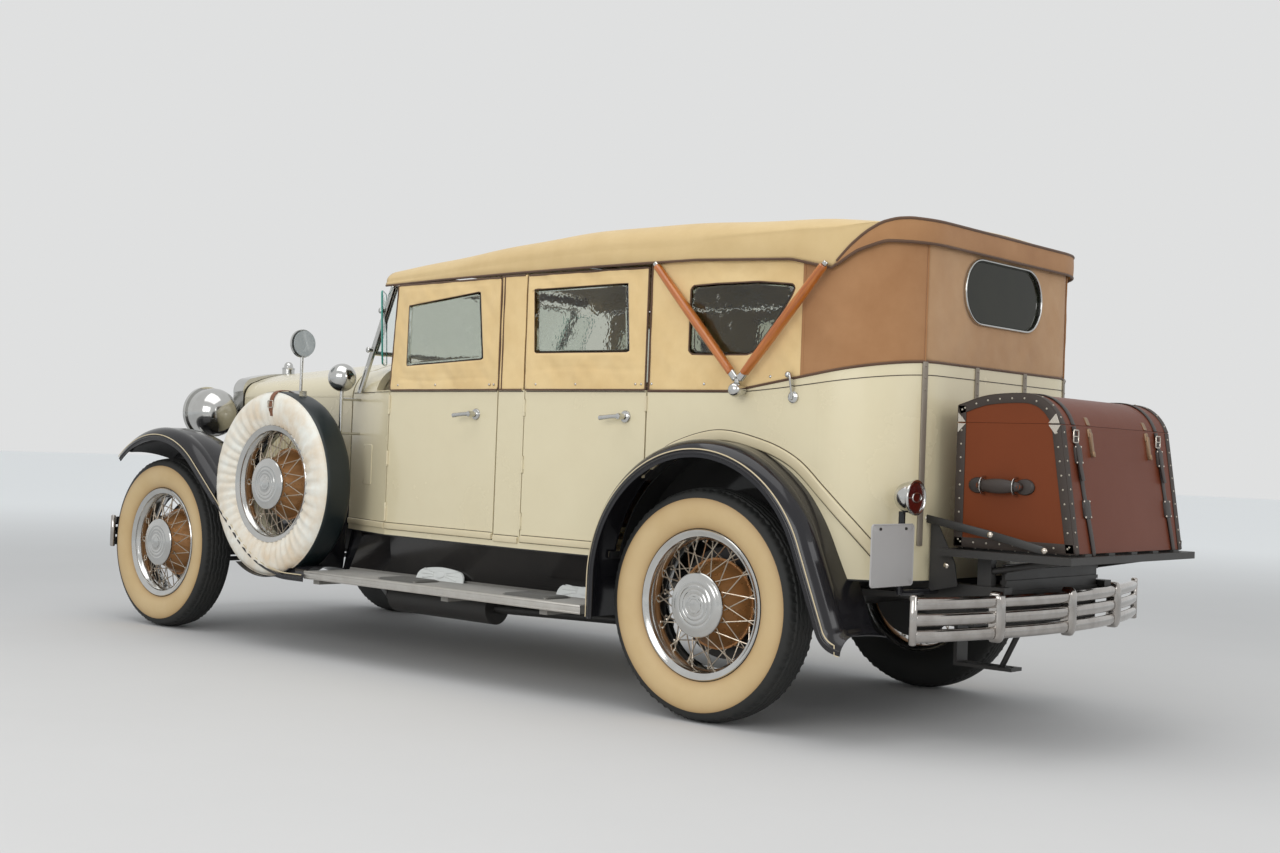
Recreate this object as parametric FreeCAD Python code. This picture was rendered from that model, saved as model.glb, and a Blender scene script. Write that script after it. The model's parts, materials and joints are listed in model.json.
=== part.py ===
# Seven-passenger touring car of about 1930 with its soft top up and side curtains fitted.
# Millimetres. X points forward, Y to the car's left, Z up. The origin is on the ground,
# under the middle of the overall length and on the centre plane.
import FreeCAD
import Part
import math
import os
from FreeCAD import Vector

# Overall layout
WHEELBASE = 3353.0
FRONT_OVERHANG = 550.0
REAR_OVERHANG = 1225.0
TRACK = 1430.0
X_REAR = -(FRONT_OVERHANG + WHEELBASE - REAR_OVERHANG) / 2
X_FRONT = X_REAR + WHEELBASE
HALF_TRACK = TRACK / 2

# Clearances
PIN_FIT = 0.05
SEAT_GAP = 0.3
MOVING_GAP = 5.0

# Tyres and wire wheels
TYRE_RADIUS = 406.0
TYRE_HALF_WIDTH = 82.0
TREAD_HALF_WIDTH = 60.0
SHOULDER_DROP = 8.0
BEAD_RADIUS = 243.0
FLANGE_RADIUS = 259.0
BEAD_HALF_WIDTH = 50.0
FLANGE_WIDTH = 9.0
RIM_DEPTH = 18.0
HUB_CAP_RADIUS = 112.0
HUB_CAP_FACE = 94.0
HUB_CAP_DEPTH = 22.0
HUB_FRONT_RADIUS = 104.0
HUB_BACK_RADIUS = 152.0
HUB_BACK = -44.0
HUB_WALL = 14.0
BEARING_RADIUS = 40.0
SPINDLE_RADIUS = 22.0
SPINDLE_END = 58.0
DRUM_RADIUS = 190.0
DRUM_WALL = 10.0
DRUM_FACE = -36.0
DRUM_BACK = -74.0
SPOKE_RADIUS = 3.0
SPOKE_PAIRS = 15

# Front axle and steering
KINGPIN_Y = HALF_TRACK - 120.0
KINGPIN_RADIUS = 12.0
BOSS_RADIUS = 24.0
BOSS_HALF_HEIGHT = 34.0
LUG_HEIGHT = 24.0
BACKING_RADIUS = 196.0
BACKING_THICKNESS = 6.0
STEER_ARM = 160.0
STEER_ARM_THICKNESS = 16.0
TIE_PIN_LENGTH = 34.0
TIE_PIN_RADIUS = 8.0
TIE_EYE_RADIUS = 17.0
TIE_ROD_RADIUS = 11.0
OPEN_EYE_CLEARANCE = 1.0

# Frame rails, outer face and depth
RAIL_OUTER = 395.0
RAIL_WIDTH = 52.0
RAIL_TOP = 552.0
RAIL_BOTTOM = 430.0
FRONT_RAIL_TOP = 600.0
SPRING_WIDTH = 48.0
SPRING_THICKNESS = 34.0

# Body shell: half widths at distances forward of the rear axle
COWL_FRONT = 2240.0
FRONT_DOOR_FRONT = 1830.0
FRONT_DOOR_REAR = 1110.0
REAR_DOOR_FRONT = 953.0
REAR_DOOR_REAR = 317.0
QUARTER_MID = 200.0
CORNER_START = -410.0
BODY_REAR = -702.0
HALF_WIDTH_COWL = 530.0
HALF_WIDTH_FRONT_DOOR = 662.0
HALF_WIDTH_PILLAR = 720.0
HALF_WIDTH_QUARTER = 728.0
HALF_WIDTH_CORNER = 706.0
CORNER_RADIUS = 282.0
SILL_Z = 530.0
FLOOR_TOP = 580.0
BELT_Z = 1150.0
RIM_RISE_START = -60.0
RIM_REAR_Z = 1262.0
WALL = 42.0
DOOR_GAP = MOVING_GAP
DOOR_REAR_GAP = 7.0
DOOR_BOTTOM = 562.0
HINGE_BARREL = 6.5
HINGE_PIN = 3.5
HINGE_HEIGHTS = (640.0, 860.0, 1080.0)
HINGE_BARREL_HEIGHT = 36.0
HINGE_LUG_HEIGHT = 14.0

# Curtains and soft top
CURTAIN_THICKNESS = 8.0
CURTAIN_INSET = 4.0
CURTAIN_TOP = 1596.0
WINDOW_LOW = 1285.0
WINDOW_HIGH = 1520.0
PANE_THICKNESS = 2.0
TOP_WALL = 12.0
TOP_FRONT = 1895.0
REAR_WINDOW_Z = 1521.0
REAR_WINDOW_HALF = 273.0
REAR_WINDOW_RADIUS = 112.0

# Fenders
LIP_Y = 862.0
CROWN_RISE = 48.0
FENDER_SKIN = 4.0
FENDER_INNER = 566.0
FRONT_ARC_X = WHEELBASE - 43.0
FRONT_ARC_Z = 430.0
FRONT_LIP_RADIUS = 480.0
REAR_ARC_X = -20.0
REAR_ARC_Z = 465.0
REAR_LIP_RADIUS = 463.0
BOARD_TOP = 362.0
BOARD_THICKNESS = 32.0
BOARD_OUTER = 850.0
BOARD_INNER = 600.0

# Side-mounted spares
SPARE_X = 2410.0
SPARE_Y = 776.0
SPARE_Z = 725.0
WELL_GAP = 10.0
WELL_SEAT = 0.3

# Hood and radiator
HOOD_FRONT = 3400.0
HOOD_REAR = COWL_FRONT + 8.0
HOOD_HALF_FRONT = 300.0
HOOD_SHOULDER_Z = 1128.0
HOOD_CROWN_FRONT = 1262.0
HOOD_CROWN_REAR = 1326.0
HOOD_SKIN = 4.0
HOOD_SIDE_BOTTOM = 644.0
HOOD_SIDE_ROD = 3.0
HOOD_RIDGE_ROD = 5.0
RADIATOR_BACK = HOOD_FRONT + 10.0
RADIATOR_FRONT = 3496.0

# Trunk and rack
TRUNK_FRONT = -775.0
TRUNK_HALF_WIDTH = 412.0
TRUNK_BOTTOM = 655.0
TRUNK_SEAM = 1062.0
TRUNK_WALL = 11.0
RACK_Z = 622.0
RACK_HALF_WIDTH = 480.0


def x_at(forward):
    """Distance forward of the rear axle as a place in the car's frame."""
    return X_REAR + forward


def box(x0, x1, y0, y1, z0, z1):
    return Part.makeBox(x1 - x0, y1 - y0, z1 - z0, Vector(x0, y0, z0))


def rod(start, end, radius):
    start = Vector(*start)
    axis = Vector(*end) - start
    return Part.makeCylinder(radius, axis.Length, start, axis)


def outline(points, place):
    """Closed wire. A point is (a, b), or (a, b, mid_a, mid_b) at the end of an arc."""
    edges = []
    last = points[-1]
    for point in points:
        start = place(last[0], last[1])
        end = place(point[0], point[1])
        if len(point) == 4:
            edges.append(Part.Arc(start, place(point[2], point[3]), end).toShape())
        elif start.distanceToPoint(end) > 0.001:
            edges.append(Part.makeLine(start, end))
        last = point
    return Part.Wire(edges)


def slab_y(points, y0, y1):
    """Plate whose outline lies in X and Z."""
    face = Part.Face(outline(points, lambda a, b: Vector(a, y0, b)))
    return face.extrude(Vector(0, y1 - y0, 0))


def slab_z(points, z0, z1):
    """Plate whose outline lies in X and Y."""
    face = Part.Face(outline(points, lambda a, b: Vector(a, b, z0)))
    return face.extrude(Vector(0, 0, z1 - z0))


def slab_x(points, x0, x1):
    """Plate whose outline lies in Y and Z."""
    face = Part.Face(outline(points, lambda a, b: Vector(x0, a, b)))
    return face.extrude(Vector(x1 - x0, 0, 0))


def turned(points, centre, turn=360.0, start=0.0):
    """Profile of (y, radius) points turned about the line along Y through the centre."""
    cx, cy, cz = centre
    face = Part.Face(outline(points, lambda a, b: Vector(cx + b, cy + a, cz)))
    axis = Vector(0, -1, 0)
    if start:
        face.rotate(Vector(cx, cy, cz), axis, start)
    return face.revolve(Vector(cx, cy, cz), axis, turn)


def joined(first, *others):
    """One solid from pieces that overlap or meet."""
    shape = first
    if others:
        shape = first.fuse(list(others))
    return shape.removeSplitter()


def mirrored(shape):
    return shape.mirror(Vector(0, 0, 0), Vector(0, 1, 0))


def both(*shapes):
    """The shapes and their mirror images on the car's other side."""
    return Part.makeCompound(list(shapes) + [mirrored(shape) for shape in shapes])


def lofted(wires):
    return Part.makeLoft(wires, True, True)


def moved(shape, x, y, z):
    copy = shape.copy()
    copy.translate(Vector(x, y, z))
    return copy


# Half width of the body at a distance forward of the rear axle
BODY_PLAN = (
    (COWL_FRONT, HALF_WIDTH_COWL),
    (FRONT_DOOR_FRONT, HALF_WIDTH_FRONT_DOOR),
    (REAR_DOOR_FRONT, HALF_WIDTH_PILLAR),
    (QUARTER_MID, HALF_WIDTH_QUARTER),
    (CORNER_START, HALF_WIDTH_CORNER),
)


def half_width(forward):
    for (x0, y0), (x1, y1) in zip(BODY_PLAN, BODY_PLAN[1:]):
        if forward >= x1:
            return y1 + (y0 - y1) * (forward - x1) / (x0 - x1)
    return BODY_PLAN[-1][1]


def body_plan(inset, front):
    """Plan outline of the body from its front face to the rounded tail."""
    side = [(x_at(front), half_width(front) - inset)]
    for forward, half in BODY_PLAN:
        if forward < front:
            side.append((x_at(forward), half - inset))
    radius = CORNER_RADIUS - inset
    cx = BODY_REAR + CORNER_RADIUS
    cy = HALF_WIDTH_CORNER - CORNER_RADIUS
    slant = radius * math.sqrt(0.5)
    rear = x_at(BODY_REAR + inset)
    mid_x = x_at(cx - slant)
    points = list(side)
    points.append((x_at(cx), cy + radius))
    points.append((rear, cy, mid_x, cy + slant))
    points.append((rear, -cy))
    points.append((x_at(cx), -cy - radius, mid_x, -cy - slant))
    points.extend((x, -y) for x, y in reversed(side))
    return points


def wheel_tyre():
    """Tyre about the origin, axis along Y, outboard towards +Y, less its rim."""
    side_radius = (TYRE_RADIUS + BEAD_RADIUS) / 2
    shoulder = TYRE_RADIUS - SHOULDER_DROP
    points = [
        (-BEAD_HALF_WIDTH, BEAD_RADIUS),
        (-BEAD_HALF_WIDTH - FLANGE_WIDTH, FLANGE_RADIUS),
        (-TREAD_HALF_WIDTH, shoulder, -TYRE_HALF_WIDTH, side_radius + 10),
        (TREAD_HALF_WIDTH, shoulder, 0, TYRE_RADIUS),
        (BEAD_HALF_WIDTH + FLANGE_WIDTH, FLANGE_RADIUS, TYRE_HALF_WIDTH, side_radius + 10),
        (BEAD_HALF_WIDTH, BEAD_RADIUS),
    ]
    return turned(points, (0, 0, 0))


def wheel_rim():
    """Rim ring with two flanges, about the origin."""
    edge = BEAD_HALF_WIDTH + FLANGE_WIDTH
    low = BEAD_RADIUS - RIM_DEPTH
    points = [
        (-edge, FLANGE_RADIUS),
        (-edge, BEAD_RADIUS - 6),
        (-BEAD_HALF_WIDTH + 12, low),
        (BEAD_HALF_WIDTH - 12, low),
        (edge, BEAD_RADIUS - 6),
        (edge, FLANGE_RADIUS),
        (BEAD_HALF_WIDTH, BEAD_RADIUS),
        (-BEAD_HALF_WIDTH, BEAD_RADIUS),
    ]
    return turned(points, (0, 0, 0))


def wheel_hub(bored):
    """Conical hub shell, blank cap and bearing tube, about the origin."""
    cap_back = HUB_CAP_FACE - HUB_CAP_DEPTH
    bore = SPINDLE_RADIUS + PIN_FIT if bored else 0.0
    shell = [
        (cap_back, 0.0),
        (cap_back, HUB_FRONT_RADIUS),
        (HUB_BACK + 10, HUB_BACK_RADIUS),
        (HUB_BACK + 10, HUB_BACK_RADIUS + 8),
        (HUB_BACK, HUB_BACK_RADIUS + 8),
        (HUB_BACK, BEARING_RADIUS),
        (HUB_BACK + HUB_WALL, BEARING_RADIUS),
        (HUB_BACK + HUB_WALL, HUB_BACK_RADIUS - HUB_WALL),
        (SPINDLE_END, HUB_FRONT_RADIUS - HUB_WALL),
        (SPINDLE_END, 0.0),
    ]
    cap = [
        (cap_back, 0.0),
        (cap_back, HUB_CAP_RADIUS),
        (HUB_CAP_FACE - 6, HUB_CAP_RADIUS - 6),
        (HUB_CAP_FACE, 0.0),
    ]
    tube = [
        (HUB_BACK, bore),
        (HUB_BACK, BEARING_RADIUS),
        (SPINDLE_END, BEARING_RADIUS),
        (SPINDLE_END, bore),
    ]
    pieces = [turned(shell, (0, 0, 0)), turned(cap, (0, 0, 0)), turned(tube, (0, 0, 0))]
    if bored:
        drum = [
            (DRUM_FACE, BEARING_RADIUS),
            (DRUM_FACE, DRUM_RADIUS),
            (DRUM_BACK, DRUM_RADIUS),
            (DRUM_BACK, DRUM_RADIUS - DRUM_WALL),
            (DRUM_FACE - 8, DRUM_RADIUS - DRUM_WALL),
            (DRUM_FACE - 8, BEARING_RADIUS),
        ]
        pieces.append(turned(drum, (0, 0, 0)))
    return joined(*pieces)


def wheel_spokes():
    """Crossed pairs of spokes from the hub's front and back rings to the rim."""
    step = 360.0 / SPOKE_PAIRS
    rim_reach = BEAD_RADIUS - RIM_DEPTH + 4
    spokes = []
    for index in range(SPOKE_PAIRS):
        for ring_y, ring_radius, lean, rim_y in (
            (HUB_CAP_FACE - HUB_CAP_DEPTH - 8, HUB_FRONT_RADIUS - 4, step * 0.9, 14.0),
            (HUB_BACK + 5, HUB_BACK_RADIUS + 2, -step * 0.9, -14.0),
        ):
            hub_turn = math.radians(index * step)
            rim_turn = math.radians(index * step + lean)
            start = (ring_radius * math.cos(hub_turn), ring_y, ring_radius * math.sin(hub_turn))
            end = (rim_reach * math.cos(rim_turn), rim_y, rim_reach * math.sin(rim_turn))
            spokes.append(rod(start, end, SPOKE_RADIUS))
    return spokes


def wire_wheel(bored):
    return joined(wheel_rim(), wheel_hub(bored), *wheel_spokes())


def knuckle(x):
    """Left steering knuckle with its spindle, backing plate and steering arm."""
    z = TYRE_RADIUS
    face = BOSS_HALF_HEIGHT + SEAT_GAP
    block_in = KINGPIN_Y + BOSS_RADIUS + 2
    plate_out = HALF_TRACK + DRUM_BACK - MOVING_GAP
    plate_in = plate_out - BACKING_THICKNESS
    pieces = [
        box(x - 26, x + 26, block_in, plate_in + 1, z - face - LUG_HEIGHT, z + face + LUG_HEIGHT),
        rod((x, plate_in, z), (x, plate_out, z), BACKING_RADIUS),
        rod((x, plate_in, z), (x, HALF_TRACK + SPINDLE_END - 2, z), SPINDLE_RADIUS),
    ]
    for low in (z - face - LUG_HEIGHT, z + face):
        lug = rod((x, KINGPIN_Y, low), (x, KINGPIN_Y, low + LUG_HEIGHT), BOSS_RADIUS)
        bridge = box(x - BOSS_RADIUS, x + BOSS_RADIUS, KINGPIN_Y, block_in + 1, low, low + LUG_HEIGHT)
        pieces.extend([lug, bridge])
    low = z - face - LUG_HEIGHT
    high = low + STEER_ARM_THICKNESS
    pin_x = x - STEER_ARM
    arm = slab_z([
        (x - 8, KINGPIN_Y - 16), (x - 8, KINGPIN_Y + 16),
        (pin_x, KINGPIN_Y + 14), (pin_x, KINGPIN_Y - 14),
    ], low, high)
    eye_pin = rod((pin_x, KINGPIN_Y, low - TIE_PIN_LENGTH), (pin_x, KINGPIN_Y, low + 4), TIE_PIN_RADIUS)
    eye_top = rod((pin_x, KINGPIN_Y, low), (pin_x, KINGPIN_Y, high), 15)
    shape = joined(*pieces, arm, eye_top, eye_pin)
    bore = rod((x, KINGPIN_Y, z - 100), (x, KINGPIN_Y, z + 100), KINGPIN_RADIUS + PIN_FIT)
    return shape.cut(bore)


def axles():
    """Dropped front beam with its kingpins, and the rear casing with its differential."""
    z = TYRE_RADIUS
    x = X_FRONT
    reach = BOSS_HALF_HEIGHT + SEAT_GAP + LUG_HEIGHT
    front = [slab_x([
        (-KINGPIN_Y, z - 22), (-KINGPIN_Y, z + 22), (-KINGPIN_Y + 70, z + 22),
        (-KINGPIN_Y + 150, z - 24), (KINGPIN_Y - 150, z - 24), (KINGPIN_Y - 70, z + 22),
        (KINGPIN_Y, z + 22), (KINGPIN_Y, z - 22), (KINGPIN_Y - 70, z - 22),
        (KINGPIN_Y - 150, z - 70), (-KINGPIN_Y + 150, z - 70), (-KINGPIN_Y + 70, z - 22),
    ], x - 18, x + 18)]
    for side in (-1, 1):
        y = side * KINGPIN_Y
        front.append(rod((x, y, z - BOSS_HALF_HEIGHT), (x, y, z + BOSS_HALF_HEIGHT), BOSS_RADIUS - 1))
        front.append(rod((x, y, z - reach), (x, y, z + reach), KINGPIN_RADIUS))
    x = X_REAR
    end = HALF_TRACK + SPINDLE_END - 2
    plate_out = HALF_TRACK + DRUM_BACK - MOVING_GAP
    casing_end = plate_out - BACKING_THICKNESS
    rear = [
        rod((x, -end, z), (x, end, z), SPINDLE_RADIUS),
        rod((x, -casing_end, z), (x, casing_end, z), 44),
        rod((x, -70, z), (x, 70, z), 128),
        rod((x + 20, 0, z), (x + 230, 0, z + 18), 52),
    ]
    for side in (-1, 1):
        rear.append(rod((x, side * casing_end, z), (x, side * plate_out, z), BACKING_RADIUS))
    return Part.makeCompound([joined(*front), joined(*rear)])


def tie_rod():
    """Track rod with an eye round each steering arm's pin; the right eye is the open one."""
    z = TYRE_RADIUS - BOSS_HALF_HEIGHT - SEAT_GAP - LUG_HEIGHT
    x = X_FRONT - STEER_ARM
    y = KINGPIN_Y
    top = z - 2
    low = z - 32
    middle = (top + low) / 2
    pieces = [rod((x, -y, middle), (x, y, middle), TIE_ROD_RADIUS)]
    for side in (-1, 1):
        pieces.append(rod((x, side * y, low), (x, side * y, top), TIE_EYE_RADIUS))
    shape = joined(*pieces)
    for side, clearance in ((1, PIN_FIT), (-1, OPEN_EYE_CLEARANCE)):
        bore = rod((x, side * y, low - 5), (x, side * y, top + 5), TIE_PIN_RADIUS + clearance)
        shape = shape.cut(bore)
    return shape


# Rail top and bottom heights at distances forward of the rear axle
RAIL_TABLE = (
    (-955, 528, 470),
    (-600, 529, 462),
    (-300, 552, 470),
    (300, 552, 470),
    (560, RAIL_TOP, RAIL_BOTTOM),
    (2700, RAIL_TOP, RAIL_BOTTOM),
    (2900, 590, 480),
    (3150, FRONT_RAIL_TOP, 505),
    (3560, FRONT_RAIL_TOP, 520),
    (3800, 530, 482),
)


# Cross members: front and rear distance, low and high height
CROSS_MEMBERS = (
    (-900, -840, 480, 526), (-600, -540, 480, 526), (440, 500, 505, 548),
    (1500, 1560, 505, 548), (2180, 2240, 505, 548), (3130, 3190, 520, 580),
    (3500, 3540, 530, 590),
)
MEMBER_LAP = 2.0


def chassis_frame():
    """Two side rails, cross members, spring hangers and the irons that carry the bumpers."""
    top = [(x_at(x), high) for x, high, low in RAIL_TABLE]
    bottom = [(x_at(x), low) for x, high, low in reversed(RAIL_TABLE)]
    inner = RAIL_OUTER - RAIL_WIDTH
    rails = []
    for y0, y1 in ((inner, RAIL_OUTER), (-RAIL_OUTER, -inner)):
        rails.append(slab_y(top + bottom, y0, y1))
    for x0, x1, z0, z1 in CROSS_MEMBERS:
        rails.append(box(x_at(x0), x_at(x1), -inner - MEMBER_LAP, inner + MEMBER_LAP, z0, z1))
    return joined(*rails)


SPRING_EYE_FRONT_HALF = 430.0
SPRING_EYE_REAR_HALF = 640.0
AXLE_CASING = 44.0
BEAM_DROP = 24.0
SPRING_LEAF = 14.0
SPRING_EYE = 19.0
FRONT_EYE_Z = 448.0
REAR_EYE_Z = 476.0
SHACKLE_HALF = 12.0


def leaf_springs():
    """Arched spring packs: the front ones under the rails, the rear ones beside them."""
    middle = RAIL_OUTER - RAIL_WIDTH / 2
    beside = RAIL_OUTER + 5 + SPRING_WIDTH / 2
    packs = []
    for x, y, half, seat, eye, under in (
        (X_FRONT, middle, SPRING_EYE_FRONT_HALF, TYRE_RADIUS - BEAM_DROP, FRONT_EYE_Z, True),
        (X_REAR, beside, SPRING_EYE_REAR_HALF, TYRE_RADIUS + AXLE_CASING, REAR_EYE_Z, False),
    ):
        y0 = y - SPRING_WIDTH / 2
        y1 = y + SPRING_WIDTH / 2
        pieces = [slab_y([
            (x - half, eye), (x + half, eye, x, seat), (x + half, eye + SPRING_LEAF),
            (x - half, eye + SPRING_LEAF, x, seat + SPRING_THICKNESS),
        ], y0, y1)]
        for end in (-1, 1):
            place = x + end * half
            eye_z = eye + SPRING_LEAF / 2
            if under:
                pieces.append(rod((place, y0, eye_z), (place, y1, eye_z), SPRING_EYE))
                forward = place - X_REAR
                top = min(rail_bottom(forward - SHACKLE_HALF), rail_bottom(forward + SHACKLE_HALF))
                pieces.append(box(place - SHACKLE_HALF, place + SHACKLE_HALF, y0, y1, eye + 5, top))
            else:
                pieces.append(rod((place, RAIL_OUTER, eye_z), (place, y1, eye_z), SPRING_EYE))
        packs.append(joined(*pieces))
    return both(*packs)


def rail_bottom(forward):
    for (x0, high0, low0), (x1, high1, low1) in zip(RAIL_TABLE, RAIL_TABLE[1:]):
        if x0 <= forward <= x1:
            return low0 + (low1 - low0) * (forward - x0) / (x1 - x0)
    return RAIL_BOTTOM


# Engine, bell housing and gearbox: rear and front distance, half width, low and high height
CASTINGS = (
    (2480, 3110, 165, 470, 900),
    (2290, 2490, 170, 440, 760),
    (1830, 2300, 110, 400, 500),
)
MOUNT_REAR = 2340.0
MOUNT_FRONT = 2400.0
MOUNT_HEIGHT = 36.0
MOUNT_INSET = 20.0
FAN_Z = 790.0
FAN_HUB = (3100, 3330, 45)
FAN_DISC = (3300, 3312, 190)
SHAFT_FRONT = (1840, 462)
SHAFT_REAR = (232, TYRE_RADIUS + 18)
PROPELLER_SHAFT_RADIUS = 28.0


def engine_block():
    """Engine and gearbox as one plain casting, with the fan in front and the shaft behind."""
    pieces = [box(x_at(x0), x_at(x1), -half, half, z0, z1) for x0, x1, half, z0, z1 in CASTINGS]
    reach = RAIL_OUTER - MOUNT_INSET
    pieces.append(box(x_at(MOUNT_REAR), x_at(MOUNT_FRONT), -reach, reach, RAIL_TOP, RAIL_TOP + MOUNT_HEIGHT))
    for x0, x1, radius in (FAN_HUB, FAN_DISC):
        pieces.append(rod((x_at(x0), 0, FAN_Z), (x_at(x1), 0, FAN_Z), radius))
    pieces.append(rod(
        (x_at(SHAFT_FRONT[0]), 0, SHAFT_FRONT[1]), (x_at(SHAFT_REAR[0]), 0, SHAFT_REAR[1]),
        PROPELLER_SHAFT_RADIUS))
    return joined(*pieces)


EXHAUST_Y = 500.0
EXHAUST_Z = 262.0
DOWN_PIPE = ((2540, 165, 580), (2540, 250, 580), (2300, 290, 300), (1960, 500, 262), (1900, 500, 262))
DOWN_PIPE_RADIUS = 24.0
SILENCER = (1905, 1290, 68)
TAIL_PIPE = ((1295, 500, 262), (520, 300, 262))
TAIL_PIPE_RADIUS = 21.0
HANGERS = (1340, 1840)
HANGER_Z = 470.0
HANGER_HALF = 12.0
HANGER_THICKNESS = 6.0


def pipe(start, end, radius):
    return rod((x_at(start[0]), start[1], start[2]), (x_at(end[0]), end[1], end[2]), radius)


def exhaust():
    """Down pipe, silencer and tail pipe with straight runs, hung from the left rail."""
    pieces = []
    for start, end in zip(DOWN_PIPE, DOWN_PIPE[1:]):
        pieces.append(pipe(start, end, DOWN_PIPE_RADIUS))
        pieces.append(Part.makeSphere(DOWN_PIPE_RADIUS, Vector(x_at(end[0]), end[1], end[2])))
    front, rear, radius = SILENCER
    pieces.append(pipe((front, EXHAUST_Y, EXHAUST_Z), (rear, EXHAUST_Y, EXHAUST_Z), radius))
    pieces.append(pipe(TAIL_PIPE[0], TAIL_PIPE[1], TAIL_PIPE_RADIUS))
    y1 = EXHAUST_Y + HANGER_THICKNESS
    for forward in HANGERS:
        x0 = x_at(forward - HANGER_HALF)
        x1 = x_at(forward + HANGER_HALF)
        pieces.append(box(x0, x1, RAIL_OUTER, y1, HANGER_Z, HANGER_Z + HANGER_THICKNESS))
        pieces.append(box(x0, x1, EXHAUST_Y, y1, EXHAUST_Z + 50, HANGER_Z + HANGER_THICKNESS / 2))
    return joined(*pieces)


TANK_LOW = 382.0
TANK_HIGH = 474.0
MEMBER_LOW = 480.0
TANK_SIDE_GAP = 6.0
TANK_INSET = 30.0
TANK_STRAPS = ((-882, -848), (-860, -780), (-626, -592))
STRAP_INSET = 60.0
STRAP_LAP = 8.0
COVER_LOW = 395.0
COVER_HIGH = 600.0
COVER_RIBS = (430, 465, 500, 535, 570)
COVER_RIB_HEIGHT = 12.0
COVER_STAY_HALF = 120.0
HITCH_ROOM_HALF = 45.0


def fuel_tank():
    """Tank between the rail ends behind the axle, with its slatted cover and room for the hitch's brace."""
    inner = RAIL_OUTER - RAIL_WIDTH - TANK_SIDE_GAP
    half = inner - TANK_INSET
    pieces = [box(x_at(-800), x_at(-615), -half, half, TANK_LOW, TANK_HIGH)]
    half = inner - STRAP_INSET
    low = TANK_HIGH - STRAP_LAP
    for x0, x1 in TANK_STRAPS:
        pieces.append(box(x_at(x0), x_at(x1), -half, half, low, MEMBER_LOW))
    pieces.append(box(x_at(-925), x_at(-913), -inner, inner, COVER_LOW, COVER_HIGH))
    pieces.append(box(x_at(-915), x_at(-878), -COVER_STAY_HALF, COVER_STAY_HALF, low, MEMBER_LOW))
    for z in COVER_RIBS:
        pieces.append(box(x_at(-931), x_at(-907), -inner, inner, z, z + COVER_RIB_HEIGHT))
    room = box(x_at(-905), x_at(-803), -HITCH_ROOM_HALF, HITCH_ROOM_HALF, TANK_HIGH - 20, MEMBER_LOW + 1)
    return joined(joined(*pieces).cut(room))


def hinge(x, y):
    """Pins and body lugs, door barrels, and what is cleared in body and door for them."""
    lugs = []
    barrels = []
    body_room = []
    door_room = []
    half = HINGE_BARREL_HEIGHT / 2
    reach = half + HINGE_LUG_HEIGHT
    room = HINGE_BARREL + 1.5
    for z in HINGE_HEIGHTS:
        lugs.append(rod((x, y, z - reach), (x, y, z - half), HINGE_BARREL))
        lugs.append(rod((x, y, z + half), (x, y, z + reach), HINGE_BARREL))
        lugs.append(rod((x, y, z - reach), (x, y, z + reach), HINGE_PIN))
        barrel = rod((x, y, z - half + SEAT_GAP), (x, y, z + half - SEAT_GAP), HINGE_BARREL)
        bore = rod((x, y, z - reach), (x, y, z + reach), HINGE_PIN + PIN_FIT)
        barrels.append(barrel.cut(bore))
        body_room.append(rod((x, y, z - half), (x, y, z + half), room))
        door_room.append(rod((x, y, z - reach - 1.5), (x, y, z - half), room))
        door_room.append(rod((x, y, z + half), (x, y, z + reach + 1.5), room))
        door_room.append(rod((x, y, z - half), (x, y, z + half), HINGE_PIN + PIN_FIT))
    return lugs, barrels, body_room, door_room


FENDER_CLEAR = REAR_LIP_RADIUS + CROWN_RISE + 14.0


def rear_arch(radius, y0, y1):
    return rod((x_at(REAR_ARC_X), y0, REAR_ARC_Z), (x_at(REAR_ARC_X), y1, REAR_ARC_Z), radius)


HANDLE_DROP = 98.0
HANDLE_PLATE = (21, -4, 7)
HANDLE_STEM = (10, 42)
HANDLE_LEVER = (7, 92, 40, -6)


def door(front, rear, handle_rear, side_cut):
    """Left door slab between two distances, with its handle and hinge barrels."""
    edge_front = x_at(front) - DOOR_GAP / 2
    edge_rear = x_at(rear) + DOOR_REAR_GAP
    y_front = half_width(front)
    y_rear = half_width(rear)
    slab = slab_z([
        (edge_front, y_front), (edge_front, y_front - WALL),
        (edge_rear, y_rear - WALL), (edge_rear, y_rear),
    ], DOOR_BOTTOM, BELT_Z)
    if side_cut:
        slab = slab.cut(rear_arch(FENDER_CLEAR, y_rear - 2 * WALL, LIP_Y))
    lugs, barrels, body_room, door_room = hinge(x_at(front), y_front)
    handle_x = x_at(handle_rear)
    y = half_width(handle_rear)
    z = BELT_Z - HANDLE_DROP
    plate, sunk, proud = HANDLE_PLATE
    stem, reach = HANDLE_STEM
    lever, length, out, drop = HANDLE_LEVER
    handle = [
        rod((handle_x, y + sunk, z), (handle_x, y + proud, z), plate),
        rod((handle_x, y, z), (handle_x, y + reach, z), stem),
        rod((handle_x, y + out - 4, z), (handle_x + length, y + out, z + drop), lever),
        Part.makeSphere(stem, Vector(handle_x, y + out - 2, z)),
        Part.makeSphere(lever, Vector(handle_x + length, y + out, z + drop)),
    ]
    slab = slab.cut(door_room)
    return joined(slab, *barrels, *handle)


def body_hinges():
    """All that the body's door posts carry and give room to, on the left side."""
    lugs = []
    rooms = []
    for front in (FRONT_DOOR_FRONT, REAR_DOOR_FRONT):
        more_lugs, barrels, body_room, door_room = hinge(x_at(front), half_width(front))
        lugs.append(more_lugs)
        rooms.append(body_room)
    return lugs, rooms


WHEELHOUSE_INNER = 575.0
WHEELHOUSE_SKIN = 5.0


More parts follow.
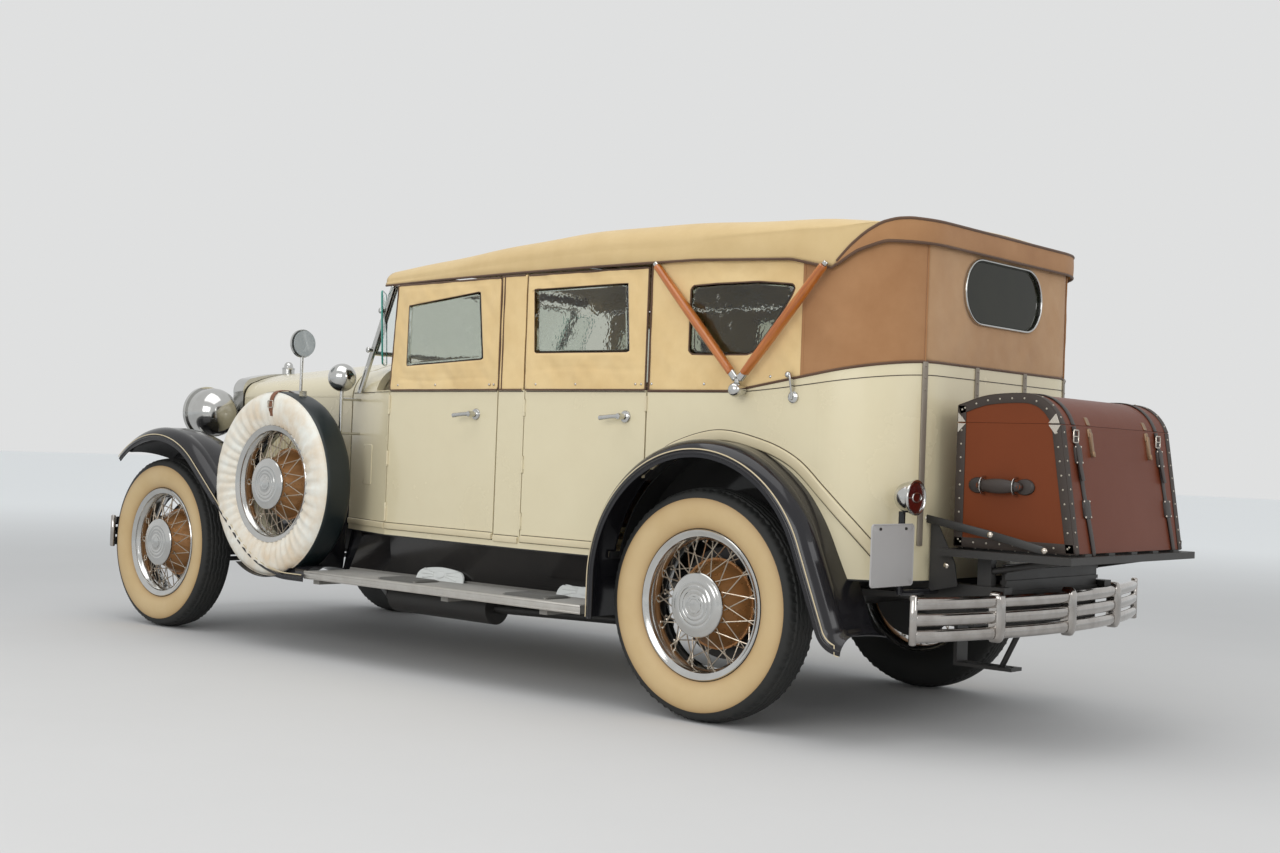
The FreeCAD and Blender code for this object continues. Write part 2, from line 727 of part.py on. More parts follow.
def body_tub():
    """Floor, sills, centre pillars, rear quarters, wheel houses and tail as one shell."""
    shell = slab_z(body_plan(0, COWL_FRONT), SILL_Z, RIM_REAR_Z)
    hollow = slab_z(body_plan(WALL, COWL_FRONT + 10), FLOOR_TOP, RIM_REAR_Z + 1)
    under = slab_z(body_plan(WALL, COWL_FRONT + 10), SILL_Z - 1, RAIL_TOP + SEAT_GAP)
    shell = shell.cut([hollow, under])
    above = slab_y([
        (x_at(COWL_FRONT + 5), BELT_Z), (x_at(RIM_RISE_START), BELT_Z), (x_at(BODY_REAR - 5), RIM_REAR_Z),
        (x_at(BODY_REAR - 5), RIM_REAR_Z + 5), (x_at(COWL_FRONT + 5), RIM_REAR_Z + 5),
    ], -800, 800)
    shell = shell.cut(above)
    gap = DOOR_GAP / 2
    low = DOOR_BOTTOM - DOOR_GAP
    openings = []
    for x0, x1, z0 in (
        (FRONT_DOOR_REAR, FRONT_DOOR_FRONT + gap, low),
        (REAR_DOOR_REAR, REAR_DOOR_FRONT + gap, low),
        (FRONT_DOOR_FRONT, COWL_FRONT + 20, FLOOR_TOP),
    ):
        for y0, y1 in ((400, 800), (-800, -400)):
            openings.append(box(x_at(x0), x_at(x1), y0, y1, z0, RIM_REAR_Z + 5))
    shell = shell.cut(openings)
    lugs, rooms = body_hinges()
    rear_lugs = lugs[1] + [mirrored(piece) for piece in lugs[1]]
    rear_rooms = rooms[1] + [mirrored(piece) for piece in rooms[1]]
    shell = shell.cut(rear_rooms)
    arch = REAR_LIP_RADIUS + CROWN_RISE - 20
    houses = []
    for side in (-1, 1):
        y_in = side * WHEELHOUSE_INNER
        y_out = side * 760
        y_skin = side * (WHEELHOUSE_INNER - WHEELHOUSE_SKIN)
        drum = rear_arch(arch, min(y_skin, y_out), max(y_skin, y_out))
        inner_drum = rear_arch(arch - WHEELHOUSE_SKIN, min(y_in, y_out), max(y_in, y_out))
        shell = shell.cut(drum)
        edge = side * (half_width(0) - WALL + 4)
        house = rear_arch(arch, min(y_skin, edge), max(y_skin, edge)).cut(inner_drum)
        low = box(x_at(-900), x_at(700), -800, 800, -100, SILL_Z)
        houses.append(house.cut(low))
    return joined(shell, *houses, *rear_lugs)


# Cowl sections: distance forward, half width, crown height
COWL_SECTIONS = (
    (COWL_FRONT, HALF_WIDTH_COWL, HOOD_CROWN_REAR),
    (FRONT_DOOR_FRONT + 155.0, 612.0, 1338.0),
)
COWL_SKIN = 30.0
BOARD_LOW = 1010.0


def hood_section(forward, half, crown, inset, bottom):
    """Closed section across the hood or cowl, flat sides under a round top."""
    x = x_at(forward)
    shoulder = HOOD_SHOULDER_Z
    side = half - inset
    top = crown - inset
    bend_y = side * 0.78
    bend_z = shoulder + (top - shoulder) * 0.62
    mid_y = side * 0.955
    mid_z = shoulder + (top - shoulder) * 0.34
    points = [
        (side, bottom), (side, shoulder), (bend_y, bend_z, mid_y, mid_z),
        (-bend_y, bend_z, 0, top), (-side, shoulder, -mid_y, mid_z), (-side, bottom),
    ]
    return outline(points, lambda a, b: Vector(x, a, b))


def cowl_block():
    return lofted([hood_section(x, half, top, 0, FLOOR_TOP) for x, half, top in COWL_SECTIONS])


def body_cowl():
    """Scuttle between hood and front doors, with its bulkhead and instrument board."""
    outer = cowl_block()
    (x0, half0, top0), (x1, half1, top1) = COWL_SECTIONS
    inner = lofted([
        hood_section(x0 - 12, half0, top0, COWL_SKIN, FLOOR_TOP - 1),
        hood_section(x1 - 20, half1, top1, COWL_SKIN, FLOOR_TOP - 1),
    ])
    shell = outer.cut(inner)
    post_front = x_at(x1) + 4
    post_rear = x_at(FRONT_DOOR_FRONT) + DOOR_GAP / 2
    post_half = half_width(FRONT_DOOR_FRONT + DOOR_GAP / 2)
    posts = []
    for side in (-1, 1):
        points = [
            (post_front, side * half1), (post_rear, side * post_half),
            (post_rear, side * (post_half - WALL)), (post_front, side * (half1 - WALL)),
        ]
        posts.append(slab_z(points, FLOOR_TOP, BELT_Z))
    board = lofted([
        hood_section(x1 + 6, half1 - 3, top1, 6, BOARD_LOW),
        hood_section(x1 + 22, half1 - 6, top1, 6, BOARD_LOW),
    ])
    lugs, rooms = body_hinges()
    shape = joined(shell, *posts, board)
    shape = shape.cut(rooms[0] + [mirrored(piece) for piece in rooms[0]])
    shape = shape.cut(Part.makeCylinder(COLUMN_RADIUS, 690, column_point(730), column_direction()))
    return joined(shape, *lugs[0], *[mirrored(piece) for piece in lugs[0]])


def hood_top():
    """Left half of the hood's top, from its centre hinge to its shoulder."""
    sections = (
        (HOOD_FRONT, HOOD_HALF_FRONT, HOOD_CROWN_FRONT),
        (HOOD_REAR, HALF_WIDTH_COWL, HOOD_CROWN_REAR),
    )
    outer = lofted([hood_section(x, half, top, 0, HOOD_SHOULDER_Z - 60) for x, half, top in sections])
    inner = lofted([hood_section(x, half, top, HOOD_SKIN, HOOD_SHOULDER_Z - 70) for x, half, top in sections])
    shell = outer.cut(inner)
    edge = HOOD_RIDGE_ROD + SEAT_GAP
    low = HOOD_SHOULDER_Z + HOOD_SIDE_ROD + SEAT_GAP
    keep = box(x_at(HOOD_REAR - 20), x_at(HOOD_FRONT + 20), edge, 700, low, 1500)
    return shell.common(keep)


def hood_side():
    """Left side panel of the hood, hung from the top's shoulder, with its vent doors."""
    y_front = HOOD_HALF_FRONT
    y_rear = HALF_WIDTH_COWL
    panel = slab_z([
        (x_at(HOOD_FRONT), y_front), (x_at(HOOD_FRONT), y_front - HOOD_SKIN),
        (x_at(HOOD_REAR), y_rear - HOOD_SKIN), (x_at(HOOD_REAR), y_rear),
    ], HOOD_SIDE_BOTTOM, HOOD_SHOULDER_Z - HOOD_SKIN / 2)
    inset = HOOD_SKIN / 2
    pin = rod(
        (x_at(HOOD_FRONT), y_front - inset, HOOD_SHOULDER_Z),
        (x_at(HOOD_REAR), y_rear - inset, HOOD_SHOULDER_Z), HOOD_SIDE_ROD)
    return joined(panel, pin)


def hood_hinge():
    """Fixed rod along the hood's ridge, in the middle of the skin, carried on into the radiator."""
    fall = (HOOD_CROWN_REAR - HOOD_CROWN_FRONT) / (HOOD_FRONT - HOOD_REAR)
    ends = []
    for forward in (HOOD_FRONT + 12, HOOD_REAR - 5):
        height = HOOD_CROWN_REAR - HOOD_SKIN / 2 - fall * (forward - HOOD_REAR)
        ends.append((x_at(forward), 0, height))
    return rod(ends[0], ends[1], HOOD_RIDGE_ROD)


def radiator():
    """Shell with an open face, the core set back in it, and a plain filler cap."""
    x0 = x_at(RADIATOR_BACK)
    x1 = x_at(RADIATOR_FRONT)
    half = HOOD_HALF_FRONT + 4

    def shape(inset, start, end, low):
        side = half - inset
        top = HOOD_CROWN_FRONT + 4 - inset
        shoulder = HOOD_SHOULDER_Z + 20 - inset
        bend = side * 0.8
        points = [
            (side, low), (side, shoulder), (bend, top - 34, side * 0.96, shoulder + 56),
            (-bend, top - 34, 0, top), (-side, shoulder, -side * 0.96, shoulder + 56), (-side, low),
        ]
        return slab_x(points, start, end)

    shell = shape(0, x0, x1, 560).cut(shape(42, x1 - 40, x1 + 5, 640))
    cap = rod((x1 - 42, 0, HOOD_CROWN_FRONT - 10), (x1 - 42, 0, HOOD_CROWN_FRONT + 30), 32)
    knob = Part.makeSphere(22, Vector(x1 - 42, 0, HOOD_CROWN_FRONT + 44))
    foot = box(x0 + 8, x1 - 20, -RAIL_OUTER + 10, RAIL_OUTER - 10, FRONT_RAIL_TOP, FRONT_RAIL_TOP + 24)
    return joined(shell, cap, knob, foot, hood_hinge())


def fender_section(rise_at_lip, inner_y, inner_rise):
    """Crowned sheet section as (y, rise above the lip) points, outer face then inner face."""
    crown_y = LIP_Y - 82.0
    skin = FENDER_SKIN
    base = rise_at_lip
    return [
        (LIP_Y, base - 14), (LIP_Y, base),
        (crown_y, base + CROWN_RISE, LIP_Y - 22, base + CROWN_RISE * 0.72),
        (inner_y, base + inner_rise, (crown_y + inner_y) / 2, base + CROWN_RISE * 0.93),
        (inner_y, base + inner_rise - skin),
        (crown_y, base + CROWN_RISE - skin, (crown_y + inner_y) / 2, base + CROWN_RISE * 0.93 - skin),
        (LIP_Y - skin, base, LIP_Y - 22 - skin * 0.7, base + CROWN_RISE * 0.72 - skin * 0.7),
        (LIP_Y - skin, base - 14),
    ]


def fender_arc(x, z, radius, start, end, inner_y, inner_rise):
    """Section turned about a line along Y, from one angle above forward to another."""
    points = fender_section(radius, inner_y, inner_rise)
    return turned(points, (x, 0, z), end - start, start)


def fender_run(x, z, angle, length, inner_y, inner_rise):
    """Straight stretch of the section from a lip point, heading down and back at an angle."""
    heading = math.radians(angle)
    along = Vector(-math.cos(heading), 0, -math.sin(heading))
    away = Vector(-math.sin(heading), 0, math.cos(heading))
    start = Vector(x, 0, z)
    points = fender_section(0.0, inner_y, inner_rise)
    face = Part.Face(outline(points, lambda a, b: start + away * b + Vector(0, a, 0)))
    return face.extrude(along * length)


def fender_flare(x, z, angle, turn, radius, inner_y, inner_rise):
    """Stretch that curves up from a slope towards level, about a line above it."""
    heading = math.radians(angle)
    away = Vector(-math.sin(heading), 0, math.cos(heading))
    start = Vector(x, 0, z)
    centre = start + away * radius
    points = fender_section(0.0, inner_y, inner_rise)
    face = Part.Face(outline(points, lambda a, b: start + away * b + Vector(0, a, 0)))
    return face.revolve(centre, Vector(0, 1, 0), turn)


# Front fender: arc over the wheel, straight run, flare to the running board
FRONT_ARC_FIRST = 50.0
FRONT_ARC_LAST = 130.0
FRONT_INNER_RISE = 8.0
FRONT_FLARE_RADIUS = 600.0
FENDER_FOOT_END = 2120.0

# Splash apron's inner edge beside the hood
APRON_Z = 632.0
APRON_SIDE = 10.0
APRON_THROUGH = Vector(0, -1.5, -4.7)
FENDER_IRON_X = 2740.0
FENDER_IRON_LOW = 510.0

# Rear fender: arc over the wheel, straight run, flare to a short tail
REAR_ARC_FIRST = 0.0
REAR_ARC_LAST = 158.0
REAR_INNER_Y = 600.0
REAR_INNER_RISE = 34.0
REAR_RUN = 285.0
REAR_FLARE_RADIUS = 85.0
REAR_FLARE_TURN = 60.0
REAR_TAIL = 18.0
FLANGE_DEPTH = 34.0


def arc_place(x, z, radius, degrees):
    angle = math.radians(degrees)
    return x + radius * math.cos(angle), z + radius * math.sin(angle)


def run_end(x, z, slope, length):
    """End of a straight stretch heading down and back."""
    angle = math.radians(slope)
    return x - length * math.cos(angle), z - length * math.sin(angle)


def flare_end(x, z, slope, turn, radius):
    """End of a stretch that curves up from a slope by a turn."""
    angle = math.radians(slope)
    rest = math.radians(slope - turn)
    return x - radius * (math.sin(angle) - math.sin(rest)), z - radius * (math.cos(rest) - math.cos(angle))


def apron_line(forward):
    """Half width of the splash apron's inner edge, beside the hood and the radiator."""
    share = (forward - HOOD_REAR) / (HOOD_FRONT - HOOD_REAR)
    half = HALF_WIDTH_COWL - 8 + (HOOD_HALF_FRONT - HALF_WIDTH_COWL + 8 + APRON_SIDE) * min(share, 1.0)
    return half


def apron_strip(inner_edge, outer_edge):
    """Sheet ruled between two edges."""
    face = Part.makeRuledSurface(inner_edge, outer_edge)
    return face.extrude(APRON_THROUGH)


def splash_apron(run_start, run_stop, foot_start, foot_z):
    """Sheet from the fender's inner edge up to the hood's side, in ruled strips."""
    x = x_at(FRONT_ARC_X)
    y = FENDER_INNER - SEAT_GAP
    radius = FRONT_LIP_RADIUS + FRONT_INNER_RISE - 1
    knee = math.degrees(math.acos((HOOD_FRONT - FRONT_ARC_X) / radius))

    def inner(forward):
        return Vector(x_at(forward), apron_line(forward), APRON_Z)

    strips = []
    for first, last in ((FRONT_ARC_FIRST, knee), (knee, FRONT_ARC_LAST)):
        places = [arc_place(x, FRONT_ARC_Z, radius, turn) for turn in (first, (first + last) / 2, last)]
        rim = Part.Arc(*[Vector(px, y, pz) for px, pz in places]).toShape()
        side = Part.makeLine(inner(places[0][0] - X_REAR), inner(places[2][0] - X_REAR))
        strips.append(apron_strip(side, rim))
    slope = math.radians(FRONT_ARC_LAST - 90.0)
    rise = FRONT_INNER_RISE - 1
    lift = Vector(-rise * math.sin(slope), 0, rise * math.cos(slope))
    start = Vector(run_start[0], y, run_start[1]) + lift
    stop = Vector(run_stop[0], y, run_stop[1]) + lift
    side = Part.makeLine(inner(start.x - X_REAR), inner(stop.x - X_REAR))
    strips.append(apron_strip(side, Part.makeLine(start, stop)))
    half_turn = (FRONT_ARC_LAST - 90.0) / 2
    middle = flare_end(run_stop[0], run_stop[1], FRONT_ARC_LAST - 90.0, half_turn, FRONT_FLARE_RADIUS)
    half_slope = math.radians(half_turn)
    bend = Vector(middle[0] - rise * math.sin(half_slope), y, middle[1] + rise * math.cos(half_slope))
    foot = Vector(foot_start, y, foot_z + rise)
    rim = Part.Arc(stop, bend, foot).toShape()
    side = Part.makeLine(inner(stop.x - X_REAR), inner(HOOD_REAR))
    strips.append(apron_strip(side, rim))
    end = Vector(x_at(FENDER_FOOT_END), y, foot_z + rise)
    under = SILL_Z - SEAT_GAP
    side = Part.makeLine(
        Vector(x_at(COWL_FRONT), HALF_WIDTH_COWL - WALL / 2, under),
        Vector(end.x, half_width(FENDER_FOOT_END) - WALL / 2, under))
    strips.append(apron_strip(side, Part.makeLine(foot, end)))
    iron_x = x_at(FENDER_IRON_X)
    iron = box(iron_x, iron_x + 35, RAIL_OUTER, RAIL_OUTER + 50, FENDER_IRON_LOW, APRON_Z - 1)
    return joined(*strips, iron)


def front_fenders():
    """Both front fenders with splash aprons and wells for the spare wheels."""
    x = x_at(FRONT_ARC_X)
    shape = (FENDER_INNER, FRONT_INNER_RISE)
    arc = fender_arc(x, FRONT_ARC_Z, FRONT_LIP_RADIUS, FRONT_ARC_FIRST, FRONT_ARC_LAST, *shape)
    lip_x, lip_z = arc_place(x, FRONT_ARC_Z, FRONT_LIP_RADIUS, FRONT_ARC_LAST)
    slope = FRONT_ARC_LAST - 90.0
    foot_z = BOARD_TOP - BOARD_THICKNESS
    drop = lip_z - foot_z - FRONT_FLARE_RADIUS * (1 - math.cos(math.radians(slope)))
    length = drop / math.sin(math.radians(slope))
    run = fender_run(lip_x, lip_z, slope, length, *shape)
    end_x, end_z = run_end(lip_x, lip_z, slope, length)
    flare = fender_flare(end_x, end_z, slope, slope, FRONT_FLARE_RADIUS, *shape)
    foot_x = end_x - FRONT_FLARE_RADIUS * math.sin(math.radians(slope))
    tail = fender_run(foot_x, foot_z, 0.0, foot_x - x_at(FENDER_FOOT_END), *shape)
    apron = splash_apron((lip_x, lip_z), (end_x, end_z), foot_x, foot_z)
    sheet = joined(arc, run, flare, tail)
    well_half = TYRE_HALF_WIDTH + WELL_GAP
    spare = rod(
        (x_at(SPARE_X), SPARE_Y - well_half, SPARE_Z), (x_at(SPARE_X), SPARE_Y + well_half, SPARE_Z),
        TYRE_RADIUS + WELL_SEAT)
    lining = rod(
        (x_at(SPARE_X), SPARE_Y - well_half - FENDER_SKIN, SPARE_Z),
        (x_at(SPARE_X), min(SPARE_Y + well_half + FENDER_SKIN, LIP_Y), SPARE_Z),
        TYRE_RADIUS + WELL_SEAT + FENDER_SKIN).cut(spare)
    low = box(x_at(2140), x_at(2760), 560, LIP_Y, 250, foot_z + CROWN_RISE - 10)
    lining = lining.common(low)
    sheet = sheet.cut(spare)
    return both(joined(sheet, lining), apron)


def rear_fenders():
    """Both rear fenders, from the running board over the wheel to a short flared tail."""
    x = x_at(REAR_ARC_X)
    shape = (REAR_INNER_Y, REAR_INNER_RISE)
    arc = fender_arc(x, REAR_ARC_Z, REAR_LIP_RADIUS, REAR_ARC_FIRST, REAR_ARC_LAST, *shape)
    front_z = BOARD_TOP - BOARD_THICKNESS - 10
    section = fender_section(0.0, *shape)
    start = Vector(x + REAR_LIP_RADIUS, 0, REAR_ARC_Z)
    face = Part.Face(outline(section, lambda a, b: start + Vector(b, a, 0)))
    front = face.extrude(Vector(0, 0, front_z - REAR_ARC_Z))
    lip_x, lip_z = arc_place(x, REAR_ARC_Z, REAR_LIP_RADIUS, REAR_ARC_LAST)
    slope = REAR_ARC_LAST - 90.0
    run = fender_run(lip_x, lip_z, slope, REAR_RUN, *shape)
    end_x, end_z = run_end(lip_x, lip_z, slope, REAR_RUN)
    flare = fender_flare(end_x, end_z, slope, REAR_FLARE_TURN, REAR_FLARE_RADIUS, *shape)
    tail_x, tail_z = flare_end(end_x, end_z, slope, REAR_FLARE_TURN, REAR_FLARE_RADIUS)
    tail = fender_run(tail_x, tail_z, slope - REAR_FLARE_TURN, REAR_TAIL, *shape)
    sheet = joined(arc, front, run, flare, tail)
    beside_door = box(
        x_at(REAR_DOOR_REAR) + SEAT_GAP, x_at(REAR_DOOR_FRONT), 0, LIP_Y,
        DOOR_BOTTOM - DOOR_GAP + SEAT_GAP, RIM_REAR_Z)
    body = slab_z(body_plan(0, COWL_FRONT), SILL_Z, RIM_REAR_Z)
    behind_door = slab_z(body_plan(FLANGE_DEPTH, COWL_FRONT), SILL_Z, RIM_REAR_Z)
    return both(sheet.cut([body.cut(beside_door), behind_door]))


def running_boards():
    """Boards with step plates, and the aprons that close up to the body's sill."""
    front = x_at(FENDER_FOOT_END)
    rear_place = REAR_ARC_X + REAR_LIP_RADIUS + CROWN_RISE + 4
    rear = x_at(rear_place)
    board = box(rear, front, BOARD_INNER, BOARD_OUTER, BOARD_TOP - BOARD_THICKNESS, BOARD_TOP)
    sections = []
    for forward in (rear_place, REAR_DOOR_FRONT, FRONT_DOOR_FRONT, FENDER_FOOT_END):
        inner = half_width(forward) - WALL
        station = x_at(forward)
        sections.append(outline([
            (BOARD_INNER + 2, BOARD_TOP - 4), (BOARD_INNER + 12, BOARD_TOP - 4),
            (inner + 10, SILL_Z - SEAT_GAP), (inner, SILL_Z - SEAT_GAP),
        ], lambda a, b: Vector(station, a, b)))
    apron = lofted(sections)
    plates = []
    for forward in (1440, 700):
        plates.append(box(x_at(forward), x_at(forward + 230), 690, 820, BOARD_TOP - 2, BOARD_TOP + 8))
    brackets = []
    for forward in (700, 1250, 2070):
        brackets.append(box(
            x_at(forward), x_at(forward + 40), RAIL_OUTER - 1, BOARD_OUTER - 40,
            BOARD_TOP - BOARD_THICKNESS - 24, BOARD_TOP - BOARD_THICKNESS + 1))
        brackets.append(box(
            x_at(forward), x_at(forward + 40), RAIL_OUTER, RAIL_OUTER + 10,
            BOARD_TOP - BOARD_THICKNESS - 24, RAIL_BOTTOM + 60))
    return both(joined(board, apron, *plates, *brackets))


LAMP_X = 3468.0
LAMP_Y = 432.0
LAMP_BAR_X = 3520.0
LAMP_Z = 1045.0
LAMP_RADIUS = 122.0
LAMP_BAR_Z = 868.0
LAMP_BAR_RADIUS = 15.0
LAMP_POST_RADIUS = 17.0


def headlamps():
    """Bullet lamps on posts from a bar between the front fenders."""
    x = x_at(LAMP_X)
    bar_x = x_at(LAMP_BAR_X)
    reach = FENDER_INNER - SEAT_GAP
    pieces = [rod((bar_x, -reach, LAMP_BAR_Z), (bar_x, reach, LAMP_BAR_Z), LAMP_BAR_RADIUS)]
    for side in (-1, 1):
        y = side * LAMP_Y
        centre = Vector(x, y, LAMP_Z)
        points = [
            (-98, 0), (20, LAMP_RADIUS, -69, LAMP_RADIUS * 0.74), (62, LAMP_RADIUS),
            (62, LAMP_RADIUS + 8), (82, LAMP_RADIUS + 8), (82, LAMP_RADIUS - 8), (94, 0),
        ]
        face = Part.Face(outline(points, lambda a, b: centre + Vector(a, b, 0)))
        pieces.append(face.revolve(centre, Vector(1, 0, 0), 360))
        pieces.append(rod((bar_x, y, LAMP_BAR_Z), (x + 30, y, LAMP_Z - LAMP_RADIUS + 12), LAMP_POST_RADIUS))
    return joined(*pieces)


PLATE_WIDTH = 250.0
PLATE_HEIGHT = 200.0


TAIL_LAMP = (-742.0, 622.0, 811.0)
TAIL_LAMP_RADIUS = 52.0
TAIL_ARM_RADIUS = 11.0
TAIL_ARM_Z = 500.0
PLATE_X = -735.0
PLATE_CORNER = (600.0, 527.0)


def tail_lamps():
    """Drum tail lamps on arms from the rails; the left arm also carries the blank plate."""
    x = x_at(TAIL_LAMP[0])
    y, z = TAIL_LAMP[1:]
    post_x = x + 40
    left = [
        rod((x + 62, y, z), (x, y, z), TAIL_LAMP_RADIUS),
        rod((x + 4, y, z), (x - 14, y, z), TAIL_LAMP_RADIUS + 6),
        rod((post_x, y, z - 20), (post_x, y, TAIL_ARM_Z), TAIL_ARM_RADIUS),
        Part.makeSphere(TAIL_ARM_RADIUS, Vector(post_x, y, TAIL_ARM_Z)),
        rod((post_x, y, TAIL_ARM_Z), (post_x, RAIL_OUTER + SEAT_GAP, TAIL_ARM_Z), TAIL_ARM_RADIUS),
    ]
    right = [mirrored(piece) for piece in left]
    plate_x = x_at(PLATE_X)
    y0, z0 = PLATE_CORNER
    left.append(box(plate_x - 2, plate_x + 2, y0, y0 + PLATE_WIDTH, z0, z0 + PLATE_HEIGHT))
    left.append(box(plate_x, x + 46, y - TAIL_ARM_RADIUS, y + TAIL_ARM_RADIUS, 690, 705))
    return Part.makeCompound([joined(*left), joined(*right)])


# Bumpers: middle and end distance forward, half width, bar heights
BUMPER_HALF = 805.0
BUMPER_BARS = ((366.0, 408.0), (414.0, 460.0), (466.0, 508.0))
BUMPER_SPRING = 14.0
BUMPER_SAG = 128.0
CLAMP_Y = 430.0
BUMPER_REAR = -1000.0
BUMPER_FRONT = WHEELBASE + FRONT_OVERHANG


def bumper(middle, outward, iron_from):
    """Three sprung bars bowed outward, with clamps and the irons from the rail ends."""
    x = x_at(middle)
    back = -outward * BUMPER_SPRING
    end_x = x - outward * BUMPER_SAG
    pieces = []
    for low, high in BUMPER_BARS:
        pieces.append(slab_z([
            (end_x, -BUMPER_HALF), (end_x, BUMPER_HALF, x, 0), (end_x + back, BUMPER_HALF),
            (end_x + back, -BUMPER_HALF, x + back, 0),
        ], low, high))
    for y in (-CLAMP_Y, 0.0, CLAMP_Y):
        face = x - outward * BUMPER_SAG * (y / BUMPER_HALF) ** 2
        x0, x1 = sorted((face, face - outward * 34.0))
        pieces.append(box(x0, x1, y - 20, y + 20, BUMPER_BARS[0][0] - 8, BUMPER_BARS[-1][1] + 8))
    inner = RAIL_OUTER - RAIL_WIDTH
    for side in (-1, 1):
        face = x - outward * (BUMPER_SAG * (370.0 / BUMPER_HALF) ** 2 + 10)
        x0, x1 = sorted((face, x_at(iron_from)))
        y0, y1 = sorted((side * (inner + 8), side * (RAIL_OUTER - 8)))
        pieces.append(box(x0, x1, y0, y1, 470, 500))
    return joined(*pieces)


def bumpers():
    front = bumper(BUMPER_FRONT, 1, RAIL_TABLE[-1][0])
    rear = bumper(BUMPER_REAR, -1, RAIL_TABLE[0][0])
    return Part.makeCompound([front, rear])


SCREEN_LOW = (2062.0, 1318.0)
SCREEN_HIGH = (1935.0, 1606.0)
SCREEN_HALF = 553.0
SCREEN_GLASS = 6.0
POST_RADIUS = 13.0
POST_GAP = 22.0
FRAME_RADIUS = 11.0
WING_FOOT = 1270.0
WING_TURN = 48.0
WING_CLAMPS = (1330.0, 1500.0)
WING_CLAMP_RADIUS = 9.0


def windscreen():
    """Raked posts, framed glass and a glass wing on each post."""
    (x0, z0), (x1, z1) = SCREEN_LOW, SCREEN_HIGH
    foot_z = HOOD_SHOULDER_Z + 10
    lean = (x1 - x0) / (z1 - z0)
    foot_x = x0 + lean * (foot_z - z0)
    pieces = []
    for side in (-1, 1):
        y = side * (SCREEN_HALF + POST_GAP)
        top = x_at(x1)
        pieces.append(rod((x_at(foot_x), y, foot_z), (top, y, z1), POST_RADIUS))
        wing = outline([
            (top + 48, z1 - 30), (top - 72, z1 - 30), (top + 20, WING_FOOT), (top + 140, WING_FOOT),
        ], lambda a, b: Vector(a, y + side * 6, b))
        glass = Part.Face(wing).extrude(Vector(0, side * SCREEN_GLASS, 0))
        glass.rotate(Vector(top + 40, y, 0), Vector(0, 0, 1), -side * WING_TURN)
        pieces.append(glass)
        for z in WING_CLAMPS:
            px = x_at(x0 + lean * (z - z0))
            pieces.append(rod((px, y, z), (px, y + side * 26, z), WING_CLAMP_RADIUS))
    slant = math.atan2(z1 - z0, x0 - x1)
    out = Vector(math.sin(slant), 0, math.cos(slant))
    start = Vector(x_at(x0), -SCREEN_HALF, z0) - out * (SCREEN_GLASS / 2)
    up = Vector(x1 - x0, 0, z1 - z0)
    across = Vector(0, 2 * SCREEN_HALF, 0)
    wire = Part.makePolygon([start, start + up, start + up + across, start + across, start])
    pieces.append(Part.Face(wire).extrude(out * SCREEN_GLASS))
    for x, z in ((x0, z0), (x1, z1)):
        pieces.append(rod((x_at(x), -SCREEN_HALF - 24, z), (x_at(x), SCREEN_HALF + 24, z), FRAME_RADIUS))
    return joined(*pieces).cut(cowl_block())


# Soft top sections: distance forward, half width, shoulder height, crown height
TOP_SECTIONS = (
    (TOP_FRONT, 650.0, 1640.0, 1690.0),
    (640.0, 734.0, 1690.0, 1788.0),
    (-300.0, 734.0, 1676.0, 1768.0),
    (-600.0, 734.0, 1645.0, 1747.0),
    (-760.0, 734.0, 1655.0, 1726.0),
)
# Lower edge of the soft top along its side: distance forward and height
VALANCE = (
    (TOP_FRONT + 20, 1602.0), (1500.0, 1616.0), (1000.0, 1622.0), (100.0, 1616.0),
    (-460.0, 1556.0), (-540.0, 1612.0), (-620.0, 1648.0), (-780.0, 1652.0),
)
TOP_OVERHANG = 16.0


def top_section(forward, half, shoulder, crown, inset):
    x = x_at(forward)
    side = half - inset
    top = crown - inset
    edge = shoulder - inset
    bend_y = side - 95.0
    bend_z = edge + (top - edge) * 0.62
    points = [
        (side, 1500.0), (side, edge - 25), (bend_y, bend_z, side - 22, edge + 22),
        (-bend_y, bend_z, 0, top), (-side, edge - 25, -side + 22, edge + 22), (-side, 1500.0),
    ]
    return outline(points, lambda a, b: Vector(x, a, b))


def top_canopy():
    """Stretched cloth roof with its hanging edge, as one shell open below and in front."""
    outer = lofted([top_section(*section, 0.0) for section in TOP_SECTIONS])
    plan = slab_z(body_plan(-TOP_OVERHANG, COWL_FRONT), 1500, 1850)
    outer = outer.common(plan)
    inner = lofted([
        top_section(x + (30 if x == TOP_FRONT else 0), half, shoulder, crown, TOP_WALL)
        for x, half, shoulder, crown in TOP_SECTIONS
    ])
    plan_in = slab_z(body_plan(TOP_WALL - TOP_OVERHANG, COWL_FRONT + 50), 1490, 1860)
    shell = outer.cut(inner.common(plan_in))
    below = [(x_at(x), z) for x, z in VALANCE]
    below.append((x_at(VALANCE[-1][0]), 1480.0))
    below.append((x_at(VALANCE[0][0]), 1480.0))
    shell = shell.cut(slab_y(below, -900, 900))
    header = box(x_at(TOP_FRONT - 34), x_at(TOP_FRONT - 4), -600, 600, SCREEN_HIGH[1] + 12, 1664)
    return joined(shell, header)


def window_cut(x0, x1, low, high, radius, y0, y1):
    """Window opening with rounded corners, through a side curtain."""
    k = radius * (1 - math.sqrt(0.5))
    points = [
        (x1 - radius, low), (x1, low + radius, x1 - k, low + k),
        (x1, high - radius), (x1 - radius, high, x1 - k, high - k),
        (x0 + radius, high), (x0, high - radius, x0 + k, high - k),
        (x0, low + radius), (x0 + radius, low, x0 + k, low + k),
    ]
    return slab_y(points, y0, y1)


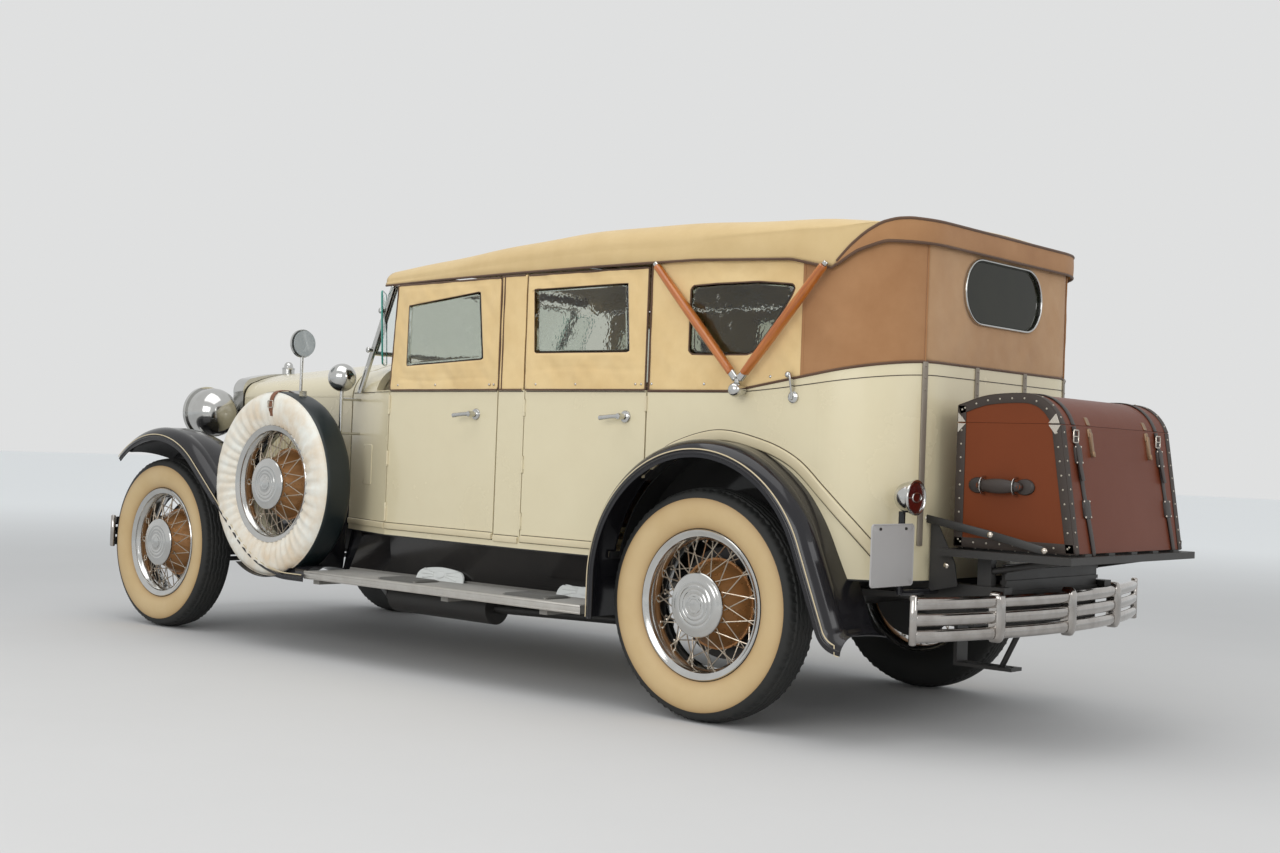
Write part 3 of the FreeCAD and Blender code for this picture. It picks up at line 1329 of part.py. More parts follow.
def curtain_slab(front, rear, low, high, inset, thickness):
    y_front = half_width(front) - inset
    y_rear = half_width(rear) - inset
    return slab_z([
        (x_at(front), y_front), (x_at(front), y_front - thickness),
        (x_at(rear), y_rear - thickness), (x_at(rear), y_rear),
    ], low, high)


def door_curtain(front, rear, pane_front, pane_rear):
    """Left curtain that stands on a door's top rail, with its clear pane."""
    low = BELT_Z
    cloth = curtain_slab(front, rear, low, CURTAIN_TOP, CURTAIN_INSET, CURTAIN_THICKNESS)
    hole = window_cut(x_at(pane_rear), x_at(pane_front), WINDOW_LOW, WINDOW_HIGH, 26.0, 500, 800)
    middle = CURTAIN_INSET + (CURTAIN_THICKNESS - PANE_THICKNESS) / 2
    pane = curtain_slab(front, rear, low, CURTAIN_TOP, middle, PANE_THICKNESS)
    return Part.makeCompound([cloth.cut(hole), pane.common(hole)])


def fixed_curtains():
    """Pillar strips, quarter curtains and rear curtain, with their clear panes."""
    plan_out = slab_z(body_plan(CURTAIN_INSET, COWL_FRONT), BELT_Z - 5, 1735)
    plan_in = slab_z(body_plan(CURTAIN_INSET + CURTAIN_THICKNESS, COWL_FRONT + 40), BELT_Z - 10, 1740)
    wall = plan_out.cut(plan_in)
    before = x_at(COWL_FRONT + 60)
    behind = x_at(BODY_REAR - 5)
    below = slab_y([
        (before, BELT_Z + SEAT_GAP), (x_at(RIM_RISE_START), BELT_Z + SEAT_GAP),
        (behind, RIM_REAR_Z + SEAT_GAP), (behind, BELT_Z - 20), (before, BELT_Z - 20),
    ], -900, 900)
    edge = [(x_at(x), z - SEAT_GAP) for x, z in VALANCE]
    above = slab_y(edge + [(x_at(VALANCE[-1][0]), 1800.0), (x_at(VALANCE[0][0]), 1800.0)], -900, 900)
    keep_rear = box(x_at(-800), x_at(REAR_DOOR_REAR), -800, 800, 1100, 1800)
    pillars = [
        box(x_at(REAR_DOOR_FRONT) + DOOR_GAP / 2, x_at(FRONT_DOOR_REAR), y0, y1, 1100, CURTAIN_TOP)
        for y0, y1 in ((500, 800), (-800, -500))
    ]
    wall = wall.cut([below, above])
    rear = wall.common(keep_rear)
    strips = [wall.common(pillar) for pillar in pillars]
    window = rear_window_hole(REAR_WINDOW_HALF, REAR_WINDOW_RADIUS)
    quarter = slab_y([
        (x_at(205), 1285.0), (x_at(205), 1535.0), (x_at(-300), 1545.0), (x_at(-120), 1290.0),
    ], -900, 900)
    holes = [window, quarter]
    thin_out = slab_z(body_plan(CURTAIN_INSET + 3, COWL_FRONT), 1200, 1700)
    thin_in = slab_z(body_plan(CURTAIN_INSET + 5, COWL_FRONT + 40), 1190, 1710)
    thin = thin_out.cut(thin_in)
    panes = [
        thin.common(window.common(box(x_at(-800), x_at(-500), -500, 500, 1200, 1700))),
        thin.common(quarter),
    ]
    return Part.makeCompound(solids_of(rear.cut(holes), *strips, *panes))


def rear_window_hole(half, radius):
    z = REAR_WINDOW_Z
    flat = half - radius
    return slab_x([
        (flat, z - radius), (flat, z + radius, half, z), (-flat, z + radius), (-flat, z - radius, -half, z),
    ], x_at(-800), x_at(-500))


def solids_of(*shapes):
    found = []
    for shape in shapes:
        found.extend(shape.Solids)
    return found


STRUT_Y = 752.0
PIVOT_X = -112.0
PIVOT_Z = 1178.0
PIVOT_DROP = 46.0
PIVOT_FOOT_RADIUS = 16.0
PIVOT_RADIUS = 20.0
STRUT_RADIUS = 15.0
STRUT_ENDS = ((282.0, 1600.0), (-452.0, 1568.0))


def top_struts():
    """Wooden top irons in a V on each side, from one pivot at the belt."""
    x = x_at(PIVOT_X)
    foot_z = PIVOT_Z - PIVOT_DROP
    pieces = [
        rod((x, half_width(PIVOT_X) + 0.7, foot_z), (x, STRUT_Y + 6, foot_z), PIVOT_FOOT_RADIUS),
        box(x - 9, x + 9, STRUT_Y - 10, STRUT_Y + 10, foot_z - 4, PIVOT_Z),
        rod((x, STRUT_Y - 16, PIVOT_Z), (x, STRUT_Y + 18, PIVOT_Z), PIVOT_RADIUS),
    ]
    for forward, high in STRUT_ENDS:
        pieces.append(rod((x, STRUT_Y, PIVOT_Z), (x_at(forward), STRUT_Y - 6, high), STRUT_RADIUS))
    return both(joined(*pieces))


TRUNK_FOOT = -1203.0
TRUNK_REAR_SEAM = -1141.0
TRUNK_HANDLE = (-872.0, -1012.0)
TRUNK_HANDLE_Z = 858.0
TRUNK_HINGES = (-250.0, 250.0)
TRUNK_PIN = 2.5
TRUNK_BARREL = 5.5
HANDLE_REACH = 26.0
HANDLE_BAR = 9.0
LID_CROWN = (-1004, -880)
LID_BEND = -1100


def trunk_outline(inset):
    """Front face, foot and seam of the trunk's side outline, whose rear face slopes out to its foot."""
    front = x_at(TRUNK_FRONT) - inset
    foot = x_at(TRUNK_FOOT) + inset
    seam = x_at(TRUNK_REAR_SEAM) + inset
    return front, foot, seam


def trunk_hinge_rods(half_length, radius):
    x = x_at(TRUNK_FRONT)
    return [
        rod((x, y - half_length, TRUNK_SEAM), (x, y + half_length, TRUNK_SEAM), radius)
        for y in TRUNK_HINGES
    ]


def trunk_box():
    """Open box of the trunk below its seam, with its side handle and the lid's hinge pins."""
    front, foot, seam = trunk_outline(0)
    outer = slab_y([
        (front, TRUNK_BOTTOM), (front, TRUNK_SEAM), (seam, TRUNK_SEAM), (foot, TRUNK_BOTTOM),
    ], -TRUNK_HALF_WIDTH, TRUNK_HALF_WIDTH)
    front, foot, seam = trunk_outline(TRUNK_WALL)
    side = TRUNK_HALF_WIDTH - TRUNK_WALL
    low = TRUNK_BOTTOM + TRUNK_WALL
    inner = slab_y([
        (front, low), (front, TRUNK_SEAM + 5), (seam, TRUNK_SEAM + 5), (foot, low),
    ], -side, side)
    start, end = [x_at(forward) for forward in TRUNK_HANDLE]
    reach = TRUNK_HALF_WIDTH + HANDLE_REACH
    inner_y = TRUNK_HALF_WIDTH - 2
    z = TRUNK_HANDLE_Z
    handle = [
        rod((start, inner_y, z), (start, reach, z), HANDLE_BAR),
        rod((end, inner_y, z), (end, reach, z), HANDLE_BAR),
        rod((start, reach - 4, z), (end, reach - 4, z), HANDLE_BAR),
    ]
    shape = joined(outer.cut(inner), *handle)
    shape = shape.cut(trunk_hinge_rods(31, 7))
    return joined(shape, *trunk_hinge_rods(40, TRUNK_PIN))


def trunk_lid():
    """Rounded lid of the trunk, hinged along its front seam."""
    front, foot, seam = trunk_outline(0)
    low = TRUNK_SEAM + 1.0

    def cap(inset, base, side):
        return slab_y([
            (front - inset, base), (front - inset, TRUNK_SEAM + 56 - inset),
            (x_at(LID_CROWN[0]), TRUNK_SEAM + 96 - inset, x_at(LID_CROWN[1]), TRUNK_SEAM + 88 - inset),
            (seam + inset, base, x_at(LID_BEND) + inset * 0.5, TRUNK_SEAM + 62 - inset),
        ], -side, side)

    outer = cap(0, low, TRUNK_HALF_WIDTH)
    inner = cap(TRUNK_WALL, low - 1, TRUNK_HALF_WIDTH - TRUNK_WALL)
    shape = joined(outer.cut(inner), *trunk_hinge_rods(30, TRUNK_BARREL))
    return shape.cut(trunk_hinge_rods(45, TRUNK_PIN + PIN_FIT))


RACK_FRONT = -752.0
RACK_BAR = 34.0
RACK_END_BAR = 30.0
RACK_BAR_HEIGHT = 24.0
RACK_SLATS = (-340.0, -170.0, 0.0, 170.0, 340.0)
RACK_SLAT_HALF = 22.0
RACK_POST = (-900.0, -850.0, 16.0)
RACK_ARM = ((-880.0, 574.0), (-1150.0, 628.0))
RACK_ARM_RADIUS = 11.0


def luggage_rack():
    """Slatted rack behind the body, with side bars, a rear bar and arms to the rails."""
    front = x_at(RACK_FRONT)
    rear = x_at(-REAR_OVERHANG)
    half = RACK_HALF_WIDTH
    z0 = RACK_Z
    z1 = z0 + RACK_BAR_HEIGHT
    pieces = [
        box(rear, front, half - RACK_BAR, half, z0, z1),
        box(rear, front, -half, -half + RACK_BAR, z0, z1),
        box(rear, rear + RACK_END_BAR, -half, half, z0, z1),
        box(front - RACK_END_BAR, front, -half, half, z0, z1),
    ]
    for y in RACK_SLATS:
        pieces.append(box(
            rear + 10, front - 10, y - RACK_SLAT_HALF, y + RACK_SLAT_HALF, z0 + 6, TRUNK_BOTTOM - SEAT_GAP))
    post_rear, post_front, post_half = RACK_POST
    (arm_x, arm_z), (tip_x, tip_z) = RACK_ARM
    for side in (-1, 1):
        y = side * (RAIL_OUTER - RAIL_WIDTH / 2)
        pieces.append(box(
            x_at(post_rear), x_at(post_front), y - post_half, y + post_half, RAIL_TABLE[0][1] + 0.6, z0 + 8))
        pieces.append(rod((x_at(arm_x), y, arm_z), (x_at(tip_x), y, tip_z), RACK_ARM_RADIUS))
    return joined(*pieces)


HITCH_Z = 210.0
HITCH_THICKNESS = 12.0
HITCH_HOLE = 13.0
HITCH_HALF = 38.0
HITCH_REAR = -800.0
HITCH_FRONT = -571.0
HITCH_PIN_X = -775.0
HITCH_BRACE_RADIUS = 10.0


def tow_hitch():
    """Flat drawbar with an upright pin hole, hung below the rear cross members."""
    half = HITCH_HALF
    plate = box(x_at(HITCH_REAR), x_at(HITCH_FRONT), -half, half, HITCH_Z, HITCH_Z + HITCH_THICKNESS)
    strut = box(x_at(HITCH_FRONT - 14), x_at(HITCH_FRONT), -half, half, HITCH_Z, MEMBER_LOW)
    brace = rod((x_at(-740), 0, HITCH_Z + 4), (x_at(-868), 0, MEMBER_LOW - 6), HITCH_BRACE_RADIUS)
    pad = box(x_at(-890), x_at(-846), -half, half, MEMBER_LOW - 8, MEMBER_LOW)
    shape = joined(plate, strut, brace, pad)
    pin_x = x_at(HITCH_PIN_X)
    return shape.cut(rod((pin_x, 0, HITCH_Z - 5), (pin_x, 0, HITCH_Z + 30), HITCH_HOLE))


# Seat outlines from the side: distance forward, height and, for a rolled top, the arc's middle
FRONT_CUSHION = (1010, 1470, 850)
FRONT_BACK = ((1060, 800), (980, 800), (930, 1190), (1040, 1190, 985, 1222))
FRONT_SEAT_HALF = 600.0
REAR_CUSHION = (-330, 230, 860)
REAR_BACK = ((-180, 800), (-330, 800), (-420, 1150), (-280, 1160, -350, 1190))
REAR_SEAT_HALF = 560.0


def seats():
    """Front and rear benches with rolled backs."""
    benches = []
    for (x0, x1, top), back, half in (
        (FRONT_CUSHION, FRONT_BACK, FRONT_SEAT_HALF), (REAR_CUSHION, REAR_BACK, REAR_SEAT_HALF),
    ):
        cushion = box(x_at(x0), x_at(x1), -half, half, FLOOR_TOP + SEAT_GAP, top)
        points = []
        for point in back:
            point = (x_at(point[0]), *point[1:])
            if len(point) == 4:
                point = (point[0], point[1], x_at(point[2]), point[3])
            points.append(point)
        benches.append(joined(cushion, slab_y(points, -half, half)))
    return Part.makeCompound(benches)


WHEEL_HUB = (1640.0, 360.0, 1120.0)
COLUMN_FOOT = (2290.0, 360.0, 640.0)
COLUMN_RADIUS = 19.0
SHAFT_RADIUS = 11.0
STEERING_RADIUS = 212.0


def column_direction():
    start = Vector(*COLUMN_FOOT)
    end = Vector(*WHEEL_HUB)
    return (end - start).normalize()


def column_point(back):
    """Place on the steering column, measured down from the wheel's hub."""
    hub = Vector(x_at(WHEEL_HUB[0]), WHEEL_HUB[1], WHEEL_HUB[2])
    return hub - column_direction() * back


def steering_wheel():
    """Rim, four spokes, hub and the shaft that turns in the column."""
    along = column_direction()
    hub = column_point(0)
    rim = Part.makeTorus(STEERING_RADIUS, 12, hub, along)
    side = Vector(0, 1, 0)
    across = along.cross(side).normalize()
    pieces = [rim, Part.makeCylinder(30, 34, hub - along * 14, along)]
    for direction in (side, side * -1, across, across * -1):
        pieces.append(Part.makeCylinder(8, STEERING_RADIUS, hub, direction))
    pieces.append(Part.makeCylinder(SHAFT_RADIUS, 420, column_point(420), along))
    return joined(*pieces)


def steering_column():
    """Fixed tube from the bulkhead to just short of the wheel, bracketed to the board."""
    along = column_direction()
    tube = Part.makeCylinder(COLUMN_RADIUS, 690, column_point(730), along)
    bore = Part.makeCylinder(SHAFT_RADIUS + PIN_FIT, 760, column_point(440), along)
    bracket = box(x_at(1950), x_at(COWL_SECTIONS[1][0] + 6), 340, 380, 850, 1040)
    return joined(tube, bracket).cut(bore)


MIRROR_X = 2300.0
MIRROR_Z = 1348.0
MIRROR_RADIUS = 62.0
COWL_LAMP = (2150.0, 668.0, 1204.0)
COWL_LAMP_RADIUS = 62.0
COWL_LAMP_FOOT = 561.2


def mirror():
    """Round mirror on a stem clamped to the top of the left spare."""
    x = x_at(MIRROR_X)
    top = SPARE_Z + TYRE_RADIUS
    pieces = [
        box(x - 18, x + 60, SPARE_Y - 20, SPARE_Y + 20, top - 30, top + 8),
        rod((x, SPARE_Y, top), (x, SPARE_Y, MIRROR_Z), 7),
        rod((x - 5, SPARE_Y, MIRROR_Z), (x + 7, SPARE_Y, MIRROR_Z), MIRROR_RADIUS),
    ]
    tyre = rod((x_at(SPARE_X), SPARE_Y - 100, SPARE_Z), (x_at(SPARE_X), SPARE_Y + 100, SPARE_Z), TYRE_RADIUS)
    return joined(*[piece.cut(tyre) for piece in pieces])


def cowl_lamp():
    """Round lamp on a bracket from the left side of the scuttle."""
    x = x_at(COWL_LAMP[0])
    y, z = COWL_LAMP[1:]
    pieces = [Part.makeSphere(COWL_LAMP_RADIUS, Vector(x, y, z)), rod((x, y, z - 14), (x, y, 950), 8)]
    for height in (960, 1110):
        pieces.append(rod((x, y, height), (x, COWL_LAMP_FOOT, height), 6))
    return joined(*pieces)


def build():
    nodes = {}
    tyre = wheel_tyre()
    wheel = wire_wheel(True)
    corners = (
        ("front_left", X_FRONT, HALF_TRACK), ("front_right", X_FRONT, -HALF_TRACK),
        ("rear_left", X_REAR, HALF_TRACK), ("rear_right", X_REAR, -HALF_TRACK),
    )
    for name, x, y in corners:
        for kind, shape in (("tyre", tyre), ("wheel", wheel)):
            if y < 0:
                shape = mirrored(shape)
            nodes[kind + "_" + name] = moved(shape, x, y, TYRE_RADIUS)
    spare_tyre = moved(tyre, x_at(SPARE_X), SPARE_Y, SPARE_Z)
    nodes["spare_tyres"] = both(spare_tyre)
    nodes["spare_wheels"] = both(moved(wire_wheel(False), x_at(SPARE_X), SPARE_Y, SPARE_Z))
    left_knuckle = knuckle(X_FRONT)
    nodes["knuckle_left"] = left_knuckle
    nodes["knuckle_right"] = mirrored(left_knuckle)
    nodes["tie_rod"] = tie_rod()
    nodes["axles"] = axles()
    nodes["chassis_frame"] = chassis_frame()
    nodes["leaf_springs"] = leaf_springs()
    nodes["engine_block"] = engine_block()
    nodes["exhaust"] = exhaust()
    nodes["fuel_tank"] = fuel_tank()
    nodes["body_tub"] = body_tub()
    nodes["body_cowl"] = body_cowl()
    doors = (
        ("door_front", FRONT_DOOR_FRONT, FRONT_DOOR_REAR, 1243.0, False),
        ("door_rear", REAR_DOOR_FRONT, REAR_DOOR_REAR, 418.0, True),
    )
    for name, front, rear, handle_rear, side_cut in doors:
        left = door(front, rear, handle_rear, side_cut)
        nodes[name + "_left"] = left
        nodes[name + "_right"] = mirrored(left)
    curtains = (
        ("curtain_front", FRONT_DOOR_FRONT - 2.5, FRONT_DOOR_REAR + 6, 1730.0, 1260.0),
        ("curtain_rear", REAR_DOOR_FRONT - 2.5, REAR_DOOR_REAR + 8, 905.0, 430.0),
    )
    for name, front, rear, pane_front, pane_rear in curtains:
        left = door_curtain(front, rear, pane_front, pane_rear)
        nodes[name + "_left"] = left
        nodes[name + "_right"] = mirrored(left)
    top = hood_top()
    side = hood_side()
    nodes["hood_top_left"] = top
    nodes["hood_top_right"] = mirrored(top)
    nodes["hood_side_left"] = side
    nodes["hood_side_right"] = mirrored(side)
    nodes["radiator"] = radiator()
    nodes["front_fenders"] = front_fenders()
    nodes["rear_fenders"] = rear_fenders()
    nodes["running_boards"] = running_boards()
    lamps = headlamps().cut(nodes["front_fenders"]).Solids
    nodes["headlamps"] = max(lamps, key=lambda solid: solid.Volume)
    nodes["tail_lamps"] = tail_lamps()
    nodes["bumpers"] = bumpers()
    nodes["windscreen"] = windscreen()
    nodes["top_canopy"] = top_canopy()
    nodes["fixed_curtains"] = fixed_curtains()
    nodes["top_struts"] = top_struts()
    nodes["trunk_box"] = trunk_box()
    nodes["trunk_lid"] = trunk_lid()
    nodes["luggage_rack"] = luggage_rack()
    nodes["tow_hitch"] = tow_hitch()
    nodes["seats"] = seats()
    nodes["steering_wheel"] = steering_wheel()
    nodes["steering_column"] = steering_column()
    nodes["mirrors"] = both(mirror())
    nodes["cowl_lamps"] = both(cowl_lamp())
    return nodes


os.makedirs("parts", exist_ok=True)
for node, shape in build().items():
    shape.exportStep("parts/" + node + ".step")
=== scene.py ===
# Looks of the touring car with its soft top up
import json
import math

import bmesh
import bpy
import numpy as np
from mathutils import Matrix, Vector

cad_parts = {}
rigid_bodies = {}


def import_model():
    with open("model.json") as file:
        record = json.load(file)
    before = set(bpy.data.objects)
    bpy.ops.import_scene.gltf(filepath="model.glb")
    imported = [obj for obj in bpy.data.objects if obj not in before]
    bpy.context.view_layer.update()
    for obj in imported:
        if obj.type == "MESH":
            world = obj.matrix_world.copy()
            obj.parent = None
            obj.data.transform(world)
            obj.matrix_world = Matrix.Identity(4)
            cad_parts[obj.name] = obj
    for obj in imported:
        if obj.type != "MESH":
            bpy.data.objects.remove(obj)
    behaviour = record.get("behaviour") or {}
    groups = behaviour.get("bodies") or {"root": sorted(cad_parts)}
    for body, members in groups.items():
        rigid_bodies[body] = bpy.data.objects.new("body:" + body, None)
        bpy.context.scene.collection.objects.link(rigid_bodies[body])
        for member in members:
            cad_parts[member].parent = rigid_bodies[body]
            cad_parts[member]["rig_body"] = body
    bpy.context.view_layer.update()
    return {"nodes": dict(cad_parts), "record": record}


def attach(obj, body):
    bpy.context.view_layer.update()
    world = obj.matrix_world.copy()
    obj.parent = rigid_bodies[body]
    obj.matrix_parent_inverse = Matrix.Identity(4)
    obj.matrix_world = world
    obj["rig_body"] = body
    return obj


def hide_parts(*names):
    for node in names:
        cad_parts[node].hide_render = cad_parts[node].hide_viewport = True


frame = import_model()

# Main places, in metres
REAR_AXLE = -1.339
WHEEL_X = {"rear": REAR_AXLE, "front": 2.014}
HALF_TRACK = 0.715
AXLE_Z = 0.406
SPARE = (1.071, 0.776, 0.725)
SIDES = {"left": 1, "right": -1}


# Mesh building


def place(forward, side, height):
    """Points from millimetres forward of the rear axle, to the left and above the ground."""
    points = np.stack(np.broadcast_arrays(forward, side, height), -1).astype(float) / 1000.0
    points[..., 0] += REAR_AXLE
    return points


def placed(points):
    """The points of a list of (forward, side, height) in mm."""
    return place(*np.array(points, float).T)


def distance_along(points):
    """Length run from the first point: the sum of the steps."""
    steps = np.linalg.norm(np.diff(points, axis=0), axis=-1)
    return np.concatenate([[0.0], np.cumsum(steps)])


def even(points, count):
    """The same line with its points an even distance apart."""
    points = np.asarray(points, float)
    run = distance_along(points)
    wanted = np.linspace(0, run[-1], count)
    return np.stack([np.interp(wanted, run, points[:, k]) for k in range(points.shape[1])], -1)


def even_loop(points, count):
    """A closed line with its points an even distance apart, the first one not repeated."""
    points = np.asarray(points, float)
    return even(np.vstack([points, points[:1]]), count)[:-1]


def curve(points, count):
    """Smooth line through points.

    Between b and c, p(t) = (2b + (c - a)t + (2a - 5b + 4c - d)t2 + (3b - a - 3c + d)t3) / 2.
    """
    points = np.asarray(points, float)
    ends = np.vstack([2 * points[:1] - points[1:2], points, 2 * points[-1:] - points[-2:-1]])
    where = np.linspace(0, len(points) - 1, count * 4)
    cell = np.minimum(where.astype(int), len(points) - 2)
    t = (where - cell)[:, None]
    a, b, c, d = (ends[cell + k] for k in range(4))
    line = (2 * b + (c - a) * t + (2 * a - 5 * b + 4 * c - d) * t**2 + (3 * b - a - 3 * c + d) * t**3) / 2
    return even(line, count)


def arc(centre, radius, first, last, count):
    """Points of an arc, (a, b) = centre + radius * (cos, sin), from one angle in degrees to another."""
    turn = np.radians(np.linspace(first, last, count))
    return np.stack([centre[0] + radius * np.cos(turn), centre[1] + radius * np.sin(turn)], -1)


def circle(radius, sides):
    """Closed outline of a circle about its middle."""
    turn = np.linspace(0, 2 * np.pi, sides, endpoint=False)
    return radius * np.stack([np.cos(turn), np.sin(turn)], -1)


def rounded(width, height, radius, steps=3):
    """Closed outline of a rectangle with rounded corners, about its middle."""
    a = width / 2 - radius
    b = height / 2 - radius
    corners = [((a, b), 0), ((-a, b), 90), ((-a, -b), 180), ((a, -b), 270)]
    return np.vstack([arc(middle, radius, turn, turn + 90, steps + 1) for middle, turn in corners])


def unit(vectors):
    """The same directions at length 1."""
    return vectors / np.maximum(np.linalg.norm(vectors, axis=-1, keepdims=True), 1e-9)


def swept(path, profile, up=(0, 0, 1), closed=False, ease=0.0):
    """Profile carried along a path: point = path + across * a + upward * b, across = along x up.

    With ease, both ends are drawn in over that distance, then closed to a point.
    """
    path = np.asarray(path, float)
    if closed:
        along = unit(np.roll(path, -1, 0) - np.roll(path, 1, 0))
    else:
        along = unit(np.gradient(path, axis=0))
    across = unit(np.cross(along, np.broadcast_to(np.asarray(up, float), path.shape)))
    upward = np.cross(across, along)
    profile = np.asarray(profile, float)
    if profile.ndim == 2:
        profile = np.broadcast_to(profile, (len(path), *profile.shape))
    rows = path[:, None] + across[:, None] * profile[..., 0:1] + upward[:, None] * profile[..., 1:2]
    if closed:
        return rows
    ends = []
    for end, sign in ((0, 1), (-1, -1)):
        middle = rows[end].mean(0, keepdims=True)
        ring = rows[end]
        ends.append(np.broadcast_to(middle, ring.shape))
        if ease:
            size = np.abs(profile[end]).max()
            ends.append(middle + (ring - middle) * max(1 - ease / size, 0.3))
            rows[end] = ring + sign * along[end] * ease
    if ease:
        return np.stack([ends[0], ends[1], *rows, ends[3], ends[2]])
    return np.stack([ends[0], *rows, ends[1]])


def turned(profile, centre, axis="y", sides=64, sign=1):
    """Profile of (along, radius) turned about an axis: centre + axis * along + radius * (cos, sin)."""
    profile = np.asarray(profile, float)
    turn = np.linspace(0, 2 * np.pi, sides, endpoint=False)
    along = np.broadcast_to(sign * profile[:, 0:1], (len(profile), sides))
    first = profile[:, 1:2] * np.cos(turn)
    second = profile[:, 1:2] * np.sin(turn)
    order = {"x": (along, first, second), "y": (first, along, second), "z": (first, second, along)}[axis]
    return np.stack(order, -1) + np.asarray(centre, float)


def mirror(rows, sign):
    """The rows on the left side for 1, or their mirror image for -1."""
    return rows * np.array([1.0, sign, 1.0])


def dome(centre, radius, height, axis="y", sides=10, sign=1):
    """Stud head: height * cos(t) along the axis over radius * sin(t)."""
    t = np.linspace(0, np.pi / 2, 5)
    profile = np.stack([height * np.cos(t), radius * np.sin(t)], -1)
    profile = np.vstack([profile, [[-0.001, radius], [-0.001, 0.0]]])
    return turned(profile, centre, axis, sides, sign)


class Piece:
    """One mesh made of grids of points, each a surface of two parameters."""

    def __init__(self):
        self.points = []
        self.rights = []
        self.quads = []
        self.places = []
        self.count = 0

    def add(self, rows, around=True, along=False, both=False, right=None):
        """Adds a grid, and with both its mirror image.

        around joins the last column to the first, along the last row to the first. right is the grid of
        the right side's piece, or none where it is the mirror image.
        """
        rows = np.asarray(rows, float)
        tall, wide = rows.shape[:2]
        index = np.arange(tall * wide).reshape(tall, wide)
        down = distance_along(rows[:, 0])
        over = distance_along(rows[tall // 2])
        if along:
            index = np.vstack([index, index[:1]])
            down = np.append(down, down[-1] + np.linalg.norm(rows[-1, 0] - rows[0, 0]))
        if around:
            index = np.hstack([index, index[:, :1]])
            over = np.append(over, over[-1] + np.linalg.norm(rows[0, -1] - rows[0, 0]))
        quads = np.stack([index[:-1, :-1], index[1:, :-1], index[1:, 1:], index[:-1, 1:]], -1)
        flat = np.stack(np.meshgrid(down, over, indexing="ij"), -1)
        places = np.stack([flat[:-1, :-1], flat[1:, :-1], flat[1:, 1:], flat[:-1, 1:]], 2)
        self.points.append(rows.reshape(-1, 3))
        self.rights.append((mirror(rows, -1) if right is None else right).reshape(-1, 3))
        self.quads.append(quads.reshape(-1, 4) + self.count)
        self.places.append(places.reshape(-1, 2))
        self.count += tall * wide
        if both:
            self.add(mirror(rows, -1), around, along)
        return self

    def sweep(self, path, profile, up=(0, 0, 1), ease=0.0, closed=False, both=False):
        """Adds a profile carried along a path; on the right it is carried along the path's mirror image."""
        path = np.asarray(path, float)
        right_up = mirror(up, -1) if np.ndim(up) == 2 else up
        right = swept(mirror(path, -1), profile, right_up, closed, ease)
        self.add(swept(path, profile, up, closed, ease), along=closed, right=right)
        if both:
            self.add(right, along=closed)
        return self

    def build(self, name, finish, body="chassis", sharp=40.0, weld=1e-5, sign=1):
        """The mesh object, smooth but for edges sharper than an angle, on the body that it rides."""
        points = np.vstack(self.points if sign > 0 else self.rights)
        quads = np.vstack(self.quads)
        mesh = bpy.data.meshes.new(name)
        mesh.vertices.add(len(points))
        mesh.vertices.foreach_set("co", points.ravel())
        mesh.loops.add(quads.size)
        mesh.loops.foreach_set("vertex_index", quads.ravel().astype(np.int32))
        mesh.polygons.add(len(quads))
        mesh.polygons.foreach_set("loop_start", np.arange(0, quads.size, 4, dtype=np.int32))
        mesh.update(calc_edges=True)
        layer = mesh.uv_layers.new(name="flat")
        layer.data.foreach_set("uv", np.vstack(self.places).ravel())
        work = bmesh.new()
        work.from_mesh(mesh)
        bmesh.ops.remove_doubles(work, verts=work.verts, dist=weld)
        bmesh.ops.dissolve_degenerate(work, dist=1e-7, edges=work.edges)
        bmesh.ops.recalc_face_normals(work, faces=work.faces)
        work.to_mesh(mesh)
        work.free()
        mesh.polygons.foreach_set("use_smooth", np.ones(len(mesh.polygons), bool))
        mesh.set_sharp_from_angle(angle=math.radians(sharp))
        made = bpy.data.objects.new(name, mesh)
        bpy.context.scene.collection.objects.link(made)
        mesh.materials.append(finish)
        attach(made, body)
        return made

    def pair(self, name, finish, body="chassis", sharp=40.0):
        """The piece on the left and its mirror image on the right; {side} in the body is filled in."""
        return [self.build(f"{name}_{side}", finish, body.format(side=side), sharp, sign=sign)
                for side, sign in SIDES.items()]


def replace_each(made, node):
    """Each piece of a pair stands for its own side's node, or the left one for a node of both sides."""
    for one, side in zip(made, SIDES):
        if "{side}" in node or side == "left":
            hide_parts(node.format(side=side))


def thicken(made, thickness):
    """Gives a sheet its thickness, half to each side."""
    solid = made.modifiers.new("thickness", "SOLIDIFY")
    solid.thickness = thickness
    solid.offset = 0.0


def fit_cloth(made, thickness, rests_on, with_pieces=""):
    for one, side in zip(made, SIDES):
        thicken(one, thickness)
        parts = with_pieces.format(side=side) if with_pieces else ()
        under = rests_on.format(side=side)


# Finishes


def node(tree, kind, inputs=(), **settings):
    """New shader node. An input given as a socket is linked, and any other is set."""
    made = tree.nodes.new("ShaderNode" + kind)
    for label, value in settings.items():
        setattr(made, label, value)
    for label, value in dict(inputs).items():
        if isinstance(value, bpy.types.NodeSocket):
            tree.links.new(value, made.inputs[label])
        else:
            made.inputs[label].default_value = value
    return made


def maths(tree, operation, *values, clamp=False):
    """Result of a sum on sockets or numbers."""
    return node(tree, "Math", enumerate(values), operation=operation, use_clamp=clamp).outputs[0]


def add_socket(tree, way, label, is_color):
    """New input or output of a node group."""
    kind = "NodeSocketColor" if is_color else "NodeSocketFloat"
    return tree.interface.new_socket(label, in_out=way, socket_type=kind)


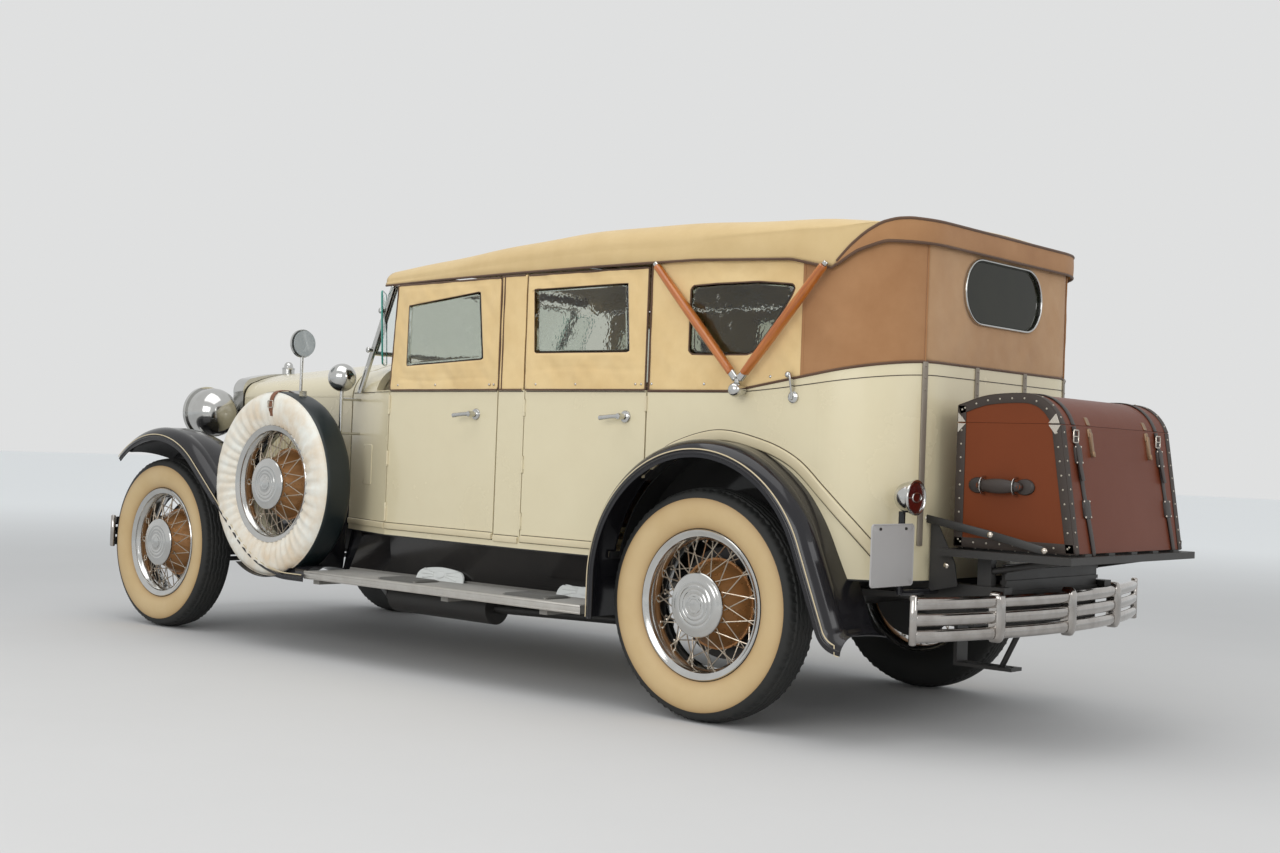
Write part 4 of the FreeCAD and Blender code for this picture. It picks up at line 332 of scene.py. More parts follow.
def open_group(name, inputs):
    """New node group with its inputs: a colour where the value has four parts, else a number."""
    tree = bpy.data.node_groups.new(name, "ShaderNodeTree")
    for label, value in inputs.items():
        add_socket(tree, "INPUT", label, isinstance(value, tuple)).default_value = value
    return tree, tree.nodes.new("NodeGroupInput").outputs


def close_group(tree, results):
    """Names the group's outputs and links each to its socket."""
    for label in results:
        add_socket(tree, "OUTPUT", label, label == "Color")
    outside = tree.nodes.new("NodeGroupOutput")
    for label, socket in results.items():
        tree.links.new(socket, outside.inputs[label])
    return tree


def object_spot(tree):
    """Place in the object's own frame, in metres."""
    return node(tree, "TexCoord").outputs["Object"]


def flat_spot(tree):
    """Place on the piece's flat map, in metres."""
    return node(tree, "UVMap", uv_map="flat").outputs["UV"]


def mottled_group():
    """Two colours and two roughnesses mixed by a soft noise; a finer noise gives the height."""
    tree, given = open_group("mottled", {
        "Clean": (1, 1, 1, 1), "Worn": (0.5, 0.5, 0.5, 1), "Scale": 6.0, "Cover": 0.5, "Smooth": 0.3,
        "Rough": 0.5, "Grain": 120.0})
    spot = object_spot(tree)
    noise = node(tree, "TexNoise", {"Vector": spot, "Scale": given["Scale"], "Detail": 7.0, "Roughness": 0.6})
    fine = node(tree, "TexNoise", {"Vector": spot, "Scale": given["Grain"], "Detail": 3.0})
    band = node(tree, "MapRange", {"Value": noise.outputs["Fac"], "From Min": 0.35, "From Max": 0.75})
    cover = maths(tree, "MULTIPLY", band.outputs["Result"], given["Cover"])
    color = node(tree, "Mix", {"Factor": cover, "A": given["Clean"], "B": given["Worn"]}, data_type="RGBA")
    rough = node(tree, "Mix", {"Factor": cover, "A": given["Smooth"], "B": given["Rough"]})
    return close_group(tree, {"Color": color.outputs["Result"], "Roughness": rough.outputs["Result"],
                              "Height": fine.outputs["Fac"]})


def weave_group():
    """Threads both ways on the flat map: the larger of two waves."""
    tree, given = open_group("canvas_weave", {"Threads": 260.0})
    spot = flat_spot(tree)
    waves = [node(tree, "TexWave", {"Vector": spot, "Scale": given["Threads"]}, bands_direction=way)
             for way in "XY"]
    return close_group(tree, {"Height": maths(tree, "MAXIMUM", *(wave.outputs["Fac"] for wave in waves))})


def streak_group():
    """Long streaks along one direction: noise on coordinates stretched along it."""
    tree, given = open_group("streaks", {"First": (1, 1, 1, 1), "Second": (0, 0, 0, 1), "Scale": 60.0})
    stretch = node(tree, "Mapping", {"Vector": flat_spot(tree), "Scale": (0.08, 1.0, 1.0)})
    noise = node(tree, "TexNoise", {
        "Vector": stretch.outputs["Vector"], "Scale": given["Scale"], "Detail": 6.0, "Distortion": 0.6})
    band = node(tree, "MapRange", {"Value": noise.outputs["Fac"], "From Min": 0.3, "From Max": 0.7})
    color = node(tree, "Mix", {
        "Factor": band.outputs["Result"], "A": given["First"], "B": given["Second"]}, data_type="RGBA")
    return close_group(tree, {"Color": color.outputs["Result"]})


def arch_group():
    """1 within a distance of the rear arch's middle in side view, or below a height, and 0 elsewhere."""
    tree, given = open_group("arch_and_under", {"Arch radius": 0.505, "Below": 0.535})
    spot = object_spot(tree)
    flat = node(tree, "VectorMath", {0: spot, 1: (1, 0, 1)}, operation="MULTIPLY")
    middle = (REAR_AXLE - 0.020, 0, 0.465)
    reach = node(tree, "VectorMath", {0: flat.outputs["Vector"], 1: middle}, operation="DISTANCE")
    height = node(tree, "SeparateXYZ", {"Vector": spot})
    near = maths(tree, "LESS_THAN", reach.outputs["Value"], given["Arch radius"])
    low = maths(tree, "LESS_THAN", height.outputs["Z"], given["Below"])
    return close_group(tree, {"Inside": maths(tree, "MAXIMUM", near, low)})


def level_group(axis, name):
    """1 where a coordinate, its sign dropped, is above a limit, and 0 elsewhere."""
    tree, given = open_group(name, {"Limit": 0.4})
    parts = node(tree, "SeparateXYZ", {"Vector": object_spot(tree)})
    size = maths(tree, "ABSOLUTE", parts.outputs[axis])
    return close_group(tree, {"Inside": maths(tree, "GREATER_THAN", size, given["Limit"])})


def edge_group():
    """0 in the middle of a band on the flat map, rising to 1 at both edges: |2u / width - 1| ** 3.5."""
    tree, given = open_group("edge_stain", {"Width": 0.115})
    parts = node(tree, "SeparateXYZ", {"Vector": flat_spot(tree)})
    share = maths(tree, "DIVIDE", parts.outputs["X"], given["Width"])
    size = maths(tree, "ABSOLUTE", maths(tree, "MULTIPLY_ADD", share, 2.0, -1.0))
    return close_group(tree, {"Inside": maths(tree, "POWER", size, 3.5, clamp=True)})


def far_group():
    """0 near the car, rising smoothly to 1 far out on the floor."""
    tree, given = open_group("far_floor", {"Near": 4.0, "Far": 16.0})
    reach = node(tree, "VectorMath", {0: object_spot(tree)}, operation="LENGTH")
    band = node(tree, "MapRange", {
        "Value": reach.outputs["Value"], "From Min": given["Near"], "From Max": given["Far"]},
        interpolation_type="SMOOTHSTEP")
    return close_group(tree, {"Inside": band.outputs["Result"]})


MOTTLED = mottled_group()
WEAVE = weave_group()
STREAKS = streak_group()


def new_finish(name, values):
    """New material with plain values on its shader's inputs."""
    made = bpy.data.materials.new(name)
    made.use_nodes = True
    shader = made.node_tree.nodes["Principled BSDF"]
    for label, value in values.items():
        shader.inputs[label].default_value = value
    return made, made.node_tree, shader


def mottled(tree, clean, worn, smooth, rough, **others):
    """The mottled group with its colours and roughnesses."""
    values = {"Clean": (*clean, 1), "Worn": (*worn, 1), "Smooth": smooth, "Rough": rough, **others}
    return node(tree, "Group", values, node_tree=MOTTLED).outputs


def add_bump(tree, shader, height, strength, distance):
    """Links a height to the shader's normal."""
    bump = node(tree, "Bump", {"Strength": strength, "Distance": distance, "Height": height})
    tree.links.new(bump.outputs["Normal"], shader.inputs["Normal"])


def coated(name, clean, worn, smooth, rough, metal=0.0, coat=0.0, scale=6.0, cover=0.5, grain=120.0,
           bump=0.05, shine=0.5):
    """Finish of mottled colour: paint, plate, rubber or hide, by its numbers."""
    made, tree, shader = new_finish(name, {
        "Metallic": metal, "Coat Weight": coat, "Coat Roughness": 0.08, "Specular IOR Level": shine})
    look = mottled(tree, clean, worn, smooth, rough, Scale=scale, Cover=cover, Grain=grain)
    tree.links.new(look["Color"], shader.inputs["Base Color"])
    tree.links.new(look["Roughness"], shader.inputs["Roughness"])
    if bump:
        add_bump(tree, shader, look["Height"], bump, 0.001)
    return made


def canvas(name, clean, worn):
    """Canvas finish: mottled colour, weave in the height, a little sheen."""
    made = coated(name, clean, worn, 0.75, 0.95, scale=5.0, cover=0.8, bump=0)
    tree = made.node_tree
    shader = tree.nodes["Principled BSDF"]
    weave = node(tree, "Group", {"Threads": 260.0}, node_tree=WEAVE)
    add_bump(tree, shader, weave.outputs["Height"], 0.12, 0.0006)
    shader.inputs["Sheen Weight"].default_value = 0.15
    return made


def timber(name, first, second):
    """Varnished wood with streaks of two colours."""
    made, tree, shader = new_finish(name, {"Roughness": 0.32, "Coat Weight": 0.8, "Coat Roughness": 0.06})
    values = {"First": (*first, 1), "Second": (*second, 1), "Scale": 90.0}
    look = node(tree, "Group", values, node_tree=STREAKS)
    tree.links.new(look.outputs["Color"], shader.inputs["Base Color"])
    return made


def clear_pane(name, tint, rough, bump):
    """See-through finish: transmission with a wavy surface."""
    made, tree, shader = new_finish(name, {
        "Base Color": (*tint, 1), "Roughness": rough, "IOR": 1.45, "Transmission Weight": 1.0})
    waves = node(tree, "Group", {"Grain": 14.0}, node_tree=MOTTLED)
    add_bump(tree, shader, waves.outputs["Height"], bump, 0.01)
    return made


def two_part(name, first, second, region, values, coat=0.5, scale=3.0, grain=120.0, bump=0.02, shine=0.5):
    """Finish of two mottled parts; the second shows where the region group gives 1."""
    made = coated(name, *first, coat=coat, scale=scale, grain=grain, bump=bump, shine=shine)
    tree = made.node_tree
    shader = tree.nodes["Principled BSDF"]
    other = mottled(tree, *second, Scale=scale)
    where = node(tree, "Group", values, node_tree=region).outputs["Inside"]
    for label, kind, output in (("Base Color", "RGBA", "Color"), ("Roughness", "FLOAT", "Roughness")):
        source = shader.inputs[label].links[0].from_socket
        mix = node(tree, "Mix", {"Factor": where, "A": source, "B": other[output]}, data_type=kind)
        tree.links.new(mix.outputs["Result"], shader.inputs[label])
    return made


# Darker brown towards both edges of the white wall, beside the rim and beside the tread.
white_wall = two_part(
    "aged_whitewall", ((0.6, 0.44, 0.23), (0.5, 0.33, 0.14), 0.5, 0.75),
    ((0.36, 0.21, 0.08), (0.27, 0.14, 0.05), 0.55, 0.8), edge_group(), {"Width": 0.122}, coat=0.0, scale=5.0)
cream_and_arch = two_part(
    "cream_with_dark_arch", ((0.70, 0.62, 0.42), (0.62, 0.53, 0.34), 0.22, 0.4),
    ((0.006, 0.006, 0.006), (0.016, 0.014, 0.012), 0.8, 0.95), arch_group(), {})
board_and_apron = two_part(
    "board_with_black_apron", ((0.24, 0.23, 0.21), (0.3, 0.28, 0.25), 0.6, 0.85),
    ((0.014, 0.013, 0.013), (0.035, 0.03, 0.026), 0.15, 0.35), level_group("Z", "above_height"),
    {"Limit": 0.3725}, coat=0.2)
# One trunk hide in lit and shaded copies: the side faces painted lighter and redder than the rear face and
# lid, as painted light on the sides.
trunk_hides = two_part(
    "trunk_hides", ((0.135, 0.033, 0.014), (0.105, 0.025, 0.01), 0.36, 0.48),
    ((0.172, 0.038, 0.009), (0.135, 0.03, 0.007), 0.45, 0.55), level_group("Y", "beyond_side"),
    {"Limit": 0.4114}, coat=0.0, grain=420.0, bump=0.25, shine=0.2)
cream = coated("cream_enamel", (0.70, 0.62, 0.42), (0.62, 0.53, 0.34), 0.22, 0.4, coat=0.5, scale=2.2,
               bump=0.02)
cream_dull = coated("cream_moulding", (0.66, 0.57, 0.38), (0.55, 0.46, 0.28), 0.3, 0.5, coat=0.3, bump=0.02)
line_dark = coated("dark_coachline", (0.05, 0.035, 0.02), (0.09, 0.065, 0.04), 0.4, 0.6, bump=0.0)
line_pale = coated("pale_pinstripe", (0.6, 0.5, 0.33), (0.45, 0.37, 0.22), 0.4, 0.6, bump=0.0)
black_gloss = coated("black_fender_enamel", (0.012, 0.012, 0.015), (0.022, 0.019, 0.018), 0.12, 0.3,
                     coat=0.25, scale=3.0, bump=0.02, shine=0.3)
black_dull = coated("chassis_black", (0.02, 0.019, 0.018), (0.045, 0.04, 0.034), 0.4, 0.7, bump=0.1)
chrome = coated("bright_plate", (0.60, 0.60, 0.585), (0.42, 0.41, 0.385), 0.1, 0.28, 1.0, scale=9.0,
                bump=0.01)
bumper_plate = coated("bumper_plate", (0.5, 0.475, 0.45), (0.2, 0.17, 0.145), 0.08, 0.3, 1.0, scale=14.0)
nickel = coated("worn_nickel", (0.62, 0.57, 0.5), (0.4, 0.34, 0.27), 0.2, 0.45, 1.0, scale=30.0)
hub_gold = coated("hub_bronze_enamel", (0.4, 0.19, 0.065), (0.25, 0.11, 0.035), 0.25, 0.45, 0.5, coat=0.3)
spoke_steel = coated("spoke_steel", (0.5, 0.44, 0.36), (0.25, 0.16, 0.09), 0.25, 0.5, 0.9, scale=40.0)
tread_black = coated("tyre_black", (0.013, 0.014, 0.013), (0.035, 0.032, 0.028), 0.65, 0.9, scale=9.0,
                     bump=0.3)
# The top's one tan cloth in lit and shaded copies: the side curtains painted lighter as painted sunlight, the
# rear curtain, corner curtains and rear band painted darker as painted shade, the roof between.
roof_canvas = canvas("roof_canvas", (0.62, 0.455, 0.225), (0.54, 0.38, 0.175))
side_canvas = canvas("side_canvas", (0.76, 0.56, 0.28), (0.63, 0.43, 0.19))
corner_canvas = canvas("corner_canvas", (0.38, 0.19, 0.078), (0.3, 0.14, 0.055))
rear_canvas = canvas("rear_canvas", (0.46, 0.275, 0.14), (0.37, 0.2, 0.095))
shaded_band_canvas = canvas("rear_band_canvas", (0.38, 0.19, 0.075), (0.3, 0.14, 0.055))
piping_brown = canvas("brown_piping", (0.11, 0.055, 0.028), (0.07, 0.035, 0.018))
strut_wood = timber("varnished_strut", (0.50, 0.155, 0.016), (0.33, 0.075, 0.006))
bow_wood = timber("header_wood", (0.3, 0.17, 0.08), (0.2, 0.1, 0.045))
band_black = coated("black_band", (0.028, 0.018, 0.013), (0.05, 0.032, 0.022), 0.5, 0.7, scale=20.0, bump=0.2)
strap_hide = coated("black_strap_hide", (0.022, 0.016, 0.013), (0.05, 0.032, 0.024), 0.4, 0.6, bump=0.2)
belt_grey = coated("belt_strip_grey", (0.25, 0.215, 0.17), (0.17, 0.14, 0.11), 0.35, 0.5, 0.3, scale=12.0)
brown_hide = coated("brown_strap_hide", (0.2, 0.075, 0.03), (0.12, 0.045, 0.02), 0.45, 0.65, bump=0.2)
rivet_white = coated("pale_rivet", (0.45, 0.41, 0.34), (0.28, 0.24, 0.18), 0.35, 0.5, 0.3, bump=0.0)
board_rib = coated("board_rib_rubber", (0.27, 0.26, 0.24), (0.33, 0.31, 0.28), 0.6, 0.85, scale=8.0, bump=0.2)
cast_alloy = coated("cast_step_alloy", (0.74, 0.75, 0.72), (0.6, 0.6, 0.57), 0.35, 0.5, scale=9.0)
mat_rubber = coated("step_mat_rubber", (0.1, 0.098, 0.09), (0.15, 0.14, 0.125), 0.6, 0.85, scale=8.0,
                    bump=0.2)
brass = coated("dull_brass", (0.3, 0.2, 0.12), (0.2, 0.12, 0.07), 0.35, 0.55, 0.7, scale=30.0)
alloy = coated("board_edge_alloy", (0.6, 0.58, 0.54), (0.4, 0.37, 0.33), 0.3, 0.5, 0.9, scale=12.0)
plate_grey = coated("blank_plate", (0.40, 0.385, 0.375), (0.35, 0.335, 0.325), 0.5, 0.6, scale=3.0, bump=0.0)
red_lens = coated("red_lens", (0.07, 0.006, 0.005), (0.035, 0.004, 0.003), 0.1, 0.25, coat=0.3, scale=60.0)
cover_white = coated("spare_cover_white", (0.8, 0.79, 0.72), (0.62, 0.43, 0.23), 0.35, 0.6, scale=9.0,
                     cover=0.75)
cover_black = coated("spare_cover_band", (0.006, 0.012, 0.014), (0.012, 0.018, 0.02), 0.35, 0.5, bump=0.1)
seat_hide = coated("seat_hide", (0.09, 0.035, 0.018), (0.055, 0.022, 0.012), 0.45, 0.65, grain=300.0,
                   bump=0.3)
vinyl = clear_pane("clear_vinyl", (0.56, 0.58, 0.5), 0.03, 0.7)
plate_glass = clear_pane("plate_glass", (0.92, 0.97, 0.95), 0.0, 0.01)
edge_glass = coated("green_glass_edge", (0.03, 0.30, 0.24), (0.06, 0.42, 0.34), 0.1, 0.25, coat=0.8,
                    scale=40.0)
motor_grey = coated("engine_grey", (0.09, 0.09, 0.085), (0.04, 0.035, 0.03), 0.5, 0.8, bump=0.3)
# Opaque near-black pane for the rear window: painted shade standing in for the dark inside of the car seen
# through the glass.
shade_dark_glass = coated("dark_window_glass", (0.008, 0.009, 0.004), (0.02, 0.02, 0.01), 0.04, 0.1, scale=9.0,
                    shine=0.25)
# Opaque pale grey for the headlamp lenses and the mirror faces: a painted reflection in place of what the
# reflectors and the mirrors reflect.
pale_reflection_glass = coated("pale_lamp_glass", (0.42, 0.45, 0.45), (0.3, 0.33, 0.34), 0.05, 0.12, coat=1.0, scale=30.0)
wheel_plastic = coated("steering_rim_black", (0.02, 0.018, 0.017), (0.04, 0.036, 0.03), 0.3, 0.45, coat=0.4)

SLOT_FINISH = {
    "tyre": tread_black, "wheel_steel": spoke_steel, "black_steel": black_dull, "engine": motor_grey,
    "cream_paint": cream, "dark_paint": black_gloss, "board_rubber": board_and_apron, "bright_metal": chrome,
    "clear_glass": plate_glass, "tan_cloth": side_canvas, "varnished_wood": strut_wood,
    "trunk_hide": trunk_hides, "seat_hide": seat_hide, "wheel_rim_plastic": wheel_plastic,
}


def dress_nodes():
    """Gives each shown CAD node its finish."""
    for part in frame["record"]["subparts"]:
        mesh = frame["nodes"][part["node"]].data
        mesh.materials.clear()
        finish = cream_and_arch if part["node"].startswith("body_") else SLOT_FINISH[part["material_slot"]]
        mesh.materials.append(finish)


# Body lines: the side of the body as a strip, by distance along its plan

BODY_PLAN = ((2240, 530), (1830, 662), (953, 720), (200, 728), (-410, 706))
BODY_TAIL = -702
CORNER = (-420, 424, 282)
BELT = 1150.0


def read_at(forward, table, column=1):
    """A column of a table at a place; the table's first column falls from the front to the rear."""
    return np.interp(-np.asarray(forward, float), -table[:, 0], table[:, column])


def plan_line(out=0.0):
    """Plan of the body, left front round the tail to right front, (forward, side) in mm."""
    side = np.array(BODY_PLAN, float) + (0, out)
    half = np.vstack([side, arc(CORNER[:2], CORNER[2] + out, 90, 180, 24)])
    return np.vstack([half, [[BODY_TAIL - out, 0.0]], half[::-1] * (1, -1)])


PLAN = plan_line()
PLAN_RUN = distance_along(PLAN)
TAIL_RUN = float(PLAN_RUN[-1]) / 2


def half_width(forward, out=0.0):
    """Half width of the body beside a place, in mm."""
    line = plan_line(out)
    return read_at(forward, line[:len(line) // 2])


def wall_point(run):
    """Distance forward and side of a place on the plan, by the distance run round it."""
    return np.stack([np.interp(run, PLAN_RUN, PLAN[:, k]) for k in range(2)], -1)


def run_at(forward):
    """Distance run round the plan at a place along the side."""
    half = len(PLAN) // 2
    return np.interp(-np.asarray(forward, float), -PLAN[:half, 0], PLAN_RUN[:half])


def on_wall(run, height, out=0.0):
    """Points on the body's wall by the distance run back round the plan, in mm, left of the middle."""
    run = np.asarray(run, float)
    along = unit(wall_point(run + 1.0) - wall_point(run - 1.0))
    outward = np.stack([along[..., 1], -along[..., 0]], -1)
    spot = wall_point(run) + outward * np.asarray(out)[..., None]
    return place(spot[..., 0], spot[..., 1], height)


def wall_line(runs, heights, out, count):
    """Even points on the body's wall through places given as run and height."""
    flat = even(np.stack(np.broadcast_arrays(runs, heights), -1), count)
    return on_wall(flat[:, 0], flat[:, 1], out)


def outward_at(path):
    """Level direction out of the body's wall at points of a line on it."""
    tail = (path[:, 0] * 1000 - REAR_AXLE * 1000) < CORNER[0]
    side = np.sign(path[:, 1])
    away = path - place(CORNER[0], CORNER[1] * side, path[:, 2] * 1000)
    flat_tail = tail & (np.abs(path[:, 1]) < CORNER[1] / 1000)
    out = np.where(tail[:, None], away, np.stack([0 * side, side, 0 * side], -1))
    out = np.where(flat_tail[:, None], np.array([-1.0, 0.0, 0.0]), out)
    out[:, 2] = 0
    return unit(out)


# Camera, light and floor


def set_camera():
    """Camera found from the photograph's wheels and lines."""
    eye = Vector((-4.7988, 5.0666, 0.9216))
    azimuth, tilt, roll = -0.8507, 0.0166, 0.0373
    ahead = Vector((math.cos(tilt) * math.cos(azimuth), math.cos(tilt) * math.sin(azimuth), math.sin(tilt)))
    level = ahead.cross(Vector((0, 0, 1))).normalized()
    upright = level.cross(ahead)
    across = level * math.cos(roll) + upright * math.sin(roll)
    upward = upright * math.cos(roll) - level * math.sin(roll)
    data = bpy.data.cameras.new("camera")
    data.lens = 44.83
    data.sensor_width = 36.0
    data.clip_start = 0.1
    made = bpy.data.objects.new("camera", data)
    turn = Matrix((across, upward, -ahead)).transposed().to_4x4()
    turn.translation = eye
    made.matrix_world = turn
    bpy.context.scene.collection.objects.link(made)
    bpy.context.scene.camera = made
    bpy.context.scene.view_settings.view_transform = "Standard"


def panel_light(name, spot, target, size, power):
    """Rectangular lamp that faces a target."""
    data = bpy.data.lights.new(name, "AREA")
    data.shape = "RECTANGLE"
    data.size, data.size_y = size
    data.energy = power
    made = bpy.data.objects.new(name, data)
    made.rotation_euler = (Vector(target) - Vector(spot)).to_track_quat("-Z", "Y").to_euler()
    made.location = spot
    bpy.context.scene.collection.objects.link(made)


def set_studio():
    """Pale floor, soft lamps above and to the rear left, and a backdrop that camera and mirrors see."""
    world = bpy.data.worlds.new("studio")
    bpy.context.scene.world = world
    world.use_nodes = True
    tree = world.node_tree
    light = tree.nodes["Background"]
    light.inputs["Color"].default_value = (0.93, 0.97, 1.0, 1)
    light.inputs["Strength"].default_value = 0.75
    seen = node(tree, "Background", {"Color": (0.74, 0.745, 0.745, 1), "Strength": 1.0})
    ray = node(tree, "LightPath").outputs
    pale = maths(tree, "MAXIMUM", ray["Is Camera Ray"], ray["Is Glossy Ray"])
    pale = maths(tree, "MAXIMUM", pale, ray["Is Transmission Ray"])
    mix = node(tree, "MixShader",
               {"Fac": pale, 1: light.outputs["Background"], 2: seen.outputs["Background"]})
    tree.links.new(mix.outputs["Shader"], tree.nodes["World Output"].inputs["Surface"])
    panel_light("roof_panel", (-0.5, 1.5, 6.5), (0, 0, 0.8), (7.0, 5.0), 150.0)
    panel_light("side_panel", (-2.5, 7.5, 3.2), (0, 0, 0.9), (6.0, 3.0), 165.0)
    panel_light("rear_panel", (-7.5, 0.5, 3.0), (-1.5, 0, 0.9), (3.5, 2.5), 60.0)
    edge = np.array([-60.0, 60.0])
    spots = np.stack(np.meshgrid(edge, edge, [0.0], indexing="ij"), -1)[:, :, 0]
    # Floor painted grey near the car and near white far out: painted light, so the far floor shows pale where
    # the lamps do not reach.
    finish = two_part("studio_floor", ((0.60, 0.59, 0.58), (0.57, 0.56, 0.55), 0.85, 0.9),
                      ((0.97, 0.97, 0.96), (0.96, 0.96, 0.95), 0.85, 0.9), far_group(), {},
                      coat=0.0, scale=0.8, bump=0.0, shine=0.1)
    floor = Piece().add(spots, around=False).build("floor", finish)
    floor.parent = None
    del floor["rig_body"]


# Soft top: stations are forward, half width, shoulder height and crown height

TOP_STATIONS = np.array([
    (1895, 650, 1640, 1690), (640, 734, 1690, 1788), (-300, 734, 1676, 1768),
    (-600, 734, 1645, 1747), (-760, 734, 1655, 1726),
], float)
VALANCE = np.array([
    (1915, 1600), (1500, 1606), (1000, 1608), (100, 1608), (-300, 1592), (-460, 1556), (-540, 1612),
    (-620, 1648), (-780, 1652),
], float)
TAIL_CREASE = np.array([
    (-455, 1556), (-471, 1569), (-520, 1627), (-565, 1672), (-607, 1705), (-643, 1720), (-672, 1725),
    (-716, 1724),
], float)
TOP_OUT = 14.0
TOP_LINE = curve(TOP_STATIONS, 80)


def top_outline():
    """Half outline of the roof in plan, from the front corner back to the middle of the tail, in mm."""
    forward = np.linspace(1895, -420, 90)
    side = np.stack([forward, np.minimum(read_at(forward, TOP_LINE), half_width(forward, TOP_OUT))], -1)
    turn = arc(CORNER[:2], CORNER[2] + TOP_OUT, 90, 180, 36)
    return even(np.vstack([side, turn[1:], [[BODY_TAIL - TOP_OUT, 0.0]]]), 190)


def roof_middle(outline):
    """The line on the roof's middle that each point of its outline runs in to."""
    return np.stack([np.maximum(outline[:, 0], -300.0), np.zeros(len(outline))], -1)


def plan_outward(outline):
    """Direction out of the roof's outline in plan."""
    outward = unit(np.stack([-np.gradient(outline[:, 1]), np.gradient(outline[:, 0])], -1))
    return outward * np.sign((outward * (outline - roof_middle(outline))).sum(-1, keepdims=True))


def roof_height(forward, side):
    """Height of the roof: an arch over most of the width, then a quarter round down to the side."""
    half, shoulder, crown = (read_at(forward, TOP_LINE, k) for k in (1, 2, 3))
    side = np.abs(side)
    round_width = 95.0
    flat = half - round_width
    bend = shoulder + (crown - shoulder) * 0.62
    low = shoulder - 25.0
    share = np.clip((side - flat) / round_width, 0, 1)
    arch = crown - (crown - bend) * (np.minimum(side, flat) / flat) ** 2
    return arch - (bend - low) * (1 - np.sqrt(1 - share**2))


def header_bow():
    """Wooden bow across the front of the top, resting on the windscreen, and the bows under the cloth."""
    wood = Piece()
    line = placed([(1876, -598, 1640), (1878, 0, 1646), (1876, 598, 1640)])
    wood.sweep(curve(line, 30), rounded(0.028, 0.044, 0.010, 3), ease=0.004)
    for forward in (1250.0, 640.0, 150.0, -300.0):
        side = np.linspace(-1, 1, 40) * (read_at(forward, TOP_LINE) - 60)
        height = roof_height(np.full(40, forward), side) - 24
        wood.sweep(place(forward, side, height), rounded(0.040, 0.022, 0.008, 3), ease=0.004)
    wood.build("fixed_bows", bow_wood)


def canopy():
    """Roof cloth: from its hanging edge up the side, then in over the crown to the middle line.

    Row u runs round the plan outline o(u). Column v climbs the wall, then moves from o(u) to the
    middle line c(u) by g(v), at roof_height. Sag between the bows and folds at the corners are waves.
    """
    outline = top_outline()
    low = read_at(outline[:, 0], VALANCE)
    middle = roof_middle(outline)
    edge = roof_height(outline[:, 0], outline[:, 1])
    run = distance_along(outline) / 1000.0
    rows = []
    for share in np.linspace(0, 1, 9):
        height = low + (edge - low) * share
        bulge = (3.0 + 1.6 * np.sin(run * 9.0 + 2.0 * share)) * np.sin(np.pi * share)
        spot = outline + plan_outward(outline) * (bulge - 2.0)[:, None]
        rows.append(place(spot[:, 0], spot[:, 1], height))
    for share in 1 - np.cos(np.linspace(0, 1, 26) * np.pi / 2)[1:]:
        spot = outline + (middle - outline) * share
        height = roof_height(spot[:, 0], spot[:, 1])
        bows = 2.5 * np.sin(spot[:, 0] / 1000 * 2 * np.pi / 0.52) * np.sin(np.pi * min(share + 0.1, 1.0))
        rows.append(place(spot[:, 0], spot[:, 1], height + bows))
    left = np.stack(rows, 1)
    whole = np.concatenate([left, mirror(left[:, ::-1], -1)[:, 1:]], 1)
    made = Piece().add(whole, around=False).build("roof_cloth", roof_canvas, sharp=70.0, weld=2e-4)
    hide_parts("top_canopy")
    hem = place(outline[:, 0], outline[:, 1] + 2.0, low)
    hem = np.vstack([hem, mirror(hem[::-1], -1)[1:]])
    Piece().sweep(hem, circle(0.0045, 8)).build("roof_hem", piping_brown)
    fit_cloth([made], 0.003, "fixed_bows", "roof_hem")


def matched(outline, count=160, start=0.1):
    """A closed outline with points at even angles about its middle."""
    points = even_loop(outline, 2000)
    middle = (points.min(0) + points.max(0)) / 2
    turn = np.unwrap(np.arctan2(points[:, 1] - middle[1], points[:, 0] - middle[0]))
    if turn[-1] < turn[0]:
        points = points[::-1]
        turn = turn[::-1]
    turn = turn - turn[0] + math.atan2(points[0, 1] - middle[1], points[0, 0] - middle[0])
    wanted = start + np.linspace(0, 2 * np.pi, count, endpoint=False)
    cycle = np.concatenate([turn - 2 * np.pi, turn, turn + 2 * np.pi])
    three = np.vstack([points, points, points])
    return np.stack([np.interp(wanted, cycle, three[:, k]) for k in range(2)], -1)


def wrinkle(a, b, seed):
    """Height of soft folds over a panel in mm: a few slanting waves that fade in and out."""
    wave = 1.6 * np.sin(a / 41.0 + b / 67.0 + seed) * np.sin(b / 83.0 + seed * 2)
    wave = wave + 1.1 * np.sin(a / 23.0 - b / 31.0 + seed * 3) * np.cos(a / 140.0 + seed)
    return wave + 0.7 * np.sin((a + b) / 15.0 + seed) * np.sin(a / 61.0)


def wall_panel(outline, window, out, seed, folds=1.0, shape=None):
    """Cloth round a window on the body's wall, and the window's edge.

    outline and window are (run, height) in mm, and the rows go evenly from one to the other.
    """
    inner = matched(window)
    share = np.linspace(0, 1, 16)[:, None]
    flat = inner + (matched(outline) - inner) * share[..., None]
    rise = out + folds * np.sin(np.pi * share) ** 0.6 * wrinkle(flat[..., 0], flat[..., 1], seed)
    if shape is not None:
        rise = rise + shape(flat[..., 0], flat[..., 1])
    return on_wall(flat[..., 0], flat[..., 1], rise), on_wall(inner[:, 0], inner[:, 1], out)


def pane_rows(window, out, seed, wave=3.0):
    """Clear vinyl filling a window: rings drawn in to its middle, gently buckled."""
    rim = matched(window)
    middle = (rim.min(0) + rim.max(0)) / 2
    share = np.linspace(1.03, 0, 9)[:, None]
    flat = middle + (rim - middle) * share[..., None]
    buckle = wave * np.sin(flat[..., 0] / 52.0 + flat[..., 1] / 75.0 + seed) * np.clip(1.2 - share**2, 0, 1)
    return on_wall(flat[..., 0], flat[..., 1], out + buckle - 3.0)


